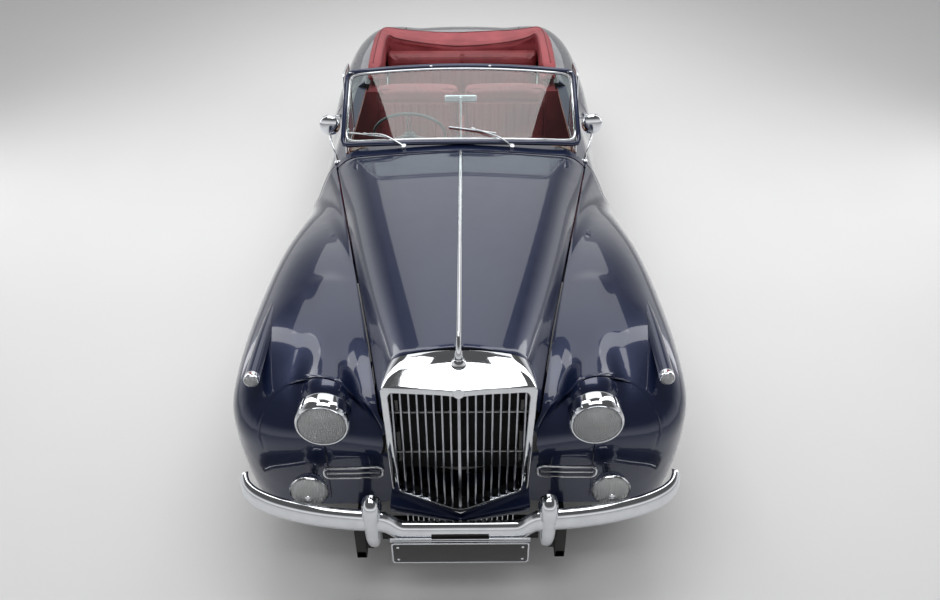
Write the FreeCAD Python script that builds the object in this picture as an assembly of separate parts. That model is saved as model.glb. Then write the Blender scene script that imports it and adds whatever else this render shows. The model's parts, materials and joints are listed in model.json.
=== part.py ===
import FreeCAD, Part
import math
import os

# A two door open tourer of the middle 1950s, its hood folded down, right hand drive.
# Frame: X across the car, +X its left side, front towards -Y, +Z up.
# The origin is on the ground under the middle of the car's length.

V = FreeCAD.Vector

# Whole car
wheelBase = 3124.0
frontOverhang = 873.0
rearOverhang = 1389.0
carLength = frontOverhang + wheelBase + rearOverhang
frontTrack = 1473.0
rearTrack = 1524.0
panelGap = 5.0
fitGap = 0.3
overrun = 60.0
startClear = 1.0
frontY = -carLength / 2
rearY = carLength / 2
frontAxleY = frontY + frontOverhang
rearAxleY = frontAxleY + wheelBase

# Wheels
tyreRadius = 352.0
tyreWidth = 208.0
rimRadius = 203.0
rimLip = 9.0
rimWidth = 152.0
hubCapRadius = 128.0
drumRadius = 158.0
stubRadius = 22.0
hubGap = 0.3
archRadius = 412.0
archRise = 14.0
rearArchRadius = 392.0

# Front wing body, a rounded pod
wingHalfWidth = 932.0
wingCoreX = 520.0
wingCoreZ = 640.0
wingCrownZ = 948.0
wingNoseAhead = 626.0
wingNoseY = frontAxleY - wingNoseAhead
wingNoseLength = 440.0
wingTailBack = 1200.0
wingTailY = frontAxleY + wingTailBack
wingFadeBack = 1720.0
wingFadeY = frontAxleY + wingFadeBack
wingFadeLength = 600.0
wingInnerDrop = 36.0
wingInnerX = 700.0
wingSkin = 9.0
wingHem = 300.0
wingBlend = 70.0

# Lamp fairings
headlampX = 523.0
headlampAhead = 621.0
headlampY = frontAxleY - headlampAhead
headlampZ = 795.0
headlampRadius = 105.0
headlampDepth = 62.0
nacelleRadius = 110.0
nacelleLength = 560.0
nacelleRise = 34.0
nacelleSpread = 62.0
nacelleBlend = 46.0
sideLampX = 798.0
sideLampAhead = 501.0
sideLampY = frontAxleY - sideLampAhead
sideLampZ = 914.0
sideLampRadius = 28.0
torpedoLength = 400.0
torpedoDrop = 14.0
torpedoBlend = 16.0

# Body side
bodyHalfWidth = 853.0
bodyWaistHalf = 706.0
bodyWidestZ = 610.0
waistZ = 992.0
sillZ = 292.0
sillTuck = 44.0
doorFrontBack = 1208.0
doorFrontY = frontAxleY + doorFrontBack
doorRearAhead = 714.0
doorRearY = rearAxleY - doorRearAhead
doorThick = 66.0
doorCoreX = 300.0
doorFootRise = 14.0
doorTopDrop = 16.0
bodySkin = 12.0
doorBevel = 24.0
quarterInner = 470.0

# Rear wings and tail
rearWingHalf = 918.0
rearWingCoreX = 610.0
rearWingCoreZ = 600.0
rearWingCrownZ = 905.0
rearWingMidBack = 26.0
rearWingMidY = rearAxleY + rearWingMidBack
rearWingHalfLength = 1190.0
rearWingBlend = 90.0
tailInset = 108.0
tailY = rearY - tailInset
deckStartAhead = 204.0
deckStartY = rearAxleY - deckStartAhead
deckZ = 1004.0
shoulderZ = 1038.0
shoulderBlend = 90.0
deckCoreZ = 560.0
tailTaper = 130.0
shoulderFall = 30.0
tailHem = 330.0
lidHingeInset = 943.0
lidHingeY = rearY - lidHingeInset
lidFootZ = 500.0
lidThick = 20.0
deckPanelBack = 106.0
deckPanelY = rearAxleY + deckPanelBack
cabinEdge = 650.0
tailCapInset = 223.0
tailCapY = rearY - tailCapInset

# Bonnet
bonnetFrontAhead = 526.0
bonnetFrontY = frontAxleY - bonnetFrontAhead
bonnetRearBack = 1114.0
bonnetRearY = frontAxleY + bonnetRearBack
bonnetRearCornerBack = 1175.0
bonnetRearCornerY = frontAxleY + bonnetRearCornerBack
bonnetFrontHalf = 318.0
bonnetRearHalf = 684.0
bonnetFrontCrown = 1099.0
bonnetRearCrown = 1112.0
bonnetSkin = 7.0
stripHalf = 9.0
stripRise = 6.0
stripSide = 1.0
bonnetBow = 10.0
browInset = 70.0
browFrontZ = 1048.0
browRearZ = 1052.0
bonnetLean = 56.0
bonnetBlend = 72.0
bonnetSeat = 1.0
blendLeast = 12.0
flankLeast = 30.0
castReach = 900.0

# Scuttle
scuttleRearBack = 1260.0
scuttleRearY = frontAxleY + scuttleRearBack
scuttleRise = 12.0
scuttleThick = 24.0
postInnerX = 640.0
postOuterX = 712.0
postDepth = 50.0
postTopZ = 905.0
tieInnerX = 650.0
tieOuterX = 860.0
tieZ = 620.0
tieHeight = 30.0
riseTopZ = 1000.0
riseWidth = 20.0
riseDepth = 16.0
riseInset = 14.0

# Radiator shell
shellHalf = 288.0
shellFrontAhead = 711.0
shellFrontY = frontAxleY - shellFrontAhead
shellLeanY = 24.0
shellPeak = 56.0
shellTopZ = 1053.0
shellCornerZ = 1019.0
shellFootZ = 497.0
shellTipZ = 420.0
shellFrame = 30.0
slatPitch = 30.6
slatWidth = 9.0
slatDepth = 34.0
coreDepth = 70.0
coreInset = 64.0
coreBack = 10.0
coreFootRise = 40.0
coreTopDrop = 60.0
coreStayHeight = 20.0
slatBack = 12.0
stayDepth = 14.0
stayHeight = 12.0
stayBack = 2.0
shellTopRise = 4.0
shellCornerX = 24.0
shellCornerRise = 6.0
shellCornerFall = 22.0
shellLowerInset = 20.0
shellFootDrop = 8.0
shellTipDrop = 16.0
shellRearCornerX = 20.0
shellRearCornerFall = 40.0
windowDrop = 8.0
windowFootRise = 14.0
windowTipRise = 12.0
windowLowerIn = 4.0

# Lower grille and the moulding over it
mouldDepth = 102.0
mouldFrontAhead = 126.0
mouldFall = 24.0
mouldSideFall = 44.0
mouldHalf = 272.0
lowBarPitch = 21.0
lowBarWidth = 5.0
lowBarDepth = 9.0
lowBarFootZ = 345.0
lowBarCarrier = 10.0
lowBarBack = 14.0

# Windscreen
screenBaseBack = 1170.0
screenBaseY = frontAxleY + screenBaseBack
screenBaseZ = 1128.0
screenTopBack = 1490.0
screenTopY = frontAxleY + screenTopBack
screenTopZ = 1446.0
screenCornerY = 62.0
screenBaseHalf = 656.0
screenTopHalf = 630.0
screenCornerDrop = 44.0
screenFrame = 34.0
screenFrameDepth = 26.0
screenGlass = 6.0
screenSlope = 400.0
wiperStand = 24.0
wiperArm = 4.0
wiperSpindle = 8.0

# Doors' quarter lights and mirrors
quarterHeight = 300.0
quarterLength = 190.0
quarterBack = 312.0
mirrorX = 727.0
mirrorBack = 1347.0
mirrorY = frontAxleY + mirrorBack
mirrorZ = 1156.0
mirrorRadius = 58.0
mirrorDepth = 46.0
mirrorStem = 7.0

# Cabin
floorZ = 322.0
floorThick = 18.0
bulkheadBack = 1020.0
bulkheadY = frontAxleY + bulkheadBack
dashBack = 1300.0
dashY = frontAxleY + dashBack
dashThick = 60.0
seatWidth = 540.0
seatTopZ = 1096.0
seatBaseZ = 590.0
seatBackBack = 2070.0
seatBackY = frontAxleY + seatBackBack
seatDepth = 520.0
seatThick = 130.0
rearSeatAhead = 224.0
rearSeatY = rearAxleY - rearSeatAhead
rearSeatTopZ = 1040.0
rearSeatBack = 110.0
rearCushionDepth = 460.0
rearCushionRise = 50.0
rearBackLean = 60.0
rearBackTop = 20.0
rearPanHalf = 560.0
rearPanZ = 500.0
rearWallAhead = 64.0
rearWallY = rearAxleY - rearWallAhead
heelAhead = 744.0
heelY = rearAxleY - heelAhead
floorHalf = 740.0
sillOut = 82.0
sillIn = 30.0
sillDrop = 30.0
sillRise = 8.0
sillStepWall = 28.0
sillTail = 200.0
tunnelHalf = 110.0
tunnelTopZ = 440.0
tunnelStart = 20.0
bulkheadHalf = 560.0
bulkheadThick = 14.0
bulkheadTopZ = 960.0
rearWallTopZ = 886.0
bufferHalf = 20.0
bufferX = 785.0
hoodShelfTail = 40.0
bootFloorZ = 500.0
wheelHubX = -300.0
steeringRadius = 216.0
steeringTube = 12.0
steeringBack = 1558.0
steeringY = frontAxleY + steeringBack
steeringZ = 1005.0
steeringTilt = 32.0
columnRadius = 22.0

# Hood stack
hoodFootZ = 905.0
hoodHalf = 640.0
hoodFrontAhead = 664.0
hoodFrontY = rearAxleY - hoodFrontAhead
hoodBackBack = 100.0
hoodBackY = rearAxleY + hoodBackBack
hoodTopZ = 1228.0
hoodGap = 4.0

# Bumpers and lamps
bumperHeight = 92.0
bumperThick = 34.0
bumperFrontAhead = 823.0
bumperFrontY = frontAxleY - bumperFrontAhead
bumperZ = 490.0
bumperInset = 66.0
bumperHalf = wingHalfWidth - bumperInset
rearBumperInset = 52.0
rearBumperHalf = rearWingHalf - rearBumperInset
bumperSweep = 218.0
rearSweep = 196.0
bumperDip = 56.0
bumperDipInnerX = 215.0
bumperDipOuterX = 300.0
bumperSkin = 5.0
rearBumperDrop = 20.0
rearOverriderOut = 60.0
overriderSeat = 1.6
mountHalf = 20.0
mountWall = 9.0
mountArm = 40.0
mountFootZ = 240.0
mountInset = 160.0
overriderX = 335.0
overriderTopZ = 604.0
overriderFootZ = 362.0
overriderWidth = 76.0
overriderDepth = 24.0
fogX = 581.0
fogAhead = 734.0
fogY = frontAxleY - fogAhead
fogZ = 556.0
fogRadius = 76.0
plateHalf = 262.0
plateHeight = 112.0
plateZ = 354.0
plateThick = 5.0
plateAhead = 2.0
plateBracketHalf = 110.0
plateSeat = 3.0
tailLampIn = 176.0
tailLampX = rearWingHalf - tailLampIn
tailLampZ = 640.0
tailLampRadius = 44.0
tailLampInset = 30.0
tailLampProud = 26.0
bucketDepth = 110.0
bucketInset = 10.0
lampRimAhead = 12.0
lampRimGap = 1.0
fogInset = 6.0
fogSeatRise = 30.0

# Frame and running gear
railX = 395.0
kickAhead = 544.0
kickY = rearAxleY - kickAhead
kickZ = 400.0
kickEndBack = 336.0
kickEndY = rearAxleY + kickEndBack
kingpinRadius = 20.0
diffRadius = 130.0
shaftZ = 258.0
shaftRadius = 30.0
exhaustX = 250.0
exhaustZ = 256.0
railWidth = 70.0
railHeight = 120.0
towEyeRadius = 13.0
railZ = 300.0
axleTube = 42.0
kingpinInset = 82.0
springWidth = 52.0
engineLength = 760.0
engineWidth = 520.0
engineHeight = 560.0
exhaustRadius = 26.0


def smoothMin(a, b, blend):
    h = max(blend - abs(a - b), 0.0) / blend
    return min(a, b) - h * h * blend / 4


def smoothMax(a, b, blend):
    return -smoothMin(-a, -b, blend)


def mixed(a, b, share):
    return a + (b - a) * share


def stepped(edge0, edge1, value):
    t = min(max((value - edge0) / (edge1 - edge0), 0.0), 1.0)
    return t * t * (3 - 2 * t)


# Height of the wing's crown and its half width along the car, as shares of the wing's length
crownShares = ((0.0, 0.845), (0.12, 0.93), (0.25, 0.99), (0.40, 1.0), (0.60, 0.985),
               (0.80, 0.93), (0.95, 0.86), (1.15, 0.76), (1.40, 0.62))
widthShares = ((0.0, 0.985), (0.15, 1.0), (0.40, 0.998), (0.65, 0.972), (0.85, 0.925),
               (1.0, 0.895), (1.25, 0.87), (1.45, 0.84))


def along(shares, t):
    if t <= shares[0][0]:
        return shares[0][1]
    for i in range(len(shares) - 1):
        t0, v0 = shares[i]
        t1, v1 = shares[i + 1]
        if t <= t1:
            before = shares[max(i - 1, 0)]
            after = shares[min(i + 2, len(shares) - 1)]
            m0 = (v1 - before[1]) / (t1 - before[0])
            m1 = (after[1] - v0) / (after[0] - t0)
            d = t1 - t0
            s = (t - t0) / d
            a = (1 + 2 * s) * (1 - s) * (1 - s)
            b = s * (1 - s) * (1 - s)
            c = s * s * (3 - 2 * s)
            e = s * s * (s - 1)
            return a * v0 + b * m0 * d + c * v1 + e * m1 * d
    return shares[-1][1]


def wingField(x, y, z):
    t = (y - wingNoseY) / (wingTailY - wingNoseY)
    crown = wingCrownZ * along(crownShares, t)
    half = wingHalfWidth * along(widthShares, t)
    drop = wingInnerDrop * max(wingInnerX - x, 0.0) ** 2 / (wingInnerX - wingCoreX) ** 2 / 3
    u = abs(x - wingCoreX) / (half - wingCoreX)
    if x < wingCoreX:
        u = abs(x - wingCoreX) / wingCoreX
    v = max(z + drop - wingCoreZ, 0.0) / max(crown - wingCoreZ, startClear)
    w = max(wingNoseY + wingNoseLength - y, 0.0) / wingNoseLength
    tuck = sillTuck * max(wingCoreZ - z, 0.0) ** 2 / (wingCoreZ - sillZ) ** 2
    u = u + tuck / (half - wingCoreX)
    fade = max(y - wingFadeY, 0.0) / wingFadeLength
    r = (u ** 3.4 + v ** 3.4 + w ** 4.4 + fade ** 4.4) ** (1 / 3.4)
    return (r - 1) * (half - wingCoreX)


def capsule(x, y, z, start, end, radius):
    px = x - start[0]
    py = y - start[1]
    pz = z - start[2]
    dx = end[0] - start[0]
    dy = end[1] - start[1]
    dz = end[2] - start[2]
    t = (px * dx + py * dy + pz * dz) / (dx * dx + dy * dy + dz * dz)
    t = min(max(t, 0.0), 1.0)
    return math.sqrt((px - dx * t) ** 2 + (py - dy * t) ** 2 + (pz - dz * t) ** 2) - radius


def nacelleField(x, y, z):
    start = (headlampX, headlampY + headlampDepth + nacelleRadius, headlampZ)
    end = (headlampX + nacelleSpread, start[1] + nacelleLength, headlampZ + nacelleRise)
    flat = capsule(x, y, z, start, end, nacelleRadius)
    return max(flat, start[1] - nacelleRadius - y)


def torpedoField(x, y, z):
    start = (sideLampX, sideLampY + sideLampRadius, sideLampZ)
    end = (sideLampX + torpedoDrop, sideLampY + torpedoLength, sideLampZ - torpedoDrop)
    return capsule(x, y, z, start, end, sideLampRadius)


hullTaperShare = 0.30


def sideHalf(y, z):
    rise = max(z - bodyWidestZ, 0.0) / (waistZ - bodyWidestZ)
    fall = max(bodyWidestZ - z, 0.0) / (bodyWidestZ - sillZ)
    lean = (bodyHalfWidth - bodyWaistHalf) * rise ** 1.45
    frontIn = hullTaperShare * max(doorFrontY - y, 0.0)
    rearIn = tailTaper * stepped(rearWingMidY, tailY * 1.15, y)
    return bodyHalfWidth - lean - sillTuck * fall * fall - frontIn - rearIn


def hullField(x, y, z):
    side = (x - sideHalf(y, z)) * 0.93
    if y < deckStartY:
        back = z - mixed(shoulderZ, deckZ, stepped(doorRearY, deckStartY, y))
    else:
        dy = (y - deckStartY) / (tailY - deckStartY)
        dz = max(z - deckCoreZ, 0.0) / (deckZ - deckCoreZ)
        back = ((dy ** 2.3 + dz ** 2.3) ** (1 / 2.3) - 1) * (deckZ - deckCoreZ)
    bulge = shoulderFall * (x / bodyWaistHalf) ** 2
    nose = wingNoseY + wingNoseLength - y
    return max(smoothMax(side, back + bulge, shoulderBlend), nose)


def rearWingField(x, y, z):
    u = (x - rearWingCoreX) / (rearWingHalf - rearWingCoreX)
    u = max(u, -2.0)
    tuck = sillTuck * max(rearWingCoreZ - z, 0.0) ** 2 / (rearWingCoreZ - sillZ) ** 2
    u = abs(u) + tuck / (rearWingHalf - rearWingCoreX)
    v = max(z - rearWingCoreZ, 0.0) / (rearWingCrownZ - rearWingCoreZ)
    w = abs(y - rearWingMidY) / rearWingHalfLength
    r = (u ** 2.6 + v ** 2.6 + w ** 3.0) ** (1 / 2.6)
    return (r - 1) * (rearWingHalf - rearWingCoreX)


def bodyField(x, y, z):
    x = abs(x)
    f = hullField(x, y, z)
    f = smoothMin(f, wingField(x, y, z), wingBlend)
    return smoothMin(f, rearWingField(x, y, z), rearWingBlend)


def cast(field, origin, direction, reach):
    low = 0.0
    high = reach
    for i in range(34):
        mid = (low + high) / 2
        p = (origin[0] + direction[0] * mid, origin[1] + direction[1] * mid,
             origin[2] + direction[2] * mid)
        if field(p[0], p[1], p[2]) < 0:
            low = mid
        else:
            high = mid
    return p


def gridSurface(grid):
    surface = Part.BSplineSurface()
    surface.interpolate([[V(*p) for p in row] for row in grid])
    return surface


sewTolerance = 0.02


def thickPanel(outer, inner):
    top = gridSurface(outer)
    low = gridSurface(inner)
    faces = [top.toShape(), low.toShape()]
    u0, u1, v0, v1 = top.bounds()
    a0, a1, b0, b1 = low.bounds()
    pairs = ((top.vIso(v0), low.vIso(b0)), (top.vIso(v1), low.vIso(b1)),
             (top.uIso(u0), low.uIso(a0)), (top.uIso(u1), low.uIso(a1)))
    for first, second in pairs:
        faces.append(Part.makeRuledSurface(first.toShape(), second.toShape()))
    skin = Part.makeCompound(faces)
    skin.sewShape(sewTolerance)
    solid = Part.makeSolid(skin.Shells[0])
    if solid.Volume < 0:
        solid.reverse()
    return solid


def mirrored(shape):
    return shape.mirror(V(0, 0, 0), V(1, 0, 0))


def fused(shapes):
    whole = shapes[0]
    for shape in shapes[1:]:
        whole = whole.fuse(shape)
    return whole


def box(x0, x1, y0, y1, z0, z1):
    return Part.makeBox(x1 - x0, y1 - y0, z1 - z0, V(x0, y0, z0))


def rod(start, end, radius):
    a = V(*start)
    b = V(*end)
    return Part.makeCylinder(radius, (b - a).Length, a, b - a)


def prism(points, axis, start, end):
    if axis == "x":
        corners = [V(start, p[0], p[1]) for p in points]
        run = V(end - start, 0, 0)
    elif axis == "y":
        corners = [V(p[0], start, p[1]) for p in points]
        run = V(0, end - start, 0)
    else:
        corners = [V(p[0], p[1], start) for p in points]
        run = V(0, 0, end - start)
    wire = Part.makePolygon(corners + [corners[0]])
    return Part.Face(wire).extrude(run)


def save(name, shapes):
    if not isinstance(shapes, (list, tuple)):
        shapes = [shapes]
    solids = []
    for shape in shapes:
        solids.extend(shape.Solids)
    bad = [s for s in solids if not s.isValid() or s.Volume <= 0]
    whole = solids[0] if len(solids) == 1 else Part.makeCompound(solids)
    whole.exportStep("parts/" + name + ".step")
    print(name, len(solids), "solids", round(whole.Volume / 1e6, 2), "litres",
          "INVALID" if bad else "")


# Bonnet edge on the wings
def bonnetEdge(y):
    t = (y - bonnetFrontY) / (bonnetRearCornerY - bonnetFrontY)
    return mixed(bonnetFrontHalf, bonnetRearHalf, min(t, 1.0))


def edgeHeight(y):
    x = bonnetEdge(y)
    p = cast(bodyField, (x, y, wingCoreZ), (0, 0, 1), wingCoreZ)
    return p[2]


def offsetGrid(grid, depth):
    result = []
    rows = len(grid)
    cols = len(grid[0])
    for i in range(rows):
        line = []
        for j in range(cols):
            a = V(*grid[min(i + 1, rows - 1)][j]) - V(*grid[max(i - 1, 0)][j])
            b = V(*grid[i][min(j + 1, cols - 1)]) - V(*grid[i][max(j - 1, 0)])
            n = a.cross(b)
            n.normalize()
            p = V(*grid[i][j]) + n * depth
            line.append((p.x, p.y, p.z))
        result.append(line)
    return result


fanStart = 0.6


def fanRow(field, origin, pole, tilt, keep, count, reach):
    def point(phi):
        c = math.cos(tilt)
        s = math.sin(tilt)
        d = (c * math.cos(phi) + s * pole[0], s * pole[1], c * math.sin(phi) + s * pole[2])
        return cast(field, origin, d, reach)

    def limit(step, furthest):
        phi = fanStart
        while abs(phi + step - fanStart) < abs(furthest - fanStart):
            if not keep(point(phi + step)):
                near = phi
                far = phi + step
                for i in range(18):
                    mid = (near + far) / 2
                    if keep(point(mid)):
                        near = mid
                    else:
                        far = mid
                return near
            phi += step
        return furthest

    low = limit(-0.12, -math.pi / 2 + 0.01)
    high = limit(0.12, 1.5 * math.pi - 0.01)
    return [point(mixed(low, high, i / (count - 1))) for i in range(count)]


def unit(v):
    n = math.sqrt(v[0] * v[0] + v[1] * v[1] + v[2] * v[2])
    return (v[0] / n, v[1] / n, v[2] / n)


def frontBody(x, y, z):
    f = bodyField(x, y, z)
    return smoothMin(f, nacelleField(x, y, z), nacelleBlend)


spineX = 640.0
spineAhead = 220.0
spineEnd = frontAxleY - spineAhead
wingApronTop = 640.0
wingFaceDepth = 150.0
wingFaceX = 690.0
hemClear = 2.0


def frontWing():
    lamp = (headlampX, headlampY, headlampZ)
    origin = (spineX, spineEnd, wingCoreZ)
    pole = unit((lamp[0] - origin[0], lamp[1] - origin[1], lamp[2] - origin[2]))

    def innerEdge(y):
        if y > bonnetFrontY:
            return bonnetEdge(y)
        return shellHalf + panelGap

    def keep(p):
        if p[0] < innerEdge(p[1]):
            return False
        if p[1] < wingNoseY + wingFaceDepth and p[0] < wingFaceX:
            return p[2] > wingApronTop
        return p[2] > wingHem + hemClear

    rows = []
    for i in range(15):
        y = mixed(doorFrontY - panelGap, spineEnd, i / 14)
        rows.append(fanRow(frontBody, (spineX, y, wingCoreZ), pole, 0.0, keep, 37, castReach))
    for i in range(1, 17):
        rows.append(fanRow(frontBody, origin, pole, 0.085 * i, keep, 37, castReach))
    inner = []
    for row, line in zip(rows, offsetGrid(rows, wingSkin)):
        inner.append([(max(q[0], innerEdge(q[1])), min(q[1], rows[0][0][1]), q[2]) for q in line])
    return rows, inner


def frontWings():
    rows, inner = frontWing()
    wing = thickPanel(rows, inner)
    arch = rod((wingCoreX, frontAxleY, tyreRadius + archRise),
               (wingHalfWidth + overrun, frontAxleY, tyreRadius + archRise), archRadius)
    wing = wing.cut(arch)
    socketY = headlampY + bucketDepth + fitGap
    wing = wing.cut(rod((headlampX, headlampY - overrun, headlampZ), (headlampX, socketY, headlampZ),
                        headlampRadius - bucketInset + fitGap))
    wing = max(wing.Solids, key=lambda s: s.Volume)
    lampEnd = V(sideLampX, sideLampY + sideLampRadius, sideLampZ)
    tailEnd = V(sideLampX + torpedoDrop, sideLampY + torpedoLength, sideLampZ - torpedoDrop)
    fairing = rod(lampEnd, tailEnd, sideLampRadius).fuse(Part.makeSphere(sideLampRadius, tailEnd))
    fairing = max(fairing.cut(wing).Solids, key=lambda s: s.BoundBox.ZMax)
    save("front_wing_left", [wing, fairing])
    save("front_wing_right", [mirrored(wing), mirrored(fairing)])


apronTop = 634.0
apronFootRise = 80.0
apronInnerIn = 12.0
apronOuterX = 684.0


def frontApron():
    rows = []
    for i in range(9):
        z = mixed(sillZ + apronFootRise, apronTop, i / 8)
        line = []
        for j in range(13):
            x = mixed(shellHalf - apronInnerIn, apronOuterX, j / 12)
            start = (x, wingNoseY + wingNoseLength + startClear, z)
            line.append(cast(frontBody, start, (0, -1, 0), wingNoseLength * 1.2))
        rows.append(line)
    inner = offsetGrid(rows, wingSkin)
    left = thickPanel(rows, inner).cut(shellSolid())
    left = max(left.Solids, key=lambda s: s.Volume)
    save("front_apron", [left, mirrored(left), moulding()])


def moulding():
    tip = shellTipZ - shellTipDrop - fitGap
    foot = shellFootZ - shellFootDrop - fitGap
    lower = shellHalf - shellLowerInset
    edge = foot + (foot - tip) * (mouldHalf - lower) / lower
    half = [(0, tip), (mouldHalf, edge), (mouldHalf, edge - mouldSideFall), (0, tip - mouldFall)]
    front = wingNoseY - mouldFrontAhead
    left = prism(half, "y", front, front + mouldDepth)
    return left.fuse(mirrored(left))


roofShare = 1.75
castDropShare = 0.55


def bonnetSection(y, share):
    half = bonnetEdge(y) - panelGap
    low = edgeHeight(y) - bonnetSeat
    t = (y - bonnetFrontY) / (bonnetRearY - bonnetFrontY)
    crown = mixed(bonnetFrontCrown, bonnetRearCrown, t) + bonnetBow * max(t * (1 - t), 0.0)
    brow = mixed(browFrontZ, browRearZ, t)
    browX = half - browInset
    drop = crown - brow
    blend = crown - drop * (half / browX) ** roofShare - low - 2 * bonnetSeat
    blend = min(max(blend, blendLeast), bonnetBlend)
    start = low - castDropShare * half
    low0 = math.atan(castDropShare)
    angle = mixed(math.pi / 2, low0, share)

    def field(x, y, z):
        roof = z - crown + drop * (x / browX) ** roofShare
        lean = bonnetLean * min(max((z - low) / max(brow - low, flankLeast), 0.0), 1.6)
        return smoothMax(roof, (x - half + lean) * 0.96, blend)

    p = cast(field, (0.0, y, start), (math.cos(angle), 0.0, math.sin(angle)), 2 * castReach)
    return max(p[0], 0.0), p[2]


def bonnetGrid(y0, rearGap, inner):
    rows = []
    for i in range(17):
        line = []
        for j in range(19):
            share = mixed(inner, 1.0, j / 18)
            x, z = bonnetSection(mixed(y0, bonnetRearY, i / 16), share)
            rear = mixed(bonnetRearY, bonnetRearCornerY, (x / bonnetRearHalf) ** 2) - rearGap
            y = mixed(y0, rear, i / 16)
            x, z = bonnetSection(y, share)
            line.append((x, y, z))
        rows.append(line)
    return rows


def bonnets():
    grid = bonnetGrid(bonnetFrontY + panelGap, panelGap, 0.0)
    grid = [[(max(p[0], stripHalf + stripSide), p[1], p[2]) for p in row] for row in grid]
    inner = offsetGrid(grid, bonnetSkin)
    panel = thickPanel(grid, inner)
    save("bonnet_left", panel)
    save("bonnet_right", mirrored(panel))
    low = []
    high = []
    for i in range(9):
        y = mixed(bonnetFrontY + fitGap, bonnetRearY - fitGap, i / 8)
        z = bonnetSection(y, 0.0)[1]
        low.append((y, z - bonnetSkin))
        high.append((y, z + stripRise))
    half = stripHalf + stripSide / 2
    save("bonnet_strip", prism(low + high[::-1], "x", -half, half))


def scuttleSolid():
    rows = []
    for i in range(5):
        line = []
        for j in range(21):
            share = abs(j / 10 - 1)
            side = -1 if j < 10 else 1
            x, z = bonnetSection(bonnetRearCornerY, share)
            bow = (x / bonnetRearHalf) ** 2
            rear = mixed(bonnetRearY, bonnetRearCornerY, bow)
            y = mixed(rear, mixed(scuttleRearY, doorFrontY - panelGap, bow), i / 4)
            line.append((side * x, y, z + scuttleRise * i / 4))
        rows.append(line)
    inner = []
    for row, line in zip(rows, offsetGrid(rows, scuttleThick)):
        inner.append([(q[0], p[1], q[2]) for p, q in zip(row, line)])
    return thickPanel(rows, inner)


def scuttle():
    rows, inner = frontWing()
    postRear = doorFrontY - panelGap
    post = box(postInnerX, postOuterX, postRear - postDepth, postRear, floorZ + floorThick + fitGap,
               postTopZ)
    tie = box(tieInnerX, tieOuterX, postRear - postDepth + riseInset, postRear - riseInset, tieZ,
              tieZ + tieHeight)
    tie = tie.cut(thickPanel(rows, inner))
    tie = min(tie.Solids, key=lambda s: s.BoundBox.XMin)
    under = scuttleSolid()
    rise = box(postInnerX, postInnerX + riseWidth, postRear - riseInset - riseDepth, postRear - riseInset,
               postTopZ - riseDepth, riseTopZ).cut(under)
    rise = min(rise.Solids, key=lambda s: s.BoundBox.ZMin)
    save("scuttle", [under] + sidePair(post.fuse(tie).fuse(rise)))


def doors():
    rows = []
    for i in range(13):
        y = mixed(doorFrontY, doorRearY - panelGap, i / 12)
        rows.append([cast(bodyField, (doorCoreX, y, mixed(sillZ + doorFootRise, waistZ - doorTopDrop,
                                                          j / 14)),
                          (1, 0, 0), castReach) for j in range(15)])
    inner = []
    for i, row in enumerate(rows):
        bevel = doorBevel * (i / 12) ** 2
        inner.append([(p[0] - doorThick, p[1] - bevel, p[2]) for p in row])
    door = thickPanel(rows, inner)
    save("door_left", door)
    save("door_right", mirrored(door))


def quarterEdge(y):
    return mixed(cabinEdge, quarterInner, stepped(deckPanelY - deckTurn, deckPanelY + deckTurn, y))


quarterSpineX = 700.0
deckTurn = 130.0
cornerTop = 700.0
cornerSeam = 3.0
cornerStart = 60.0


def rearQuarter():
    def keep(p):
        return p[0] > quarterEdge(p[1]) and p[2] > tailHem

    rows = []
    for i in range(27):
        y = mixed(doorRearY, tailCapY, math.sin(i / 26 * math.pi / 2))
        rows.append(fanRow(bodyField, (quarterSpineX, y, rearWingCoreZ), (0, 1, 0), 0.0, keep, 33,
                           castReach))
    inner = []
    for row in rows:
        line = []
        for p in row:
            ray = V(quarterSpineX, p[1], rearWingCoreZ) - V(*p)
            ray.normalize()
            q = V(*p) + ray * bodySkin
            line.append((q.x, q.y, q.z))
        inner.append(line)
    return rows, inner


def tailCorner():
    rows = []
    for i in range(13):
        z = mixed(tailHem, cornerTop, i / 12)
        edge = cast(bodyField, (quarterInner, tailCapY + cornerSeam, z), (1, 0, 0), castReach)[0]
        inner = quarterInner + seamGap
        rows.append([cast(bodyField, (mixed(inner, edge, j / 12), tailCapY - cornerStart, z), (0, 1, 0),
                          castReach)
                     for j in range(13)])
    inner = [[(x, max(y - bodySkin, tailCapY + fitGap), z) for x, y, z in row] for row in rows]
    return thickPanel(rows, inner)


seamGap = 1.0
bracketX = 250.0
bracketHalf = 20.0
bracketFront = 60.0
bracketThick = 12.0
bracketClear = 0.6
lidSeat = 1.1
floorTail = 90.0


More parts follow.
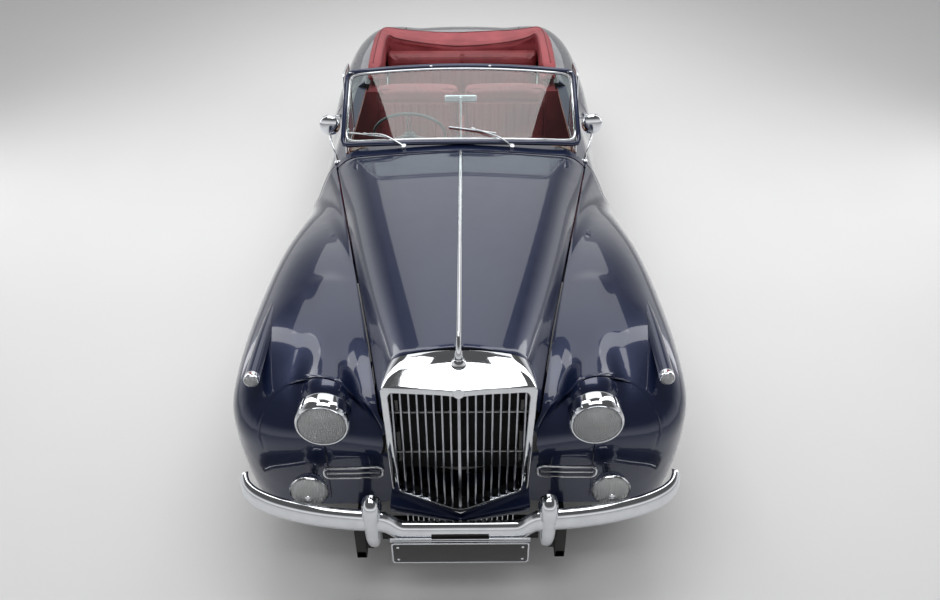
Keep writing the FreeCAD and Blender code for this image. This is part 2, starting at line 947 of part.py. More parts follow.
def rearBody():
    rows, inner = rearQuarter()
    quarter = thickPanel(rows, inner)
    arch = rod((rearWingCoreX, rearAxleY, tyreRadius + archRise),
               (rearWingHalf + overrun, rearAxleY, tyreRadius + archRise), rearArchRadius)
    quarter = quarter.cut(arch)
    quarter = max(quarter.Solids, key=lambda s: s.Volume)
    deck = []
    for i in range(9):
        y = mixed(deckPanelY, lidHingeY - panelGap, i / 8)
        half = quarterEdge(y) - 2 * seamGap
        deck.append([cast(bodyField, (mixed(-half, half, j / 12), y, deckCoreZ), (0, 0, 1), castReach)
                     for j in range(13)])
    deckPanel = thickPanel(deck, offsetGrid(deck, bodySkin))
    half = quarterInner - 2 * seamGap
    tail = []
    for i in range(6):
        z = mixed(tailHem, lidFootZ - panelGap, i / 5)
        tail.append([cast(bodyField, (mixed(-half, half, j / 10), lidHingeY, z), (0, 1, 0), castReach)
                     for j in range(11)])
    tailPanel = thickPanel(tail, offsetGrid(tail, -bodySkin))
    floor = box(-half, half, rearWallY + fitGap, tailY - floorTail, bootFloorZ, bootFloorZ + floorThick)
    reach = bracketHalf
    start = lidHingeY - bracketFront
    edge = lidHingeY - reach
    underZ = cast(bodyField, (bracketX + reach, edge, deckCoreZ), (0, 0, 1), castReach)[2] - bodySkin
    seatZ = lidPoint(bracketX + reach, 0.05)[2] - lidThick - lidSeat
    low = box(bracketX - reach, bracketX + reach, start, lidHingeY + reach, seatZ - bracketThick, seatZ)
    high = box(bracketX - reach, bracketX + reach, start, edge, seatZ - bracketThick,
               underZ - bracketClear)
    brackets = sidePair(low.fuse(high))
    save("rear_body", sidePair(quarter) + sidePair(tailCorner()) + [deckPanel, tailPanel,
                                                                    floor] + brackets)


def lidPoint(x, angle):
    d = (0, math.sin(angle), math.cos(angle))
    return cast(bodyField, (x, lidHingeY, deckCoreZ), d, castReach)


def bootLid():
    half = quarterInner - panelGap - seamGap
    last = math.pi / 2 + math.atan((deckCoreZ - lidFootZ) / (tailY - lidHingeY))
    rows = []
    for i in range(17):
        angle = mixed(0.0, last, i / 16)
        rows.append([lidPoint(mixed(-half, half, j / 12), angle) for j in range(13)])
    inner = offsetGrid(rows, lidThick)
    save("boot_lid", thickPanel(rows, inner))


def sidePair(shape):
    return [shape, mirrored(shape)]


def shellSolid():
    sideX = shellHalf
    lower = shellHalf - shellLowerInset
    foot = (lower, shellFootZ - shellFootDrop)
    tip = (0, shellTipZ - shellTipDrop)
    front = [(0, shellTopZ + shellTopRise), (sideX - shellCornerX, shellCornerZ + shellCornerRise),
             (sideX, shellCornerZ - shellCornerFall), foot, tip]
    rear = [(0, bonnetFrontCrown), (sideX - shellRearCornerX, shellTopZ - shellCornerRise),
            (sideX, shellCornerZ - shellRearCornerFall), foot, tip]

    def ring(points, y):
        full = points + [(-p[0], p[1]) for p in reversed(points[1:-1])]
        corners = [V(p[0], y, p[1]) for p in full]
        return Part.makePolygon(corners + [corners[0]])

    deep = shellFrontY - overrun
    back = bonnetFrontY
    body = Part.makeLoft([ring(front, deep), ring(rear, back)], True, True)
    hole = [(0, shellTopZ - shellFrame - windowDrop), (sideX - shellFrame,
                                                       shellCornerZ - shellFrame - shellCornerRise),
            (lower - shellFrame + windowLowerIn, shellFootZ + windowFootRise),
            (0, shellTipZ + windowTipRise)]
    window = Part.Face(ring(hole, deep - overrun)).extrude(V(0, back - deep + 3 * overrun, 0))
    body = body.cut(window)
    wide = sideX + overrun
    slant = shellFrontY + shellPeak * wide / sideX
    nose = prism([(0, shellFrontY), (wide, slant), (wide, deep - overrun), (-wide, deep - overrun),
                  (-wide, slant)], "z", 0, 2 * shellTopZ)
    nose.rotate(V(0, shellFrontY, shellTopZ), V(1, 0, 0),
                -math.degrees(math.atan(shellLeanY / (shellTopZ - shellTipZ))))
    return body.cut(nose)


def radiatorShell():
    save("radiator_shell", shellSolid())


def windowHalf(z):
    low = shellFootZ + windowFootRise
    high = shellCornerZ - shellFrame - shellCornerRise
    lower = shellHalf - shellLowerInset - shellFrame + windowLowerIn
    return mixed(lower, shellHalf - shellFrame, (z - low) / (high - low))


def radiatorSlats():
    bars = []
    count = 8
    for i in range(-count, count + 1):
        x = i * slatPitch
        t = abs(x) / (shellHalf - shellFrame)
        y = shellFrontY + shellPeak * t + slatBack
        wide = slatWidth if i else slatWidth * 1.8
        bars.append(box(x - wide / 2, x + wide / 2, y, y + slatDepth, shellTipZ, shellTopZ))
    stays = []
    reach = shellHalf
    far = shellFrontY + shellPeak + slatBack + stayBack
    for share in (0.30, 0.62):
        z = mixed(shellTopZ, shellTipZ, share)
        stays.append(box(-reach, reach, far, far + stayDepth, z, z + stayHeight))
    slats = fused(bars + stays).cut(shellSolid())
    slats = max(slats.Solids, key=lambda s: s.Volume)
    rear = bonnetFrontY - coreBack
    front = bonnetFrontY - coreDepth
    top = shellCornerZ - coreTopDrop
    core = box(-shellHalf + coreInset, shellHalf - coreInset, front, rear, shellFootZ + coreFootRise, top)
    half = windowHalf(top - coreStayHeight) - fitGap
    core = core.fuse(box(-half, half, front + stayBack, rear - stayBack, top - coreStayHeight, top))
    save("radiator_slats", [slats, core, lowerGrille()])


def lowerGrille():
    tip = shellTipZ - shellTipDrop - fitGap
    foot = shellFootZ - shellFootDrop - fitGap
    lower = shellHalf - shellLowerInset
    edge = foot + (foot - tip) * (mouldHalf - lower) / lower
    start = wingNoseY - mouldFrontAhead + lowBarBack
    bars = []
    count = 10
    for i in range(-count, count + 1):
        x = i * lowBarPitch
        near = max(abs(x) - lowBarWidth / 2, 0.0) / mouldHalf
        top = mixed(tip - mouldFall, edge - mouldSideFall, near) - fitGap
        bars.append(box(x - lowBarWidth / 2, x + lowBarWidth / 2, start, start + lowBarDepth, lowBarFootZ,
                        top))
    half = count * lowBarPitch + lowBarWidth / 2
    bars.append(box(-half, half, start, start + lowBarDepth, lowBarFootZ - lowBarCarrier, lowBarFootZ))
    return fused(bars)


stemFootAhead = 14.0
stemFootHeight = 8.0
stemFootRadius = 14.0
stemRadius = 4.0
stemReach = 120.0
cabinMirrorHalf = 90.0
cabinMirrorZ = 1290.0
cabinMirrorHeight = 38.0
cabinMirrorDepth = 20.0


def screenPoint(x, share, lift):
    half = mixed(screenBaseHalf, screenTopHalf, share)
    bend = screenCornerY * (x / half) ** 2
    drop = screenCornerDrop * (x / half) ** 2
    return (x, mixed(screenBaseY, screenTopY, share) + bend * mixed(1.0, 0.3, share),
            mixed(screenBaseZ, screenTopZ, share) - drop + lift)


def windscreen():
    def sheet(edge, thick):
        rows = []
        for i in range(7):
            share = mixed(edge / screenSlope, 1 - edge / screenSlope, i / 6)
            half = mixed(screenBaseHalf, screenTopHalf, share) - edge
            rows.append([screenPoint(mixed(-half, half, j / 14), share, 0) for j in range(15)])
        inner = offsetGrid(rows, thick / 2)
        outer = offsetGrid(rows, -thick / 2)
        return thickPanel(outer, inner)

    whole = sheet(0.0, screenFrameDepth)
    hole = sheet(screenFrame, screenFrameDepth * 3)
    frame = whole.cut(hole).cut(scuttleSolid())
    frame = max(frame.Solids, key=lambda s: s.BoundBox.ZMax)
    glass = sheet(screenFrame + fitGap, screenGlass).cut(scuttleSolid())
    glass = max(glass.Solids, key=lambda s: s.Volume)
    footY = dashY - stemFootAhead
    foot = rod((0, footY, dashTopZ + fitGap), (0, footY, dashTopZ + stemFootHeight), stemFootRadius)
    headY = dashY + stemReach
    stem = rod((0, footY, dashTopZ + stemFootHeight / 2), (0, headY, cabinMirrorZ), stemRadius)
    head = box(-cabinMirrorHalf, cabinMirrorHalf, headY, headY + cabinMirrorDepth,
               cabinMirrorZ - cabinMirrorHeight,
               cabinMirrorZ + stemRadius * 2)
    save("windscreen_frame", [frame, fused([stem, head, foot])])
    save("windscreen_glass", glass)


quarterInset = 66.0
quarterX = bodyWaistHalf - quarterInset
quarterFrontAhead = 180.0
quarterPeakAhead = 20.0
quarterRise = 120.0
quarterRearDrop = 10.0
quarterBar = 14.0
quarterMid = 4.0
quarterWall = 14.0
quarterGlass = 6.0
footInset = 16.0
footBack = 52.0
footSink = 12.0
mirrorFoot = (bodyWaistHalf - footInset, doorFrontY + footBack, waistZ - footSink)


def doorFittings():
    y0 = doorFrontY + quarterBack
    z0 = waistZ - doorTopDrop + fitGap
    rear = y0 + quarterLength
    high = z0 + quarterHeight + quarterRise
    outline = [(y0 - quarterFrontAhead, z0), (y0 - quarterPeakAhead, high), (rear, high - quarterRearDrop),
               (rear, z0)]
    foot = z0 + quarterBar
    inner = [(y0 - quarterFrontAhead + 3 * quarterBar - 0.5 * quarterMid, foot),
             (y0 - quarterPeakAhead + quarterBar, high - quarterBar - 0.5 * quarterMid),
             (rear - quarterBar, high - quarterRearDrop - quarterBar), (rear - quarterBar, foot)]
    x1 = quarterX + quarterWall
    frame = prism(outline, "x", quarterX, x1).cut(prism(inner, "x", quarterX - overrun, x1 + overrun))
    middle = (quarterX + x1) / 2
    glass = prism(inner, "x", middle - quarterGlass / 2, middle + quarterGlass / 2)
    neck = (mirrorX, mirrorY, mirrorZ - mirrorRadius + mirrorStem)
    stem = rod(mirrorFoot, neck, mirrorStem)
    head = Part.makeCylinder(mirrorRadius, mirrorDepth, V(mirrorX, mirrorY - mirrorDepth / 2, mirrorZ),
                             V(0, 1, 0))
    side = [frame.fuse(glass), stem.fuse(head)]
    save("quarter_light_left", side)
    save("quarter_light_right", [mirrored(s) for s in side])


def floorPan():
    top = floorZ + floorThick
    floor = box(-floorHalf, floorHalf, bulkheadY, heelY, floorZ, top)
    tunnel = box(-tunnelHalf, tunnelHalf, bulkheadY + tunnelStart, heelY, top, tunnelTopZ)
    bulkhead = box(-bulkheadHalf, bulkheadHalf, bulkheadY - bulkheadThick, bulkheadY, floorZ, bulkheadTopZ)
    heel = box(-rearPanHalf, rearPanHalf, heelY, heelY + floorThick, floorZ, rearPanZ)
    pan = box(-rearPanHalf, rearPanHalf, heelY, rearWallY, rearPanZ, rearPanZ + floorThick)
    wall = box(-rearPanHalf, rearPanHalf, rearWallY - floorThick, rearWallY, rearPanZ, rearWallTopZ)
    ledgeTop = hoodFootZ - fitGap
    ledge = box(-rearPanHalf, rearPanHalf, rearWallY - floorThick, hoodBackY - hoodShelfTail, rearWallTopZ,
                ledgeTop)
    sillTop = sillZ + sillRise
    sillX = floorHalf - sillIn
    tailEnd = doorRearY + sillTail
    sill = box(sillX, floorHalf + sillOut, doorFrontY, tailEnd, sillZ - sillDrop, sillTop)
    step = box(sillX, sillX + sillStepWall, doorFrontY, tailEnd, sillTop, floorZ)
    doorFoot = sillZ + doorFootRise - fitGap
    buffers = []
    for y in (doorFrontY + 4 * bufferHalf, doorRearY - 6 * bufferHalf):
        buffers.append(box(bufferX - bufferHalf, bufferX + bufferHalf, y, y + 2 * bufferHalf, sillTop,
                           doorFoot))
    side = fused([sill, step] + buffers)
    save("floor_pan", fused([floor, tunnel, bulkhead, heel, pan, wall, ledge] + sidePair(side)))


crossBack = 860.0
crossY = frontAxleY + crossBack
rearCrossAhead = 1004.0
crossBackY = rearAxleY - rearCrossAhead
padBack = 1620.0
crossDepth = 90.0
crossHeight = 40.0
crossRise = 6.0
kickRun = 190.0
kickWall = 84.0
tailRise = 60.0
tailWall = 80.0
hangerRun = 34.0
hangerWall = 40.0
springX = 530.0
springHalfLength = 600.0
springZ = 262.0
springWall = 46.0
padHalf = 25.0
eyeInset = 30.0
eyeDrop = 60.0
rearEyeRise = 100.0
seatHalf = 120.0
seatDrop = 80.0


def chassis():
    low = railZ - railHeight
    start = frontY + mountInset
    end = rearY - mountInset
    rise = kickZ + kickWall
    outline = [(start, low), (kickY, low), (kickY + kickRun, kickZ), (kickEndY, kickZ),
               (kickEndY + mountInset, low + tailRise), (end, low + tailRise),
               (end, low + tailRise + tailWall),
               (kickEndY + kickRun, low + tailRise + tailWall), (kickEndY + crossHeight, rise),
               (kickY + mountInset, rise), (kickY - crossHeight, railZ), (start, railZ)]
    rail = prism(outline, "x", railX - railWidth / 2, railX + railWidth / 2)
    cross = []
    first = start + crossHeight
    for y in (first, frontAxleY - crossDepth / 2, crossY, crossBackY):
        cross.append(box(-railX, railX, y, y + crossDepth, low + crossRise, low + crossRise + crossHeight))
    pipeTop = exhaustZ + exhaustRadius + fitGap
    for y, z in ((rearAxleY + 2 * diffRadius, kickZ + crossHeight / 2), (end - 2 * seatDrop, pipeTop)):
        cross.append(box(-railX, railX, y, y + 2 * crossHeight, z, z + crossHeight))
    pads = []
    for y in (bulkheadY + tailRise, frontAxleY + padBack, crossBackY - padHalf * 2, heelY - tailRise):
        pads.extend(sidePair(box(railX - padHalf, railX + padHalf, y - padHalf, y + padHalf, railZ,
                                 floorZ - fitGap)))
    for y, z in ((start + eyeInset, railZ - eyeDrop), (end - eyeInset, low + rearEyeRise)):
        rail = rail.cut(Part.makeCylinder(towEyeRadius, railWidth, V(railX - railWidth / 2, y, z),
                                          V(1, 0, 0)))
    hangers = []
    outer = springX + springWidth / 2
    for y in (rearAxleY - springHalfLength, rearAxleY + springHalfLength - hangerRun):
        hangers.append(box(railX, outer, y, y + hangerRun, springZ - hangerWall / 2, springZ - fitGap))
    seat = box(-seatHalf, seatHalf, first, first + crossDepth, low + crossRise + crossHeight,
               shellTipZ - seatDrop)
    side = fused([rail] + hangers)
    save("chassis_frame", fused([side, mirrored(side)] + cross + pads + [seat]))


engineFrontAhead = 130.0
engineRise = 20.0
gearboxHalf = 150.0
gearboxTopRise = 260.0
gearboxDrop = 70.0
gearboxEndGap = 20.0
mountFrontBack = 180.0
mountLength = 90.0
mountHeight = 60.0


def engine():
    start = frontAxleY - engineFrontAhead
    end = min(start + engineLength, bulkheadY - bulkheadThick - 2 * gearboxEndGap)
    half = engineWidth / 2
    foot = railZ + engineRise
    block = box(-half, half, start, end, foot, foot + engineHeight)
    gearbox = box(-gearboxHalf, gearboxHalf, end, bulkheadY - gearboxEndGap, railZ - gearboxDrop,
                  railZ + gearboxTopRise)
    arms = []
    for y in (start + mountFrontBack, end - mountFrontBack):
        arms.append(box(-railX, railX, y, y + mountLength, railZ + fitGap, railZ + mountHeight))
    save("engine_block", fused([block, gearbox] + arms))


pipeBack = 720.0
pipeTailInset = 90.0
silencerBack = 340.0
silencerLength = 960.0
hangerHalf = 8.0
hangerStart = 20.0
hangerEnd = 70.0


def exhaust():
    pipe = rod((exhaustX, frontAxleY + pipeBack, exhaustZ), (exhaustX, rearY - pipeTailInset, exhaustZ),
               exhaustRadius)
    start = frontAxleY + pipeBack + silencerBack
    silencer = rod((exhaustX, start, exhaustZ), (exhaustX, start + silencerLength, exhaustZ),
                   exhaustRadius * 2)
    hanger = box(exhaustX - hangerHalf, exhaustX + hangerHalf, crossBackY + hangerStart,
                 crossBackY + hangerEnd,
                 exhaustZ, floorZ - fitGap)
    save("exhaust_system", pipe.fuse(silencer).fuse(hanger))


tankHalf = 300.0
tankFrontGap = 10.0
tankRise = 20.0
tankTailInset = 330.0


def fuelTank():
    top = bootFloorZ - fitGap
    save("fuel_tank", box(-tankHalf, tankHalf, kickEndY + tankFrontGap, rearY - tankTailInset,
                          railZ + tankRise, top))


armLowZ = 232.0
armHighZ = 438.0
armThick = 24.0
armRootHalf = 150.0
armTipHalf = 30.0
armTipIn = 4.0
towerWidth = 60.0
towerHalf = 70.0
towerTopZ = 470.0
eyeLength = 600.0
eyeStartZ = 100.0


def frontSuspension():
    x0 = railX + railWidth / 2 + fitGap
    pin = frontTrack / 2 - kingpinInset
    tip = pin - armTipIn
    corner = box(x0, x0 + towerWidth, frontAxleY - towerHalf, frontAxleY + towerHalf, railZ - railHeight,
                 towerTopZ)
    for z in (armLowZ, armHighZ):
        corner = corner.fuse(prism([(x0, frontAxleY - armRootHalf), (x0, frontAxleY + armRootHalf),
                                    (tip, frontAxleY + armTipHalf), (tip, frontAxleY - armTipHalf)], "z",
                                   z,
                                   z + armThick))
    eye = Part.makeCylinder(kingpinRadius + fitGap, eyeLength, V(pin, frontAxleY, eyeStartZ))
    save("front_suspension", sidePair(corner.cut(eye)))


axleTubeInset = 60.0
stubOut = 36.0
shaftTailAhead = 100.0
shaftDrop = 60.0


def rearAxle():
    half = rearTrack / 2
    tube = rod((-half + axleTubeInset, rearAxleY, tyreRadius), (half - axleTubeInset, rearAxleY,
                                                                tyreRadius), axleTube)
    diff = Part.makeSphere(diffRadius, V(0, rearAxleY, tyreRadius))
    stubs = rod((-half - stubOut, rearAxleY, tyreRadius), (half + stubOut, rearAxleY, tyreRadius),
                stubRadius)
    shaftEnd = (0, rearAxleY - shaftTailAhead, tyreRadius - shaftDrop)
    shaftStart = bulkheadY - gearboxEndGap + fitGap
    slant = shaftRadius * (shaftEnd[2] - shaftZ) / (shaftEnd[1] - shaftStart)
    shaft = rod((0, shaftStart + slant, shaftZ), shaftEnd, shaftRadius)
    inner = springX - springWidth / 2
    outer = springX + springWidth / 2
    leaf = box(inner, outer, rearAxleY - springHalfLength, rearAxleY + springHalfLength, springZ,
               springZ + springWall)
    seat = box(inner, outer, rearAxleY - axleTube, rearAxleY + axleTube, springZ, tyreRadius)
    save("rear_axle", fused([tube, diff, stubs, shaft] + sidePair(leaf) + sidePair(seat)))


def revolved(points):
    corners = [V(p[0], 0, p[1]) for p in points]
    face = Part.Face(Part.makePolygon(corners + [corners[0]]))
    return face.revolve(V(0, 0, 0), V(1, 0, 0), 360)


beadDrop = 6.0
beadRise = 10.0
flankRise = 30.0
flankIn = 8.0
shoulderIn = 6.0
shoulderDrop = 34.0
treadIn = 22.0
treadDrop = 8.0


def tyreShape():
    w = tyreWidth / 2
    r = tyreRadius
    b = rimWidth / 2 - rimLip - fitGap
    low = rimRadius - beadDrop + fitGap
    right = [(b, low), (b, rimRadius + beadRise), (w - flankIn, rimRadius + flankRise),
             (w, mixed(low, r, 0.5)),
             (w - shoulderIn, r - shoulderDrop), (w - treadIn, r - treadDrop), (w * 0.6, r)]
    left = [(-x, z) for x, z in reversed(right)]
    return revolved(right + left)


lipRise = 9.0
rimWall = 14.0
discRise = 18.0
rimInnerDrop = 22.0
discFootX = 36.0
discFoot2X = 50.0
discWaist = 156.0
discNeckX = 44.0
capRimX = 62.0
capRimIn = 6.0
capMidX = 84.0
capMidRadius = 96.0
capTopX = 94.0
capTopRadius = 44.0
capEndX = 96.0
hubFaceX = 48.0
hubBackX = 34.0
hubRadius = 46.0
hubFrontX = 22.0
drumSkin = 8.0
drumBackX = 58.0
drumFrontX = 24.0
discBackX = 28.0


def wheelShape():
    a = rimWidth / 2
    r = rimRadius
    f = a - rimLip
    well = r - beadDrop
    bore = stubRadius + hubGap
    points = [(-a, r + lipRise), (-f, r + lipRise), (-f, well), (f, well), (f, r + lipRise),
              (a, r + lipRise),
              (a, r - rimWall), (discFootX, r - discRise), (discFoot2X, discWaist),
              (discNeckX, hubCapRadius),
              (capRimX, hubCapRadius - capRimIn), (capMidX, capMidRadius), (capTopX, capTopRadius),
              (capEndX, 0),
              (hubFaceX, 0), (hubFaceX, bore), (-hubBackX, bore), (-hubBackX, hubRadius),
              (hubFrontX, hubRadius),
              (hubFrontX, drumRadius - drumSkin), (-drumBackX, drumRadius - drumSkin),
              (-drumBackX, drumRadius),
              (drumFrontX, drumRadius), (discBackX, r - rimInnerDrop), (-a, r - rimInnerDrop)]
    return revolved(points)


def wheels():
    places = {"front_left": (frontTrack / 2, frontAxleY, 1), "front_right": (-frontTrack / 2, frontAxleY,
                                                                             -1),
              "rear_left": (rearTrack / 2, rearAxleY, 1), "rear_right": (-rearTrack / 2, rearAxleY, -1)}
    tyre = tyreShape()
    wheel = wheelShape()
    for place, (x, y, side) in places.items():
        for name, shape in (("tyre_", tyre), ("wheel_", wheel)):
            copy = shape if side > 0 else mirrored(shape)
            copy = copy.translated(V(x, y, tyreRadius))
            save(name + place, copy)


postLength = 270.0
postFootZ = 210.0
stubReach = 40.0
plateStart = 20.0
plateWall = 6.0
plateInset = 14.0


def knuckles():
    pin = frontTrack / 2 - kingpinInset
    post = Part.makeCylinder(kingpinRadius, postLength, V(pin, frontAxleY, postFootZ))
    stub = rod((pin, frontAxleY, tyreRadius), (frontTrack / 2 + stubReach, frontAxleY, tyreRadius),
               stubRadius)
    plate = rod((pin + plateStart, frontAxleY, tyreRadius), (pin + plateStart + plateWall, frontAxleY,
                                                             tyreRadius),
                drumRadius - plateInset)
    knuckle = fused([post, stub, plate])
    save("knuckle_left", knuckle)
    save("knuckle_right", mirrored(knuckle))


barProfileShares = ((0, -0.5), (0.55, -0.42), (1.0, -0.1), (1.0, 0.1), (0.55, 0.42), (0, 0.5))


def bumperBar(y0, z0, half, sweep, dip, ahead):
    rows = []
    for i in range(41):
        x = mixed(-half, half, i / 40)
        back = sweep * (abs(x) / half) ** 3
        z = z0 - dip * (1 - stepped(bumperDipInnerX, bumperDipOuterX, abs(x)))
        rows.append([(x, y0 + ahead * (back - p[0] * bumperThick), z + p[1] * bumperHeight)
                     for p in barProfileShares])
    inner = [[(x, y + ahead * bumperSkin, z) for x, y, z in row] for row in rows]
    return thickPanel(rows, inner)


guardToe = 50.0
guardToeBack = 8.0
guardBrowBack = 6.0
guardBrowDrop = 22.0
guardTopBack = 20.0
guardTopDrop = 12.0


def overrider(x, y, z, ahead):
    low = overriderFootZ
    high = overriderTopZ
    face = y + ahead * overriderDepth
    tail = y + ahead * (overriderDepth + bumperThick * 0.8)
    under = z - bumperHeight / 2 - fitGap
    over = z + bumperHeight / 2 + fitGap
    outline = [(y + ahead * guardToeBack, low + guardToe), (y, mixed(low, high, 0.55)),
               (y + ahead * guardBrowBack, high - guardBrowDrop), (y + ahead * guardTopBack, high),
               (tail, high - guardTopDrop), (tail, over), (face, over), (face, under), (tail, under),
               (tail, low)]
    return prism(outline, "x", x - overriderWidth / 2, x + overriderWidth / 2)


def bumperMount(y, ahead, frameEnd, z, sweep):
    back = sweep * (railX / bumperHalf) ** 3 + bumperSkin + fitGap
    face = y + ahead * back
    lift = sorted((face, face + ahead * mountWall))
    arm = sorted((face, frameEnd - ahead * fitGap))
    x0 = railX - mountHalf
    x1 = railX + mountHalf
    upright = box(x0, x1, lift[0], lift[1], mountFootZ, z + mountHalf)
    return upright.fuse(box(x0, x1, arm[0], arm[1], mountFootZ, mountFootZ + mountArm))


def bumpers():
    near = bumperSweep * ((overriderX - overriderWidth / 2) / bumperHalf) ** 3
    bar = bumperBar(bumperFrontY, bumperZ, bumperHalf, bumperSweep, bumperDip, 1)
    barFace = bumperFrontY - bumperThick
    guard = overrider(overriderX, barFace + near - overriderSeat - overriderDepth, bumperZ, 1)
    mount = bumperMount(bumperFrontY, 1, frontY + mountInset, bumperZ, bumperSweep)
    save("front_bumper", [bar] + sidePair(guard) + sidePair(mount))
    rearX = overriderX + rearOverriderOut
    near = rearSweep * ((rearX - overriderWidth / 2) / rearBumperHalf) ** 3
    proud = overriderSeat + overriderDepth
    rearBarY = rearY - bumperThick - proud + near
    rearZ = bumperZ - rearBumperDrop
    bar = bumperBar(rearBarY, rearZ, rearBumperHalf, rearSweep, 0.0, -1)
    guard = overrider(rearX, rearBarY + bumperThick - near + proud, rearZ, -1)
    mount = bumperMount(rearBarY, -1, rearY - mountInset, rearZ, rearSweep)
    save("rear_bumper", [bar] + sidePair(guard) + sidePair(mount))


def lamps():
    bucketY = headlampY + bucketDepth
    rimY = headlampY - lampRimAhead
    rim = rod((headlampX, rimY, headlampZ), (headlampX, headlampY - lampRimGap, headlampZ), headlampRadius)
    head = rod((headlampX, rimY, headlampZ), (headlampX, bucketY, headlampZ), headlampRadius - bucketInset)
    start = (fogX, wingNoseY + wingNoseLength + startClear, fogZ + fogSeatRise)
    seat = cast(frontBody, start, (0, -1, 0), wingNoseLength * 1.2)
    fog = rod((fogX, fogY, fogZ), (fogX, seat[1] - fitGap, fogZ), fogRadius - fogInset)
    slant = sideLampRadius * torpedoDrop * 1.5 / torpedoLength
    sideEnd = sideLampY + sideLampRadius - slant - fitGap
    side = rod((sideLampX, sideLampY, sideLampZ), (sideLampX, sideEnd, sideLampZ), sideLampRadius)
    shapes = []
    for lamp in (head.fuse(rim), fog, side):
        shapes.extend(sidePair(lamp))
    save("front_lamps", shapes)
    x = tailLampX - tailLampInset
    face = cast(bodyField, (x, tailCapY - overrun, tailLampZ), (0, 1, 0), castReach)[1]
    tail = rod((x, tailCapY - tailLampRadius, tailLampZ), (x, face + tailLampProud, tailLampZ),
               tailLampRadius)
    tail = max(tail.cut(tailCorner()).Solids, key=lambda s: s.BoundBox.YMax)
    save("tail_lamps", sidePair(tail))


def plates():
    face = frontY + plateAhead
    back = face + plateThick
    barFace = bumperFrontY - bumperThick - plateSeat
    low = plateZ - plateHeight / 2
    front = box(-plateHalf, plateHalf, face, back, low, low + plateHeight)
    drop = box(-plateBracketHalf, plateBracketHalf, back, barFace, plateZ, bumperZ - bumperDip)
    save("number_plates", front.fuse(drop))


dashFootZ = 880.0
dashTopZ = 1060.0
dashInset = 94.0
dashHalf = bodyWaistHalf - dashInset
dashRake = 30.0
dashTopFall = 4.0
dashFootRise = 20.0
shelfHalf = 560.0
shelfZ = 930.0
shelfThick = 15.0
shelfGap = 4.0
columnLength = 268.0
columnStart = 32.0
bossRadius = 40.0
bossRise = 8.0
spokeRadius = 7.0


def cabin():
    dash = prism([(dashY, dashFootZ), (dashY - dashRake, dashTopZ), (dashY + dashThick,
                                                                     dashTopZ - dashTopFall),
                  (dashY + dashThick + dashFootRise, dashFootZ + dashFootRise)], "x", -dashHalf, dashHalf)
    tilt = math.radians(90 - steeringTilt)
    hub = V(wheelHubX, steeringY, steeringZ)
    axis = V(0, -math.sin(tilt), -math.cos(tilt))
    shelf = box(-shelfHalf, shelfHalf, bulkheadY + fitGap, dashY - shelfGap, shelfZ, shelfZ + shelfThick)
    column = Part.makeCylinder(columnRadius, columnLength, hub + axis * (columnStart + fitGap), axis)
    save("dashboard", dash.fuse(column).fuse(shelf))
    ring = Part.makeTorus(steeringRadius - steeringTube, steeringTube, hub, axis)
    wheel = ring.fuse(Part.makeCylinder(bossRadius, bossRadius, hub - axis * bossRise, axis))
    for angle in (90.0, 210.0, 330.0):
        spoke = Part.makeCylinder(spokeRadius, steeringRadius - steeringTube, hub, V(1, 0, 0))
        spoke.rotate(hub, axis, angle)
        wheel = wheel.fuse(spoke)
    save("steering_wheel", wheel)


seatSpread = 12.0
backStart = 30.0
backSink = 60.0
backLean = 50.0
backTopBack = 140.0
backFootBack = 110.0
baseHalf = 150.0
baseFront = 40.0
baseRear = 20.0


def seats():
    x = seatWidth / 2 + seatSpread
    x0 = x - seatWidth / 2
    x1 = x + seatWidth / 2
    front = seatBackY - seatDepth
    foot = seatBaseZ - backSink
    cushion = box(x0, x1, front, seatBackY, seatBaseZ - seatThick, seatBaseZ)
    back = prism([(seatBackY - backStart, foot), (seatBackY + backLean, seatTopZ),
                  (seatBackY + backTopBack, seatTopZ),
                  (seatBackY + backFootBack, foot)], "x", x0, x1)
    base = box(x - baseHalf, x + baseHalf, front + baseFront, seatBackY - baseRear, floorZ + floorThick,
               seatBaseZ - seatThick)
    save("front_seats", sidePair(cushion.fuse(back).fuse(base)))
    pan = rearPanZ + floorThick
    low = box(-rearPanHalf, rearPanHalf, rearSeatY - rearCushionDepth, rearSeatY, pan,
              seatBaseZ + rearCushionRise)
    rear = rearSeatY + rearSeatBack
    back = prism([(rearSeatY - rearBackLean, pan), (rearSeatY + rearBackTop, rearSeatTopZ),
                  (rear, rearSeatTopZ),
                  (rear, pan)], "x", -rearPanHalf, rearPanHalf)
    save("rear_seat", low.fuse(back))


hoodCornerRun = 190.0
hoodInnerRun = 60.0
hoodArm = 74.0
hoodRollDepth = 150.0
hoodNoseZ = 1070.0
hoodNoseAhead = 50.0
hoodSlopeRun = 440.0
hoodSlopeRise = 60.0


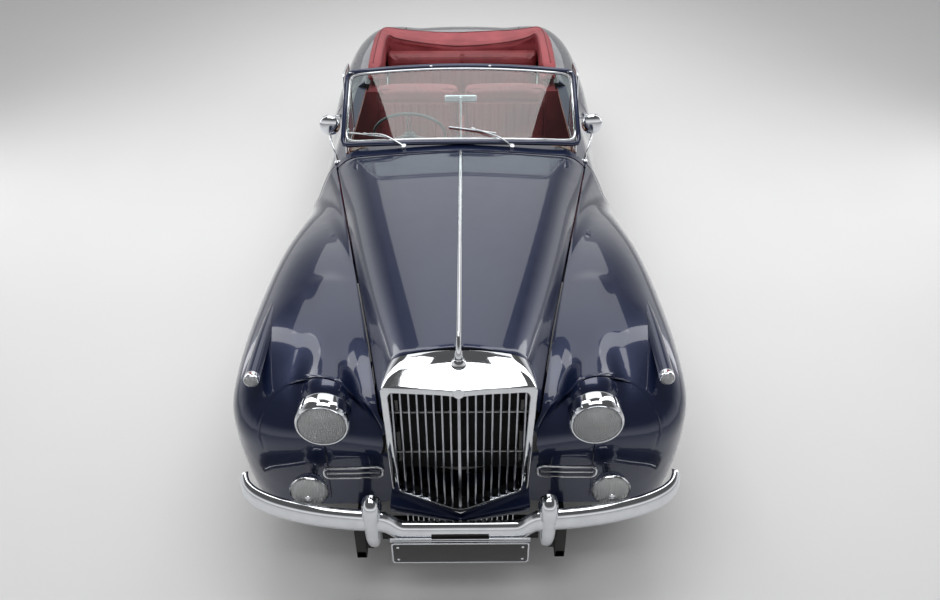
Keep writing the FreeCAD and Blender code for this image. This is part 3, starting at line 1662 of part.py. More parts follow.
def hoodStack():
    corner = hoodHalf - hoodCornerRun
    back = hoodBackY - hoodCornerRun
    outer = [(-hoodHalf, hoodFrontY), (-hoodHalf, back), (-corner, hoodBackY), (corner, hoodBackY),
             (hoodHalf, back),
             (hoodHalf, hoodFrontY)]
    arm = hoodHalf - hoodArm
    wall = hoodBackY - hoodRollDepth
    front = hoodFrontY - stripSide
    seatEnd = rearSeatY + rearSeatBack + hoodGap
    turn = arm - hoodInnerRun
    inner = [(arm, front), (arm, seatEnd), (turn, wall), (-turn, wall), (-arm, seatEnd), (-arm, front)]
    over = hoodTopZ + overrun
    body = prism(outer, "z", hoodFootZ, hoodTopZ).cut(prism(inner, "z", hoodFootZ - overrun, over))
    start = hoodFrontY - hoodNoseAhead
    wide = hoodHalf + overrun
    slope = prism([(start, hoodNoseZ), (hoodBackY - hoodSlopeRun, hoodTopZ + hoodSlopeRise),
                   (start, hoodTopZ + hoodSlopeRise)], "x", -wide, wide)
    save("hood_stack", body.cut(slope))


leftPivotX = 150.0
leftTipX = 560.0
rightPivotX = 190.0
rightTipX = 240.0


def wipers():
    shapes = []
    ground = scuttleSolid()
    for x0, x1 in ((-leftPivotX, -leftTipX), (rightPivotX, -rightTipX)):
        base = V(*screenPoint(x0, 0.02, wiperStand)) - V(0, wiperStand, 0)
        tip = V(*screenPoint(x1, 0.10, wiperStand)) - V(0, wiperStand, 0)
        under = Part.makeLine(base, base - V(0, 0, 4 * overrun)).common(ground)
        foot = V(base.x, base.y, under.BoundBox.ZMax + wiperSpindle / 4 + fitGap)
        spindle = Part.makeCylinder(wiperSpindle, base.z - foot.z, foot)
        shapes.append(rod(tuple(base), tuple(tip), wiperArm).fuse(spindle))
    save("wipers", shapes)


os.makedirs("parts", exist_ok=True)
frontWings()
frontApron()
bonnets()
scuttle()
doors()
rearBody()
bootLid()
radiatorShell()
radiatorSlats()
windscreen()
doorFittings()
floorPan()
chassis()
engine()
exhaust()
fuelTank()
frontSuspension()
rearAxle()
wheels()
knuckles()
bumpers()
lamps()
plates()
cabin()
seats()
hoodStack()
wipers()
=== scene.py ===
import json
import math
import bpy
import bmesh
import numpy as np
from mathutils import Matrix, Vector

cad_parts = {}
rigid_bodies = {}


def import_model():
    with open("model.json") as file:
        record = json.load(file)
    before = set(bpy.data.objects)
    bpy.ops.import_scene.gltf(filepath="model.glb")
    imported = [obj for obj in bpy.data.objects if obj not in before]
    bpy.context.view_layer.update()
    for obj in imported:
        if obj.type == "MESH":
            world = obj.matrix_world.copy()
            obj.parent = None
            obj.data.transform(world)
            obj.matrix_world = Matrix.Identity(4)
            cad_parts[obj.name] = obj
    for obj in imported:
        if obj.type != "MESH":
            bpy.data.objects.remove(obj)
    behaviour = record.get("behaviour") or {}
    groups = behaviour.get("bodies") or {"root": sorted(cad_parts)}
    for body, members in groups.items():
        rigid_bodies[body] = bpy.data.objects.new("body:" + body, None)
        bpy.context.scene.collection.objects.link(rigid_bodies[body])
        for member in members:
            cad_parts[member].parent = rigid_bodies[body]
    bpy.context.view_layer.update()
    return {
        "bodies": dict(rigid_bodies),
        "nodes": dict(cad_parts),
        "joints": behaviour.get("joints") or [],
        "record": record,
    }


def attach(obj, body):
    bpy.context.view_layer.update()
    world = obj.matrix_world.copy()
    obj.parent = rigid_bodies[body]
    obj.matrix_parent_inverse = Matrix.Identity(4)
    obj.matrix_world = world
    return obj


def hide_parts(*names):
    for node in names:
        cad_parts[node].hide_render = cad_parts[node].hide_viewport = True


# A large open car of the middle 1950s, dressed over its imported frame.
# Lengths are metres, the front is towards -Y and +X is the car's left side.

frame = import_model()
nodes = frame["nodes"]
jointAt = {j["name"]: Vector(j["pos_m"]) for j in frame["joints"] if "pos_m" in j}
frontAxleY = jointAt["front_left_spin"].y
rearAxleY = jointAt["rear_left_spin"].y
print("frame loaded,", len(nodes), "nodes")


# Shader maths, one wire at a time
class Wire:
    def __init__(self, finish, socket):
        self.finish = finish
        self.socket = socket

    def reckon(self, operation, first, second):
        return self.finish.node("ShaderNodeMath", {"operation": operation}, [first, second])

    def __add__(self, other):
        return self.reckon("ADD", self, other)

    def __radd__(self, other):
        return self.reckon("ADD", other, self)

    def __sub__(self, other):
        return self.reckon("SUBTRACT", self, other)

    def __rsub__(self, other):
        return self.reckon("SUBTRACT", other, self)

    def __mul__(self, other):
        return self.reckon("MULTIPLY", self, other)

    def __rmul__(self, other):
        return self.reckon("MULTIPLY", other, self)

    def __pow__(self, other):
        return self.reckon("POWER", self, other)

    def clamped(self, low, high, toLow=0.0, toHigh=1.0):
        return self.finish.node("ShaderNodeMapRange", {"clamp": True},
                                [self, low, high, toLow, toHigh])


class Finish:
    def __init__(self, name):
        self.material = bpy.data.materials.new(name)
        self.material.use_nodes = True
        self.tree = self.material.node_tree
        self.shader = self.tree.nodes["Principled BSDF"]
        self.coords = self.node("ShaderNodeTexCoord", {}, {}, "Object")

    def feed(self, socket, value):
        if isinstance(value, Wire):
            self.tree.links.new(value.socket, socket)
        else:
            socket.default_value = value

    def node(self, kind, settings, inputs, output=0):
        made = self.tree.nodes.new(kind)
        for key, value in settings.items():
            if key == "stops":
                ramp = made.color_ramp
                while len(ramp.elements) < len(value):
                    ramp.elements.new(0.5)
                for element, (place, colour) in zip(ramp.elements, value):
                    element.position = place
                    element.color = colour
            else:
                setattr(made, key, value)
        pairs = inputs.items() if isinstance(inputs, dict) else enumerate(inputs)
        for key, value in pairs:
            self.feed(made.inputs[key], value)
        return Wire(self, made.outputs[output])

    def noise(self, scale, detail=2.0, where=None, roughness=0.5):
        return self.node("ShaderNodeTexNoise", {},
                         {"Vector": where or self.coords, "Scale": scale, "Detail": detail,
                          "Roughness": roughness}, "Fac")

    def cells(self, scale, feature="F1", where=None):
        return self.node("ShaderNodeTexVoronoi", {"feature": feature},
                         {"Vector": where or self.coords, "Scale": scale}, "Distance")

    def stretched(self, x, y, z):
        return self.node("ShaderNodeMapping", {}, {"Vector": self.coords, "Scale": (x, y, z)})

    def blended(self, factor, first, second):
        made = self.tree.nodes.new("ShaderNodeMix")
        made.data_type = "RGBA"
        self.feed(made.inputs[0], factor)
        self.feed(made.inputs[6], first)
        self.feed(made.inputs[7], second)
        return Wire(self, made.outputs[2])

    def bump(self, height, distance, strength=1.0):
        made = self.node("ShaderNodeBump", {}, {"Height": height, "Distance": distance,
                                                "Strength": strength})
        self.feed(self.shader.inputs["Normal"], made)

    def set(self, **values):
        for key, value in values.items():
            self.feed(self.shader.inputs[key.replace("_", " ")], value)
        return self


def shade(red, green, blue):
    return (red, green, blue, 1.0)


def paintFinish(name, deep, light, coat=1.0, flake=0.0):
    made = Finish(name)
    cloud = made.noise(1.7, 3.0)
    grain = made.noise(900.0, 1.0)
    made.set(Base_Color=made.blended(cloud, deep, light),
             Roughness=made.noise(14.0).clamped(0.3, 0.7, 0.28, 0.36), Metallic=flake,
             Coat_Weight=coat, Coat_Roughness=0.04)
    made.shader.inputs["Coat IOR"].default_value = 1.56
    made.bump(grain, 0.00003, 0.25)
    return made.material


def metalFinish(name, colour, worn, low, high, fine=0.00003):
    made = Finish(name)
    haze = made.noise(22.0, 4.0)
    made.set(Base_Color=made.blended(haze.clamped(0.35, 0.75), colour, worn), Metallic=1.0,
             Roughness=haze.clamped(0.3, 0.75, low, high))
    made.bump(made.noise(260.0, 2.0), fine, 0.3)
    return made.material


def castFinish(name, colour, dusty, rough, pit=0.0006):
    made = Finish(name)
    patch = made.noise(6.0, 5.0)
    made.set(Base_Color=made.blended(patch.clamped(0.35, 0.7), colour, dusty), Metallic=0.35,
             Roughness=patch.clamped(0.2, 0.8, rough - 0.12, rough + 0.12))
    made.bump(made.noise(160.0, 4.0), pit, 0.6)
    return made.material


def leatherFinish(name, colour, deep, grain=420.0):
    made = Finish(name)
    wear = made.noise(5.0, 4.0)
    pores = made.cells(grain, "DISTANCE_TO_EDGE")
    creases = made.noise(70.0, 5.0)
    made.set(Base_Color=made.blended(wear.clamped(0.3, 0.72), deep, colour),
             Roughness=wear.clamped(0.3, 0.7, 0.42, 0.56))
    made.bump(pores.clamped(0.0, 0.12) * 0.7 + creases * 0.5, 0.0006, 0.5)
    return made.material


def glassFinish(name, tint, roughness=0.0):
    made = Finish(name)
    smear = made.noise(9.0, 4.0)
    made.set(Base_Color=tint, Roughness=smear.clamped(0.4, 0.9, roughness, roughness + 0.02),
             IOR=1.5, Transmission_Weight=1.0)
    return made.material


def flutedGlass(name, tint, pitch):
    made = Finish(name)
    flutes = made.node("ShaderNodeTexWave", {"wave_type": "BANDS", "bands_direction": "X"},
                       {"Vector": made.coords, "Scale": pitch, "Distortion": 0.0}, "Fac")
    cross = made.node("ShaderNodeTexWave", {"wave_type": "BANDS", "bands_direction": "Z"},
                      {"Vector": made.coords, "Scale": pitch * 0.35, "Distortion": 0.0}, "Fac")
    made.set(Base_Color=made.blended(made.noise(30.0), tint, shade(1, 1, 1)), Roughness=0.02,
             IOR=1.45, Transmission_Weight=0.7)
    made.bump(flutes + cross * 0.4, 0.0022, 0.7)
    return made.material


def rubberFinish(name):
    made = Finish(name)
    dust = made.noise(14.0, 5.0)
    made.set(Base_Color=made.blended(dust.clamped(0.4, 0.8), shade(0.011, 0.011, 0.012),
                                     shade(0.03, 0.029, 0.027)),
             Roughness=dust.clamped(0.2, 0.8, 0.62, 0.82))
    made.bump(made.noise(500.0, 3.0), 0.0003, 0.5)
    return made.material


def woodFinish(name):
    made = Finish(name)
    drift = made.noise(3.0, 4.0)
    rings = made.node("ShaderNodeTexWave", {"wave_type": "RINGS"},
                      {"Vector": made.stretched(1.2, 5.0, 9.0), "Scale": 2.6, "Distortion": 9.0,
                       "Detail": 4.0}, "Fac")
    burl = made.noise(38.0, 6.0)
    tone = made.node("ShaderNodeValToRGB", {"stops": [(0.0, shade(0.06, 0.018, 0.006)),
                                                      (0.5, shade(0.2, 0.07, 0.022)),
                                                      (1.0, shade(0.34, 0.15, 0.05))]},
                     [rings * 0.5 + burl * 0.35 + drift * 0.2])
    made.set(Base_Color=tone, Roughness=drift.clamped(0.3, 0.7, 0.2, 0.3), Coat_Weight=1.0,
             Coat_Roughness=0.03)
    return made.material


def carpetFinish(name, colour, deep):
    made = Finish(name)
    tuft = made.noise(700.0, 2.0)
    pile = made.noise(9.0, 3.0)
    made.set(Base_Color=made.blended(tuft * 0.6 + pile * 0.4, deep, colour),
             Roughness=tuft.clamped(0.2, 0.8, 0.85, 1.0))
    made.shader.inputs["Sheen Weight"].default_value = 0.5
    made.bump(tuft, 0.002, 0.8)
    return made.material


def coreFinish(name):
    made = Finish(name)
    fins = made.node("ShaderNodeTexWave", {"wave_type": "BANDS", "bands_direction": "Z"},
                     {"Vector": made.coords, "Scale": 60.0, "Distortion": 0.0}, "Fac")
    made.set(Base_Color=made.blended(fins, shade(0.004, 0.004, 0.004), shade(0.02, 0.02, 0.02)),
             Roughness=0.6 + 0.2 * fins)
    made.bump(fins, 0.002, 0.8)
    return made.material


navy = paintFinish("navyPaint", shade(0.007, 0.014, 0.052), shade(0.010, 0.019, 0.066), 1.0, 0.5)
chrome = metalFinish("chromePlate", shade(0.80, 0.82, 0.85), shade(0.72, 0.74, 0.78), 0.02, 0.06)
dullChrome = metalFinish("slatPlate", shade(0.52, 0.54, 0.58), shade(0.4, 0.42, 0.46), 0.12, 0.22)
steel = metalFinish("plainSteel", shade(0.42, 0.42, 0.43), shade(0.3, 0.3, 0.31), 0.25, 0.4)
bowlSilver = metalFinish("lampBowlSilver", shade(0.88, 0.89, 0.9), shade(0.8, 0.82, 0.84), 0.22,
                         0.32)
mirrorGlass = metalFinish("mirrorSilver", shade(0.85, 0.87, 0.88), shade(0.8, 0.82, 0.84), 0.0,
                          0.02)
iron = castFinish("castIron", shade(0.05, 0.05, 0.052), shade(0.11, 0.1, 0.09), 0.62)
underBlack = castFinish("underBodyBlack", shade(0.008, 0.008, 0.009), shade(0.03, 0.028, 0.025),
                        0.55, 0.0003)
leather = leatherFinish("burgundyLeather", shade(0.30, 0.055, 0.062), shade(0.17, 0.026, 0.032))
piping = leatherFinish("pipingLeather", shade(0.22, 0.035, 0.042), shade(0.12, 0.018, 0.022))
hoodHide = leatherFinish("hoodCover", shade(0.42, 0.085, 0.098), shade(0.27, 0.045, 0.055), 300.0)
clearGlass = glassFinish("screenGlass", shade(0.86, 0.95, 0.94))
lensGlass = flutedGlass("headlampLens", shade(0.93, 0.96, 0.97), 42.0)
fogGlass = flutedGlass("fogLampLens", shade(0.93, 0.95, 0.95), 30.0)
redGlass = paintFinish("redLens", shade(0.25, 0.004, 0.003), shade(0.4, 0.01, 0.006))
amberGlass = paintFinish("amberLens", shade(0.5, 0.1, 0.005), shade(0.62, 0.16, 0.01))
rubber = rubberFinish("blackRubber")
wood = woodFinish("burrWalnut")
carpet = carpetFinish("burgundyCarpet", shade(0.2, 0.03, 0.035), shade(0.07, 0.01, 0.012))
coreBlack = coreFinish("radiatorCore")
rimPlastic = paintFinish("wheelRimEnamel", shade(0.012, 0.03, 0.034), shade(0.02, 0.045, 0.05), 0.8)
plateBlack = paintFinish("plateBlack", shade(0.006, 0.006, 0.006), shade(0.01, 0.01, 0.01), 0.3)
print("finishes made")


# Meshes from grids, rings and turned outlines
def pieceFrom(name, points, faces, material, sharp=38.0):
    mesh = bpy.data.meshes.new(name)
    mesh.from_pydata(np.asarray(points, float).reshape(-1, 3).tolist(), [], faces)
    work = bmesh.new()
    work.from_mesh(mesh)
    bmesh.ops.remove_doubles(work, verts=work.verts, dist=0.00001)
    bmesh.ops.recalc_face_normals(work, faces=work.faces)
    work.to_mesh(mesh)
    work.free()
    mesh.polygons.foreach_set("use_smooth", [True] * len(mesh.polygons))
    mesh.set_sharp_from_angle(angle=math.radians(sharp))
    mesh.materials.append(material)
    made = bpy.data.objects.new(name, mesh)
    bpy.context.scene.collection.objects.link(made)
    return made


def gridFaces(rows, columns, start=0, aroundRows=False, aroundColumns=False):
    index = np.arange(rows * columns).reshape(rows, columns) + start
    if aroundRows:
        index = np.vstack([index, index[:1]])
    if aroundColumns:
        index = np.hstack([index, index[:, :1]])
    quads = np.stack([index[:-1, :-1], index[1:, :-1], index[1:, 1:], index[:-1, 1:]], axis=-1)
    return quads.reshape(-1, 4).tolist()


def wallPiece(name, outer, inner, material, sharp=38.0):
    rows, columns = outer.shape[:2]
    size = rows * columns
    faces = gridFaces(rows, columns) + [f[::-1] for f in gridFaces(rows, columns, size)]
    index = np.arange(size).reshape(rows, columns)
    for line in (index[0], index[-1][::-1], index[:, 0][::-1], index[:, -1]):
        for a, b in zip(line[:-1].tolist(), line[1:].tolist()):
            faces.append([a, b, b + size, a + size])
    return pieceFrom(name, np.concatenate([outer.reshape(-1, 3), inner.reshape(-1, 3)]), faces,
                     material, sharp)


def ringPiece(name, rings, material, sharp=38.0, closedPath=False, capped=True):
    rings = np.asarray(rings, float)
    count, around = rings.shape[:2]
    faces = gridFaces(count, around, aroundRows=closedPath, aroundColumns=True)
    if capped and not closedPath:
        faces.append(list(range(around)))
        faces.append(list(range((count - 1) * around, count * around))[::-1])
    return pieceFrom(name, rings, faces, material, sharp)


def frameOf(axis):
    axis = Vector(axis).normalized()
    side = axis.cross(Vector((0, 0, 1)))
    if side.length < 0.001:
        side = axis.cross(Vector((0, 1, 0)))
    side.normalize()
    return axis, side, side.cross(axis)


def turnedPiece(name, outline, centre, axis, material, segments=80, sharp=30.0, closed=False):
    axis, side, up = frameOf(axis)
    rings = []
    for along, radius in outline:
        ring = []
        for k in range(segments):
            angle = 2 * math.pi * k / segments
            out = side * math.cos(angle) + up * math.sin(angle)
            ring.append(tuple(Vector(centre) + axis * along + out * max(radius, 0.0)))
        rings.append(ring)
    return ringPiece(name, rings, material, sharp, closedPath=closed)


def smoothPath(points, count, closed=False):
    points = [Vector(p) for p in points]
    steps = len(points) if closed else len(points) - 1
    made = []
    for i in range(count):
        t = i / count * steps if closed else i / (count - 1) * steps
        k = min(int(t), steps - 1)
        s = t - k
        if closed:
            p0, p1, p2, p3 = (points[(k + d) % len(points)] for d in (-1, 0, 1, 2))
        else:
            p0, p1, p2, p3 = (points[min(max(k + d, 0), len(points) - 1)] for d in (-1, 0, 1, 2))
        made.append(0.5 * ((2 * p1) + (p2 - p0) * s + (2 * p0 - 5 * p1 + 4 * p2 - p3) * s * s
                           + (3 * p1 - p0 - 3 * p2 + p3) * s ** 3))
    return made


def roundedLoop(corners, radii, steps=7):
    made = []
    count = len(corners)
    for k in range(count):
        p = Vector(corners[k])
        before = Vector(corners[k - 1]) - p
        after = Vector(corners[(k + 1) % count]) - p
        reach = min(radii[k], before.length * 0.45, after.length * 0.45)
        a = p + before.normalized() * reach
        b = p + after.normalized() * reach
        for i in range(steps):
            t = i / (steps - 1)
            made.append((1 - t) ** 2 * a + 2 * t * (1 - t) * p + t * t * b)
    dense = []
    for k in range(len(made)):
        p = made[k]
        q = made[(k + 1) % len(made)]
        dense.append(p)
        if k % steps == steps - 1:
            for i in range(1, 12):
                dense.append(p.lerp(q, i / 12))
    return dense


def sweptRings(path, section, up=(0, 0, 1), closed=False, scales=None):
    path = [Vector(p) for p in path]
    rings = []
    for i, p in enumerate(path):
        before = path[i - 1] if i or closed else path[i]
        after = path[(i + 1) % len(path)] if i < len(path) - 1 or closed else path[i]
        along = (after - before).normalized()
        side = along.cross(Vector(up)).normalized()
        high = side.cross(along)
        size = scales[i] if scales else 1.0
        rings.append([tuple(p + side * (a * size) + high * (b * size)) for a, b in section])
    return rings


def roundSection(radius, count=16, wide=1.0):
    return [(radius * wide * math.cos(2 * math.pi * k / count),
             radius * math.sin(2 * math.pi * k / count)) for k in range(count)]


def tubePiece(name, path, radius, material, up=(0, 0, 1), closed=False, count=16, wide=1.0,
              scales=None):
    rings = sweptRings(path, roundSection(radius, count, wide), up, closed, scales)
    return ringPiece(name, rings, material, 50.0, closedPath=closed)


def roundedBox(name, low, high, radius, material, segments=4, sharp=40.0):
    work = bmesh.new()
    bmesh.ops.create_cube(work, size=1.0)
    low = Vector(low)
    high = Vector(high)
    for v in work.verts:
        v.co = Vector(((v.co[k] + 0.5) * (high[k] - low[k]) + low[k] for k in range(3)))
    bmesh.ops.bevel(work, geom=work.edges[:], offset=radius, segments=segments, profile=0.5,
                    affect="EDGES")
    mesh = bpy.data.meshes.new(name)
    work.to_mesh(mesh)
    work.free()
    mesh.polygons.foreach_set("use_smooth", [True] * len(mesh.polygons))
    mesh.set_sharp_from_angle(angle=math.radians(sharp))
    mesh.materials.append(material)
    made = bpy.data.objects.new(name, mesh)
    bpy.context.scene.collection.objects.link(made)
    return made


def joined(name, pieces):
    work = bmesh.new()
    materials = []
    for piece in pieces:
        offset = len(materials)
        for m in piece.data.materials:
            materials.append(m)
        before = len(work.faces)
        work.from_mesh(piece.data)
        work.faces.ensure_lookup_table()
        for k in range(before, len(work.faces)):
            work.faces[k].material_index += offset
        bpy.data.objects.remove(piece)
    mesh = bpy.data.meshes.new(name)
    work.to_mesh(mesh)
    work.free()
    order = []
    for m in materials:
        if m not in order:
            order.append(m)
    for m in order:
        mesh.materials.append(m)
    for polygon in mesh.polygons:
        polygon.material_index = order.index(materials[polygon.material_index])
    made = bpy.data.objects.new(name, mesh)
    bpy.context.scene.collection.objects.link(made)
    return made


def mirrorOf(piece, name):
    mesh = piece.data.copy()
    mesh.transform(Matrix.Scale(-1, 4, (1, 0, 0)))
    mesh.flip_normals()
    mesh.name = name
    made = bpy.data.objects.new(name, mesh)
    bpy.context.scene.collection.objects.link(made)
    return made


def carved(piece, cutter, operation="DIFFERENCE"):
    tool = piece.modifiers.new("carve", "BOOLEAN")
    tool.operation = operation
    tool.solver = "EXACT"
    tool.object = cutter
    return settled(piece, cutter)


def settled(piece, extra=None, sharp=38.0):
    bpy.context.view_layer.update()
    graph = bpy.context.evaluated_depsgraph_get()
    mesh = bpy.data.meshes.new_from_object(piece.evaluated_get(graph))
    piece.modifiers.clear()
    old = piece.data
    piece.data = mesh
    mesh.name = old.name + "Done"
    mesh.polygons.foreach_set("use_smooth", [True] * len(mesh.polygons))
    mesh.set_sharp_from_angle(angle=math.radians(sharp))
    if extra:
        bpy.data.objects.remove(extra)
    return piece


def put(piece, body, slot, *replaced):
    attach(piece, body)
    if replaced:
        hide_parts(*replaced)
    return piece


def putPair(piece, name, body, slot, *replaced):
    other = mirrorOf(piece, name)
    put(piece, body, slot, *[r for r in replaced if not r.endswith("right")])
    put(other, body, slot, *[r for r in replaced if r.endswith("right")])
    return other


# The bodywork as fields that are negative inside the metal
shape = {"wingHalf": 0.932, "wingCoreX": 0.520, "wingCoreZ": 0.640, "wingCrown": 0.948,
         "wingNoseY": -2.446, "wingNoseLength": 0.440, "wingTailY": -0.620, "wingFadeY": -0.100,
         "wingFade": 0.600, "wingInnerDrop": 0.036, "wingInnerX": 0.700, "wingBlend": 0.070,
         "wingHem": 0.302, "lampX": 0.523, "lampY": -2.441, "lampZ": 0.795, "lampDepth": 0.062,
         "nacelleRadius": 0.110, "nacelleLength": 0.560, "nacelleRise": 0.034,
         "nacelleSpread": 0.062, "nacelleBlend": 0.046, "sideLampX": 0.798, "sideLampY": -2.321,
         "sideLampZ": 0.914, "bodyHalf": 0.853, "waistHalf": 0.706, "widestZ": 0.610,
         "waistZ": 0.992, "sillZ": 0.292, "sillTuck": 0.044, "doorFront": -0.612, "doorRear": 0.590,
         "shoulderZ": 1.038, "shoulderBlend": 0.090, "rearHalf": 0.918, "rearCoreX": 0.610,
         "rearCoreZ": 0.600, "rearCrown": 0.905, "rearMidY": 1.330, "rearHalfLength": 1.190,
         "rearBlend": 0.090, "tailY": 2.585, "deckStart": 1.100, "deckZ": 1.004, "deckCoreZ": 0.560,
         "tailHem": 0.330, "lidHingeY": 1.750, "lidFootZ": 0.500, "deckPanelY": 1.410,
         "cabinEdge": 0.650, "quarterInner": 0.470, "tailCapY": 2.470, "bonnetFront": -2.346,
         "bonnetRear": -0.706, "bonnetCorner": -0.645, "bonnetFrontHalf": 0.318,
         "bonnetRearHalf": 0.684, "crownFront": 1.099, "crownRear": 1.112, "gap": 0.005,
         "skin": 0.009}
crownShares = ((0.0, 0.845), (0.12, 0.93), (0.25, 0.99), (0.40, 1.0), (0.60, 0.985),
               (0.80, 0.93), (0.95, 0.86), (1.15, 0.76), (1.40, 0.62))
widthShares = ((0.0, 0.985), (0.15, 1.0), (0.40, 0.998), (0.65, 0.972), (0.85, 0.925),
               (1.0, 0.895), (1.25, 0.87), (1.45, 0.84))
hullTaperShare = 0.30


def smoothMin(a, b, blend):
    h = np.maximum(blend - np.abs(a - b), 0.0) / blend
    return np.minimum(a, b) - h * h * blend / 4


def smoothMax(a, b, blend):
    return -smoothMin(-a, -b, blend)


def mixed(a, b, share):
    return a + (b - a) * share


def stepped(edge0, edge1, value):
    t = np.clip((value - edge0) / (edge1 - edge0), 0.0, 1.0)
    return t * t * (3 - 2 * t)


def alongShares(shares, t):
    places = np.array([s[0] for s in shares])
    values = np.array([s[1] for s in shares])
    t = np.clip(t, places[0], places[-1])
    i = np.clip(np.searchsorted(places, t, side="right") - 1, 0, len(places) - 2)
    before = np.maximum(i - 1, 0)
    after = np.minimum(i + 2, len(places) - 1)
    t0, t1, v0, v1 = places[i], places[i + 1], values[i], values[i + 1]
    m0 = (v1 - values[before]) / (t1 - places[before])
    m1 = (values[after] - v0) / (places[after] - t0)
    d = t1 - t0
    s = (t - t0) / d
    return ((1 + 2 * s) * (1 - s) ** 2 * v0 + s * (1 - s) ** 2 * m0 * d + s * s * (3 - 2 * s) * v1
            + s * s * (s - 1) * m1 * d)


def wingField(x, y, z):
    f = shape
    t = (y - f["wingNoseY"]) / (f["wingTailY"] - f["wingNoseY"])
    crown = f["wingCrown"] * alongShares(crownShares, t)
    half = f["wingHalf"] * alongShares(widthShares, t)
    core = f["wingCoreX"]
    drop = f["wingInnerDrop"] * np.maximum(f["wingInnerX"] - x,
                                           0.0) ** 2 / (f["wingInnerX"] - core) ** 2 / 3
    u = np.abs(x - core) / (half - core)
    u = np.where(x < core, np.abs(x - core) / core, u)
    v = np.maximum(z + drop - f["wingCoreZ"], 0.0) / np.maximum(crown - f["wingCoreZ"], 0.001)
    w = np.maximum(f["wingNoseY"] + f["wingNoseLength"] - y, 0.0) / f["wingNoseLength"]
    tuck = f["sillTuck"] * np.maximum(f["wingCoreZ"] - z,
                                      0.0) ** 2 / (f["wingCoreZ"] - f["sillZ"]) ** 2
    u = u + tuck / (half - core)
    fade = np.maximum(y - f["wingFadeY"], 0.0) / f["wingFade"]
    r = (u ** 3.4 + v ** 3.4 + w ** 4.4 + fade ** 4.4) ** (1 / 3.4)
    return (r - 1) * (half - core)


def capsuleField(x, y, z, start, end, radius):
    dx, dy, dz = (e - s for s, e in zip(start, end))
    px, py, pz = x - start[0], y - start[1], z - start[2]
    t = np.clip((px * dx + py * dy + pz * dz) / (dx * dx + dy * dy + dz * dz), 0.0, 1.0)
    return np.sqrt((px - dx * t) ** 2 + (py - dy * t) ** 2 + (pz - dz * t) ** 2) - radius


def nacelleField(x, y, z):
    f = shape
    start = (f["lampX"], f["lampY"] + f["lampDepth"] + f["nacelleRadius"], f["lampZ"])
    end = (f["lampX"] + f["nacelleSpread"], start[1] + f["nacelleLength"],
           f["lampZ"] + f["nacelleRise"])
    return np.maximum(capsuleField(x, y, z, start, end, f["nacelleRadius"]),
                      start[1] - f["nacelleRadius"] - y)


def sideHalf(y, z):
    f = shape
    rise = np.maximum(z - f["widestZ"], 0.0) / (f["waistZ"] - f["widestZ"])
    fall = np.maximum(f["widestZ"] - z, 0.0) / (f["widestZ"] - f["sillZ"])
    lean = (f["bodyHalf"] - f["waistHalf"]) * rise ** 1.45
    frontIn = hullTaperShare * np.maximum(f["doorFront"] - y, 0.0)
    rearIn = 0.130 * stepped(f["rearMidY"], f["tailY"] * 1.15, y)
    return f["bodyHalf"] - lean - f["sillTuck"] * fall * fall - frontIn - rearIn


def hullField(x, y, z):
    f = shape
    side = (x - sideHalf(y, z)) * 0.93
    dy = np.maximum(y - f["deckStart"], 0.0) / (f["tailY"] - f["deckStart"])
    dz = np.maximum(z - f["deckCoreZ"], 0.0) / (f["deckZ"] - f["deckCoreZ"])
    fallen = ((dy ** 2.3 + dz ** 2.3) ** (1 / 2.3) - 1) * (f["deckZ"] - f["deckCoreZ"])
    level = z - mixed(f["shoulderZ"], f["deckZ"], stepped(f["doorRear"], f["deckStart"], y))
    back = np.where(y < f["deckStart"], level, fallen)
    bulge = 0.030 * (x / f["waistHalf"]) ** 2
    nose = f["wingNoseY"] + f["wingNoseLength"] - y
    return np.maximum(smoothMax(side, back + bulge, f["shoulderBlend"]), nose)


def rearWingField(x, y, z):
    f = shape
    spread = f["rearHalf"] - f["rearCoreX"]
    u = np.maximum((x - f["rearCoreX"]) / spread, -2.0)
    tuck = f["sillTuck"] * np.maximum(f["rearCoreZ"] - z,
                                      0.0) ** 2 / (f["rearCoreZ"] - f["sillZ"]) ** 2
    u = np.abs(u) + tuck / spread
    v = np.maximum(z - f["rearCoreZ"], 0.0) / (f["rearCrown"] - f["rearCoreZ"])
    w = np.abs(y - f["rearMidY"]) / f["rearHalfLength"]
    return ((u ** 2.6 + v ** 2.6 + w ** 3.0) ** (1 / 2.6) - 1) * spread


def bodyField(x, y, z):
    x = np.abs(x)
    made = smoothMin(hullField(x, y, z), wingField(x, y, z), shape["wingBlend"])
    return smoothMin(made, rearWingField(x, y, z), shape["rearBlend"])


def frontField(x, y, z):
    return smoothMin(bodyField(x, y, z), nacelleField(np.abs(x), y, z), shape["nacelleBlend"])


def castRays(field, origins, directions, reach):
    origins, directions = np.broadcast_arrays(np.asarray(origins, float),
                                              np.asarray(directions, float))
    low = np.zeros(origins.shape[:-1])
    high = np.full(origins.shape[:-1], float(reach))
    for step in range(34):
        middle = (low + high) / 2
        p = origins + directions * middle[..., None]
        inside = field(p[..., 0], p[..., 1], p[..., 2]) < 0
        low = np.where(inside, middle, low)
        high = np.where(inside, high, middle)
    return origins + directions * ((low + high) / 2)[..., None]


def fieldNormals(field, points, step=0.0008):
    made = np.zeros_like(points)
    for k in range(3):
        shift = np.zeros(3)
        shift[k] = step
        ahead = points + shift
        behind = points - shift
        made[..., k] = (field(ahead[..., 0], ahead[..., 1], ahead[..., 2])
                        - field(behind[..., 0], behind[..., 1], behind[..., 2]))
    return made / np.linalg.norm(made, axis=-1, keepdims=True)


def edgeShares(count, near=0.0015):
    inside = np.linspace(near, 1.0 - near, count - 2)
    return np.concatenate([[0.0], inside, [1.0]])


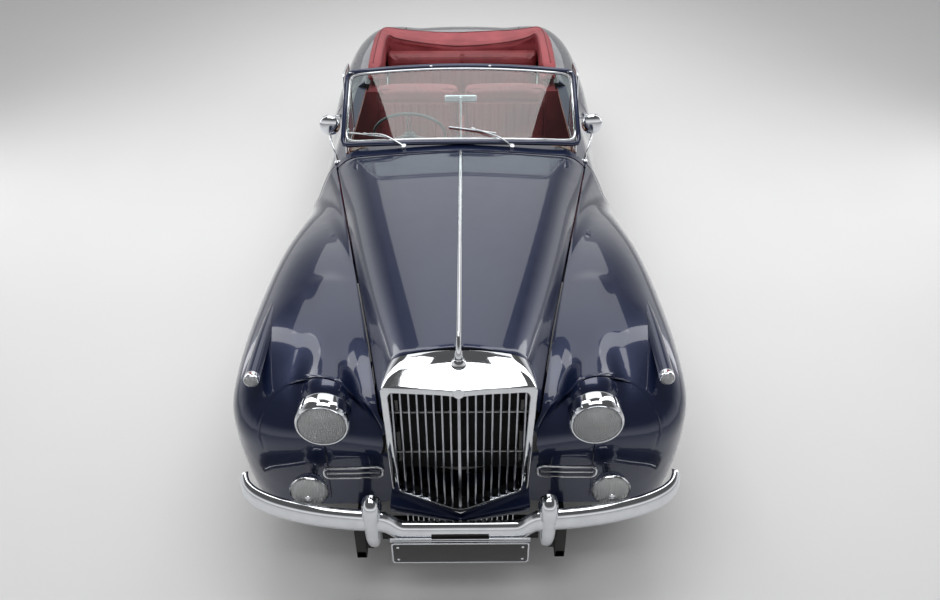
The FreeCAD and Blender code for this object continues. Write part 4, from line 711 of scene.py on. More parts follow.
def rolled(grid, normals, depth):
    made = grid.copy()
    made[0] -= normals[0] * depth
    made[-1] -= normals[-1] * depth
    made[1:-1, 0] -= normals[1:-1, 0] * depth
    made[1:-1, -1] -= normals[1:-1, -1] * depth
    return made


fanStart = 0.6


def fanGrid(field, origins, cosines, sines, pole, keep, columns, reach):
    pole = np.asarray(pole, float)

    def pointsAt(phi):
        c = cosines[:, None]
        s = sines[:, None]
        d = np.stack([c * np.cos(phi) + s * pole[0], s * pole[1] + 0 * phi,
                      c * np.sin(phi) + s * pole[2]], axis=-1)
        return castRays(field, origins[:, None, :] + 0 * d, d, reach)

    def limitOf(furthest):
        steps = 90
        phi = np.linspace(fanStart, furthest, steps)[None, :] + np.zeros((len(origins), 1))
        kept = keep(pointsAt(phi))
        first = np.argmin(kept, axis=1)
        whole = kept.all(axis=1)
        rows = np.arange(len(origins))
        near = phi[rows, np.maximum(first - 1, 0)]
        far = phi[rows, first]
        for step in range(18):
            middle = (near + far) / 2
            good = keep(pointsAt(middle[:, None]))[:, 0]
            near = np.where(good, middle, near)
            far = np.where(good, far, middle)
        return np.where(whole, furthest, near)

    low = limitOf(-math.pi / 2 + 0.01)
    high = limitOf(1.5 * math.pi - 0.01)
    return pointsAt(low[:, None] + (high - low)[:, None] * edgeShares(columns)[None, :])


def bonnetEdge(y):
    t = (y - shape["bonnetFront"]) / (shape["bonnetCorner"] - shape["bonnetFront"])
    return mixed(shape["bonnetFrontHalf"], shape["bonnetRearHalf"], np.minimum(t, 1.0))


def edgeHeight(y):
    x = bonnetEdge(y)
    start = np.stack([x, y, shape["wingCoreZ"] + 0 * y], axis=-1)
    return castRays(bodyField, start, np.array([0.0, 0.0, 1.0]), shape["wingCoreZ"])[..., 2]


# Front wings, with the headlamp nacelles and the side lamps' ridges drawn out of them
wing = {"spineX": 0.640, "spineEnd": -2.040, "sideRows": 84, "noseRows": 92, "columns": 160,
        "turn": 1.50, "apronFoot": 0.374, "archRadius": 0.412, "archZ": 0.366, "lip": 0.0016}
fine = 0.68


def innerEdge(y):
    return np.where(y > shape["bonnetFront"], bonnetEdge(y), 0.293)


def wingKeep(p):
    x, y, z = p[..., 0], p[..., 1], p[..., 2]
    front = (y < shape["wingNoseY"] + 0.150) & (x < 0.690)
    return (x >= innerEdge(y)) & np.where(front, z > wing["apronFoot"], z > shape["wingHem"])


def makeWing():
    side = int(wing["sideRows"] * fine)
    nose = int(wing["noseRows"] * fine)
    y = mixed(shape["doorFront"] - shape["gap"], wing["spineEnd"], edgeShares(side, 0.002)[:-1])
    tilts = wing["turn"] * np.linspace(0.0, 1.0, nose)
    tilt = np.concatenate([np.zeros(len(y)), tilts])
    y = np.concatenate([y, np.full(nose, wing["spineEnd"])])
    origins = np.stack([np.full(len(y), wing["spineX"]), y, np.full(len(y), shape["wingCoreZ"])],
                       axis=-1)
    lamp = np.array([shape["lampX"], shape["lampY"], shape["lampZ"]])
    pole = lamp - np.array([wing["spineX"], wing["spineEnd"], shape["wingCoreZ"]])
    pole = pole / np.linalg.norm(pole)
    outer = fanGrid(frontField, origins, np.cos(tilt), np.sin(tilt), pole, wingKeep,
                    int(wing["columns"] * fine), 0.9)
    normals = fieldNormals(frontField, outer)
    outer = rolled(outer, normals, wing["lip"])
    inner = outer - normals * (shape["skin"] - 0.001)
    inner[..., 0] = np.maximum(inner[..., 0], innerEdge(inner[..., 1]))
    piece = wallPiece("front_wing_left_skin", outer, inner, navy, 40.0)
    cutter = turnedPiece("archCutter", [(0.0, 0.0), (0.0, wing["archRadius"]),
                                        (0.6, wing["archRadius"]), (0.6, 0.0)],
                         (0.5, frontAxleY, wing["archZ"]), (1, 0, 0), navy, 128)
    return carved(piece, cutter)


pod = {"length": 0.640, "sink": 0.020, "radius": 0.0292}


def makePod():
    path = []
    sizes = []
    for k in range(44):
        t = k / 43
        path.append((shape["sideLampX"] + 0.018 * t, shape["sideLampY"] + 0.012 + pod["length"] * t,
                     shape["sideLampZ"] - pod["sink"] * t ** 2))
        sizes.append(max(1.0 - t ** 2.6, 0.02))
    return tubePiece("podLeft", path, pod["radius"], navy, count=40, scales=sizes)


frontWing = joined("front_wing_left_skin", [makeWing(), makePod()])
putPair(frontWing, "front_wing_right_skin", "car_body", "paint", "front_wing_left",
        "front_wing_right")
print("front wings", len(frontWing.data.polygons))


# Apron between the wings and the radiator, with its chrome slot trims
apron = {"foot": 0.345, "top": 0.634, "innerX": 0.276, "outerX": 0.684, "count": 60,
         "slotLow": 0.512, "slotHigh": 0.567, "slotIn": 0.308, "slotOut": 0.541, "bar": 0.0052}


def frontSurface(x, z):
    x = np.asarray(x, float)
    z = np.asarray(z, float)
    start = np.stack([x, np.full(x.shape, shape["wingNoseY"] + shape["wingNoseLength"] + 0.001), z],
                     axis=-1)
    return castRays(frontField, start, np.array([0.0, -1.0, 0.0]), shape["wingNoseLength"] * 1.2)


def makeApron():
    x, z = np.meshgrid(np.linspace(apron["innerX"], apron["outerX"], apron["count"]),
                       np.linspace(apron["foot"], apron["top"], apron["count"]))
    outer = frontSurface(x, z)
    normals = fieldNormals(frontField, outer)
    outer = outer - normals * shape["skin"]
    return wallPiece("front_apron_left_skin", outer, outer - normals * 0.003, navy)


moulding = {"tip": 0.4035, "fall": 0.024, "half": 0.272, "slope": 0.3167, "sideFall": 0.044,
            "front": -2.572, "depth": 0.102, "nose": 0.010}


def makeMoulding():
    rings = []
    for x in np.linspace(-moulding["half"], moulding["half"], 97):
        share = abs(x) / moulding["half"]
        high = moulding["tip"] + moulding["slope"] * abs(x)
        low = high - mixed(moulding["fall"], moulding["sideFall"], share)
        ring = []
        for k in range(13):
            a = mixed(math.pi / 2, -math.pi / 2, k / 12)
            ring.append((x, moulding["front"] + moulding["nose"]
                         * (1 - math.cos(a) ** 0.6 if k not in (0, 12) else 1.0),
                         mixed(low, high, (math.sin(a) + 1) / 2)))
        ring.append((x, moulding["front"] + moulding["depth"], low))
        ring.append((x, moulding["front"] + moulding["depth"], high))
        rings.append(ring)
    return ringPiece("vMoulding", rings, navy, 40.0)


apronSkin = makeApron()
apronRight = mirrorOf(apronSkin, "front_apron_right_skin")
apronWhole = joined("front_apron_skin", [apronSkin, apronRight, makeMoulding()])
put(apronWhole, "car_body", "paint", "front_apron")

bars = []
slotCorners = [(apron["slotIn"], apron["slotLow"]), (apron["slotOut"], apron["slotLow"]),
               (apron["slotOut"], apron["slotHigh"]), (apron["slotIn"], apron["slotHigh"])]
slotMiddle = (apron["slotLow"] + apron["slotHigh"]) / 2
outline = roundedLoop(slotCorners, (0.026,) * 4, 10)
dense = []
for k, (x, z) in enumerate(outline):
    nextX, nextZ = outline[(k + 1) % len(outline)]
    steps = max(1, int(math.hypot(nextX - x, nextZ - z) / 0.012))
    dense += [(mixed(x, nextX, s / steps), mixed(z, nextZ, s / steps)) for s in range(steps)]
inner = [(x, slotMiddle) for x in np.linspace(apron["slotIn"] + 0.012, apron["slotOut"] - 0.012,
                                              24)]
for spots, closed in ((dense, True), (inner, False)):
    line = frontSurface([p[0] for p in spots], [p[1] for p in spots])
    line = line + fieldNormals(frontField, line) * 0.001
    bars.append(tubePiece("slotBar", line, apron["bar"], chrome, up=(0, 1, 0), closed=closed,
                          count=12))
slotLeft = joined("apron_trim_left", bars)
putPair(slotLeft, "apron_trim_right", "car_body", "chrome")
print("apron")


# Bonnet halves meeting at the chrome hinge strip
bonnet = {"rows": 90, "columns": 80, "shoulderIn": 0.070, "shoulderZ": 1.052, "side": 0.056,
          "blend": 0.072, "roofPower": 1.75, "castDrop": 0.55}


def bonnetPoint(y, share):
    y, share = np.broadcast_arrays(np.asarray(y, float), np.asarray(share, float))
    f = shape
    half = bonnetEdge(y) - f["gap"]
    low = edgeHeight(y) - 0.001
    t = (y - f["bonnetFront"]) / (f["bonnetRear"] - f["bonnetFront"])
    crown = mixed(f["crownFront"], f["crownRear"], t) + 0.010 * np.clip(t * (1 - t), 0, 1)
    shoulderZ = mixed(bonnet["shoulderZ"] - 0.004, bonnet["shoulderZ"], t)
    shoulder = half - bonnet["shoulderIn"]
    drop = crown - shoulderZ
    blend = np.clip(crown - drop * (half / shoulder) ** bonnet["roofPower"] - low - 0.002, 0.012,
                    bonnet["blend"])
    start = low - bonnet["castDrop"] * half
    angle = mixed(math.pi / 2, math.atan(bonnet["castDrop"]), share)

    def section(reach):
        x = reach * np.cos(angle)
        z = start + reach * np.sin(angle)
        roof = z - (crown - drop * (x / shoulder) ** bonnet["roofPower"])
        lean = bonnet["side"] * np.clip((z - low) / np.maximum(shoulderZ - low, 0.03), 0.0, 1.6)
        flank = (x - (half - lean)) * 0.96
        return smoothMax(roof, flank, blend), x, z

    near = np.zeros(y.shape)
    far = np.full(y.shape, 1.8)
    for step in range(34):
        middle = (near + far) / 2
        inside = section(middle)[0] < 0
        near = np.where(inside, middle, near)
        far = np.where(inside, far, middle)
    value, x, z = section(near)
    return np.maximum(x, 0.0), z


def makeBonnet():
    f = shape
    share = edgeShares(int(bonnet["columns"] * fine), 0.004)[None, :] + 0.0
    t = edgeShares(int(bonnet["rows"] * fine), 0.002)[:, None]
    y0 = f["bonnetFront"] + 0.004
    x, z = bonnetPoint(mixed(y0, f["bonnetRear"], t) + 0 * share, share + 0 * t)
    for again in range(3):
        rear = mixed(f["bonnetRear"], f["bonnetCorner"], (x / f["bonnetRearHalf"]) ** 2) - f["gap"]
        y = mixed(y0, rear, t)
        x, z = bonnetPoint(y, share + 0 * t)
    x = np.maximum(x, 0.0098)
    grid = np.stack([x, y, z], axis=-1)
    du = np.gradient(grid, axis=0)
    dv = np.gradient(grid, axis=1)
    normals = np.cross(du, dv)
    normals /= np.linalg.norm(normals, axis=-1, keepdims=True)
    normals *= np.sign(normals[..., 2:3] + 1e-9)
    grid = rolled(grid, normals, 0.0014)
    inner = grid - normals * 0.006
    inner[..., 0] = np.maximum(inner[..., 0], 0.0098)
    return wallPiece("bonnet_left_skin", grid, inner, navy)


bonnetLeft = makeBonnet()
bonnetRight = mirrorOf(bonnetLeft, "bonnet_right_skin")
put(bonnetLeft, "bonnet_left_half", "paint", "bonnet_left")
put(bonnetRight, "bonnet_right_half", "paint", "bonnet_right")

crownLine = []
for y in np.linspace(shape["bonnetFront"] + 0.003, shape["bonnetRear"] - 0.002, 60):
    x, z = bonnetPoint(np.array([y]), np.array([0.0]))
    crownLine.append((0.0, float(y), float(z[0])))
stripSection = [(-0.0088, -0.010), (-0.0088, 0.001), (-0.006, 0.0042), (0.0, 0.0058),
                (0.006, 0.0042), (0.0088, 0.001), (0.0088, -0.010)]
strip = ringPiece("bonnet_hinge_strip", sweptRings(crownLine, stripSection), chrome, 40.0)
put(strip, "car_body", "chrome", "bonnet_strip")
print("bonnet")


# Scuttle behind the bonnet
def makeScuttle():
    f = shape
    share = np.abs(np.linspace(-1.0, 1.0, 121))[None, :]
    side = np.sign(np.linspace(-1.0, 1.0, 121))[None, :]
    t = edgeShares(26, 0.01)[:, None]
    x, z = bonnetPoint(np.full(share.shape, f["bonnetCorner"]), share)
    bow = (x / f["bonnetRearHalf"]) ** 2
    rear = mixed(f["bonnetRear"], f["bonnetCorner"], bow)
    y = mixed(rear, mixed(-0.560, f["doorFront"] - f["gap"], bow), t)
    grid = np.stack([side * x + 0 * t, y, z + 0.012 * t], axis=-1)
    du = np.gradient(grid, axis=0)
    dv = np.gradient(grid, axis=1)
    normals = np.cross(du, dv)
    normals /= np.linalg.norm(normals, axis=-1, keepdims=True)
    normals *= np.sign(normals[..., 2:3])
    grid = rolled(grid, normals, 0.0014)
    return wallPiece("scuttle_skin", grid, grid - normals * 0.012, navy)


scuttleSkin = makeScuttle()
put(scuttleSkin, "car_body", "paint", "scuttle")
print("scuttle")


# Radiator shell, its blades and the dark core behind them
shell = {"half": 0.288, "frontY": -2.531, "lean": 0.024, "peak": 0.056, "top": 1.053, "tip": 0.404,
         "leanOver": 0.633}


def shellRing(inset, y, top, corner, radii=(0.30, 0.030, 0.022, 0.05)):
    half = corner[0] - inset
    points = [(0.0, top - inset), (half, corner[1] - inset * 0.9),
              (0.268 - inset, 0.489 + inset * 0.35), (0.0, shell["tip"] + inset * 1.1),
              (-0.268 + inset, 0.489 + inset * 0.35), (-half, corner[1] - inset * 0.9)]
    loop = roundedLoop(points, (radii[0], radii[1], radii[2], radii[3], radii[2], radii[1]))
    ring = []
    for p in loop:
        x, z = p
        if y is None:
            ring.append((x, 0.0, z))
        else:
            ring.append((x, y(abs(x), z), z))
    return ring


def frontPlane(back):
    def planeAt(x, z):
        lean = shell["lean"] * (shell["top"] - z) / shell["leanOver"]
        return shell["frontY"] + shell["peak"] * x / shell["half"] - lean + back
    return planeAt


# Share of the way to the rear, top, upper corner and that corner's radius
shellSides = ((0.97, 1.0985, (0.286, 1.0455), 0.098), (0.6, 1.085, (0.2873, 1.040), 0.070),
              (0.25, 1.066, (0.288, 1.029), 0.045), (0.03, 1.0545, (0.288, 1.0205), 0.032))
# Inset and set-back of the lip around the grille
shellLip = ((0.0008, 0.003), (0.0025, 0.0008), (0.005, 0.0), (0.022, 0.0), (0.0255, 0.001),
            (0.028, 0.004), (0.030, 0.060))


def makeShell():
    rearY = shape["bonnetFront"] + 0.0005
    lipCorner = (0.288, 1.0195)

    def flat(x, z):
        return rearY

    def between(share):
        return lambda x, z: mixed(frontPlane(0.006)(x, z), rearY, share)

    rings = [shellRing(0.0, flat, 1.099, (0.286, 1.046), (0.30, 0.10, 0.022, 0.05))]
    rings += [shellRing(0.0, between(share), top, corner, (0.30, radius, 0.022, 0.05))
              for share, top, corner, radius in shellSides]
    rings += [shellRing(inset, frontPlane(back), shell["top"], lipCorner) for inset,
              back in shellLip]
    rings.append(shellRing(0.030, flat, 1.060, lipCorner))
    return ringPiece("radiator_shell_skin", rings, chrome, 34.0, closedPath=True)


put(makeShell(), "car_body", "chrome", "radiator_shell")

slats = {"pitch": 0.0306, "wide": 0.0085, "deep": 0.034, "back": 0.010, "count": 8}


def slatBlade(x, wide):
    inset = 0.024
    top = 1.053 - inset - (0.034 * (abs(x) / 0.288) ** 1.0) + 0.004
    low = 0.404 + inset * 1.1 + 0.085 * abs(x) / 0.268 - 0.004
    section = [(-wide / 2, slats["deep"]), (-wide / 2, 0.006), (-wide * 0.36, 0.0016), (0.0, 0.0),
               (wide * 0.36, 0.0016), (wide / 2, 0.006), (wide / 2, slats["deep"])]
    rings = []
    for z in np.linspace(low, top, 9):
        y = frontPlane(slats["back"])(abs(x), float(z))
        rings.append([(x + a, y + b, float(z)) for a, b in section])
    return ringPiece("blade", rings, dullChrome, 34.0)


blades = [slatBlade(k * slats["pitch"], slats["wide"] * (1.7 if k == 0 else 1.0))
          for k in range(-slats["count"], slats["count"] + 1)]
stays = []
for share in (0.30, 0.62):
    z = mixed(1.053, 0.420, share)
    y = frontPlane(slats["back"] + slats["deep"] + 0.004)(0.26, z)
    stays.append(tubePiece("stay", [(-0.252, y, z), (0.252, y, z)], 0.005, steel))
blades = joined("radiator_blades", blades + stays)
put(blades, "car_body", "chrome", "radiator_slats")
coreBox = roundedBox("radiator_core", (-0.232, -2.416, 0.536), (0.232, -2.358, 0.975), 0.004,
                     coreBlack)
put(coreBox, "car_body", "black_metal")

# A plain cap with a plain swept fin, and a plain disc where a badge would be
capY = -2.408
capBase = turnedPiece("capBase", [(0.0, 0.0), (0.0, 0.030), (0.006, 0.0305), (0.010, 0.026),
                                  (0.016, 0.024), (0.022, 0.0185), (0.027, 0.010), (0.029, 0.0)],
                      (0, capY, 1.068), (0, 0, 1), chrome, 48)
finPath = smoothPath([(0, capY + 0.002, 1.088), (0, capY - 0.004, 1.112), (0, capY + 0.004, 1.140),
                      (0, capY + 0.022, 1.166), (0, capY + 0.046, 1.182)], 28)
finSizes = [1.0 - 0.72 * (k / 27) ** 1.3 for k in range(28)]
fin = tubePiece("finBody", finPath, 0.016, chrome, up=(1, 0, 0), count=20, wide=0.85,
                scales=finSizes)
capPiece = joined("radiator_cap", [capBase, fin])
put(capPiece, "car_body", "chrome")
discY = frontPlane(-0.001)(0.0, 1.030)
badge = turnedPiece("shell_disc", [(0.0, 0.0), (0.0, 0.019), (0.002, 0.021), (0.004, 0.0195),
                                   (0.0045, 0.014), (0.0055, 0.0)], (0, discY, 1.0385),
                    (0, -1, 0.03), chrome, 64)
put(badge, "car_body", "chrome")
print("radiator")


# Lamps: chrome rims, fluted lenses, bright bowls
lampSides = 80


def lampSet(tag, centre, axis, rim, lens, bowl, lensFinish):
    pieces = []
    pieces.append(turnedPiece(tag + "_rim", rim, centre, axis, chrome, 128, 34.0, closed=True))
    pieces.append(turnedPiece(tag + "_lens", lens, centre, axis, lensFinish, lampSides, 60.0))
    pieces.append(turnedPiece(tag + "_bowl", bowl, centre, axis, bowlSilver, lampSides, 60.0))
    return pieces


def domeProfile(radius, dome, thick, start, steps=14):
    made = []
    for k in range(steps + 1):
        r = radius * math.cos(k / steps * math.pi / 2)
        made.append((start + dome * math.sin(k / steps * math.pi / 2), r if k < steps else 0.0))
    back = []
    for k in range(steps + 1):
        r = (radius - 0.001) * math.cos(k / steps * math.pi / 2)
        back.append((start - thick + dome * math.sin(k / steps * math.pi / 2), r if k < steps
                     else 0.0))
    return back[::-1] + made


def bowlProfile(radius, depth, start, steps=14):
    made = []
    for k in range(steps + 1):
        made.append((start - depth * math.cos(k / steps * math.pi / 2),
                     radius * math.sin(k / steps * math.pi / 2)))
    for k in range(steps, -1, -1):
        made.append((start - 0.003 - depth * math.cos(k / steps * math.pi / 2), (radius + 0.002)
                     * math.sin(k / steps * math.pi / 2)))
    return made


headCentre = (shape["lampX"], shape["lampY"], shape["lampZ"])
headRim = [(-0.066, 0.1085), (-0.063, 0.1105), (-0.058, 0.1108), (-0.030, 0.1095), (-0.008, 0.1065),
           (0.001, 0.1035), (0.005, 0.0985), (0.004, 0.0945), (0.0, 0.0925), (-0.010, 0.0925),
           (-0.012, 0.1015), (-0.060, 0.1045)]
headPieces = lampSet("headlamp", headCentre, (0, -1, 0), headRim,
                     domeProfile(0.093, 0.026, 0.004, -0.004), bowlProfile(0.091, 0.060, -0.011),
                     lensGlass)
headPieces.append(turnedPiece("headlamp_bulb",
                              [(0.0, 0.0), (0.0, 0.011), (0.022, 0.011), (0.030, 0.008),
                               (0.034, 0.0)], (shape["lampX"], shape["lampY"] + 0.056,
                                               shape["lampZ"]), (0, -1, 0), chrome, 32))
headPieces.append(turnedPiece("headlamp_shellback",
                              [(-0.110, 0.0), (-0.110, 0.070), (-0.066, 0.098), (-0.062, 0.104),
                               (-0.014, 0.1012), (-0.014, 0.0935), (-0.060, 0.095), (-0.080, 0.0)],
                              headCentre, (0, -1, 0), dullChrome, 64))
fog = {"x": 0.581, "y": -2.554, "z": 0.556, "stemFront": -2.490, "stemZ": 0.545,
       "stemRadius": 0.016, "footZ": 0.560}
fogCentre = (fog["x"], fog["y"], fog["z"])
fogRim = [(-0.006, 0.0735), (-0.004, 0.0758), (0.002, 0.0758), (0.005, 0.0742), (0.004, 0.0722),
          (0.0, 0.0716), (-0.004, 0.0716), (-0.006, 0.0722)]
fogPieces = lampSet("foglamp", fogCentre, (0, -1, 0), fogRim,
                    domeProfile(0.0712, 0.034, 0.003, 0.000), bowlProfile(0.0695, 0.040, -0.003),
                    fogGlass)
fogPieces.append(turnedPiece("foglamp_boss", [(0.032, 0.0), (0.032, 0.013), (0.036, 0.012),
                                              (0.0395, 0.006), (0.040, 0.0)], fogCentre, (0, -1, 0),
                             chrome, 32))
fogBack = []
for k in range(13):
    a = k / 12 * math.pi / 2
    fogBack.append((-0.007 - 0.062 * math.sin(a), 0.0725 * math.cos(a) ** 1.1 if k < 12 else 0.0))
fogPieces.append(turnedPiece("foglamp_shellback", [(-0.007, 0.0)] + fogBack, fogCentre, (0, -1, 0),
                             chrome, 64, 50.0))
fogFoot = float(frontSurface(np.array([fog["x"]]), np.array([fog["footZ"]]))[0][1])
fogStem = [(fog["x"], fog["stemFront"], fog["stemZ"]), (fog["x"], fogFoot - 0.002, fog["stemZ"])]
fogPieces.append(tubePiece("foglamp_stem", fogStem, fog["stemRadius"], chrome))
sideCentre = (shape["sideLampX"], shape["sideLampY"], shape["sideLampZ"])
sideRim = [(-0.030, 0.0285), (-0.026, 0.0300), (-0.006, 0.0300), (0.0, 0.0282), (0.001, 0.0255),
           (-0.004, 0.0248), (-0.026, 0.0262)]
sidePieces = lampSet("sidelamp", sideCentre, (0, -1, 0), sideRim,
                     domeProfile(0.0252, 0.016, 0.002, -0.003), bowlProfile(0.024, 0.018, -0.006),
                     lensGlass)
sidePieces.append(turnedPiece("sidelamp_telltale",
                              [(0.0, 0.0), (0.0, 0.0045), (0.004, 0.0042), (0.007, 0.0)],
                              (shape["sideLampX"], shape["sideLampY"] + 0.014,
                               shape["sideLampZ"] + 0.0285), (0, 0, 1), redGlass, 20))
for group in (headPieces, fogPieces, sidePieces):
    for piece in group:
        base = piece.name
        piece.name = base + "_left"
        slotName = "glass" if "lens" in base else "chrome"
        other = mirrorOf(piece, base + "_right")
        if base == "headlamp_rim":
            put(piece, "car_body", slotName, "front_lamps")
        else:
            put(piece, "car_body", slotName)
        put(other, "car_body", slotName)
print("lamps")


# Bumper with its centre dip, overriders, mounts and the blank plate
bumper = {"z": 0.490, "height": 0.102, "thick": 0.034, "dip": 0.056}
bumperPlan = ((0.0, -2.643), (0.15, -2.643), (0.30, -2.640), (0.45, -2.627), (0.583, -2.604),
              (0.700, -2.570), (0.780, -2.532), (0.826, -2.494), (0.846, -2.455), (0.850, -2.425))


def barPath(ahead=1.0, dip=bumper["dip"], z=bumper["z"], shift=0.0):
    half = [(x, y * ahead + shift, 0.0) for x, y in bumperPlan]
    line = smoothPath([(-x, y, 0.0) for x, y, zero in half[1:][::-1]] + half, 161)
    return [(p.x, p.y, z - dip * (1 - float(stepped(0.215, 0.300, abs(p.x))))) for p in line]


def planAt(x):
    return float(np.interp(abs(x), [p[0] for p in bumperPlan], [p[1] for p in bumperPlan]))


def makeBar(name, path, ahead, material):
    profile = []
    for k in range(15):
        a = mixed(-math.pi / 2, math.pi / 2, k / 14)
        profile.append((math.cos(a) ** 0.7 * bumper["thick"] if abs(math.cos(a)) > 1e-6 else 0.0,
                        math.sin(a) * bumper["height"] / 2))
    back = [(p[0] * 0.9 - 0.005, p[1] * 0.97) for p in profile[::-1]]
    section = profile + back
    rings = []
    last = len(path) - 1
    for i, p in enumerate(path):
        before = path[max(i - 1, 0)]
        after = path[min(i + 1, last)]
        along = Vector((after[0] - before[0], after[1] - before[1], 0)).normalized()
        out = Vector((along.y, -along.x, 0))
        if out.y * ahead > 0:
            out = -out
        end = min(i, last - i)
        size = 1.0 if end > 4 else math.sqrt(1 - ((5 - end) / 5.0) ** 2 * 0.84)
        middle = Vector(p) + out * bumper["thick"] * 0.4
        rings.append([middle + out * ((a - bumper["thick"] * 0.4) * size) + Vector((0, 0, b * size))
                      for a, b in section])
    return ringPiece(name, rings, material, 40.0)


frontBar = makeBar("front_bumper_bar", barPath(), 1.0, chrome)


guards = {"wide": 0.081, "deep": 0.066, "low": 0.336, "high": 0.607}


def makeOverrider(name, x, faceY, ahead):
    rings = []
    count = 40
    for k in range(count):
        t = 0.5 - 0.5 * math.cos(math.pi * k / (count - 1))
        body = max(1 - abs(2 * t - 1) ** 5, 0.0)
        half = guards["wide"] / 2 * body ** 0.45 * mixed(0.80, 1.0, t ** 0.7)
        deep = guards["deep"] * (0.10 + 0.90 * body ** 0.40) * mixed(0.80, 1.0, t)
        ring = []
        for i in range(28):
            a = mixed(0.0, math.pi, i / 27)
            ring.append((x + half * math.copysign(abs(math.cos(a)) ** 0.8, math.cos(a)),
                         faceY + ahead * (guards["deep"] - deep * math.sin(a) ** 0.62),
                         mixed(guards["low"], guards["high"], t)))
        rings.append(ring)
    return ringPiece(name, rings, chrome, 50.0)


faceAt = planAt(0.335) - bumper["thick"]
guard = makeOverrider("overriderLeft", 0.335, faceAt - 0.013, 1.0)
guardRight = mirrorOf(guard, "overriderRight")
frontSet = joined("front_bumper_chrome", [frontBar, guard, guardRight])
put(frontSet, "car_body", "chrome", "front_bumper")
mount = {"x": 0.395, "half": 0.020, "low": 0.240, "armTop": 0.280, "armRear": -2.5335,
         "upTop": 0.510, "upThick": 0.009, "behind": 0.006}
mounts = []
for side in (-1, 1):
    back = planAt(mount["x"]) + mount["behind"]
    near, far = side * mount["x"] - mount["half"], side * mount["x"] + mount["half"]
    for name, end, top, radius in (("mountArm", mount["armRear"], mount["armTop"], 0.003),
                                   ("mountUp", back + mount["upThick"], mount["upTop"], 0.002)):
        mounts.append(roundedBox(name, (near, back, mount["low"]), (far, end, top), radius,
                                 underBlack))
put(joined("front_bumper_mounts", mounts), "car_body", "black_metal")

plate = {"half": 0.262, "low": 0.298, "high": 0.410, "y": -2.690, "studX": 0.240,
         "studZ": (0.318, 0.390), "barHalf": 0.268, "bars": (0.010, 0.021), "carrierHalf": 0.110,
         "carrierLow": 0.354, "carrierTop": 0.4436, "carrierBack": 0.010, "shelfLow": 0.4376,
         "shelfRear": -2.639, "back": 0.004}
plateFace = roundedBox("plateFace", (-plate["half"], plate["y"], plate["low"]),
                       (plate["half"], plate["y"] + plate["back"], plate["high"]), 0.0018,
                       plateBlack, 3)
plateFrame = [(-plate["half"], plate["low"]), (plate["half"], plate["low"]),
              (plate["half"], plate["high"]), (-plate["half"], plate["high"])]
loop = roundedLoop(plateFrame, (0.012, 0.012, 0.012, 0.012))
rim = tubePiece("plateRim", [(p[0], plate["y"] + 0.001, p[1]) for p in loop], 0.0035, chrome,
                up=(0, 1, 0), closed=True, count=10)
studs = []
for x in (-plate["studX"], plate["studX"]):
    for z in plate["studZ"]:
        studs.append(turnedPiece("plateStud", [(0.0, 0.0), (0.0, 0.006), (0.002, 0.0055),
                                               (0.004, 0.0)], (x, plate["y"], z), (0, -1, 0),
                                 chrome, 16))
topBars = []
for z in (plate["high"] + rise for rise in plate["bars"]):
    bar = [(x, plate["y"] + 0.006, z) for x in (-plate["barHalf"], plate["barHalf"])]
    topBars.append(tubePiece("plateTopBar", bar, 0.004, chrome, count=12))
carrier = roundedBox("plateCarrier", (-plate["carrierHalf"], plate["y"] + plate["back"],
                                      plate["carrierLow"]), (plate["carrierHalf"],
                                                             plate["y"] + plate["carrierBack"],
                                                             plate["carrierTop"]), 0.0012,
                     underBlack)
shelf = roundedBox("plateShelf", (-plate["carrierHalf"], plate["y"] + plate["back"],
                                  plate["shelfLow"]), (plate["carrierHalf"], plate["shelfRear"],
                                                       plate["carrierTop"]), 0.0012, underBlack)
put(joined("front_plate", [plateFace, rim, carrier, shelf] + studs + topBars), "car_body",
    "black_metal", "number_plates")
print("bumper")


# Windscreen: painted outer frame, bright inner surround and glass
screen = {"baseY": -0.650, "topY": -0.330, "cornerY": 0.062, "baseZ": 1.128, "topZ": 1.446,
          "baseHalf": 0.656, "topHalf": 0.630, "drop": 0.044}


def screenAt(u, share, lift=0.0, edge=0.0):
    half = mixed(screen["baseHalf"], screen["topHalf"], share) - edge
    x = half * u
    whole = x / mixed(screen["baseHalf"], screen["topHalf"], share)
    bend = screen["cornerY"] * whole ** 2 * mixed(1.0, 0.3, share)
    drop = screen["drop"] * whole ** 2
    return Vector((x, mixed(screen["baseY"], screen["topY"], share) + bend - lift * 0.70,
                   mixed(screen["baseZ"], screen["topZ"], share) - drop + lift * 0.71))


def screenLoop(edge, count=40):
    low = edge / 0.45
    high = 1 - edge / 0.45
    points = []
    for k in range(count):
        points.append(screenAt(mixed(-1, 1, k / (count - 1)), low, 0.0, edge))
    for k in range(1, 14):
        points.append(screenAt(1.0, mixed(low, high, k / 14), 0.0, edge))
    for k in range(count):
        points.append(screenAt(mixed(1, -1, k / (count - 1)), high, 0.0, edge))
    for k in range(1, 14):
        points.append(screenAt(-1.0, mixed(high, low, k / 14), 0.0, edge))
    return points


def softened(points, passes):
    for step in range(passes):
        points = [(points[k - 1] + points[k] * 2 + points[(k + 1) % len(points)]) / 4
                  for k in range(len(points))]
    return points


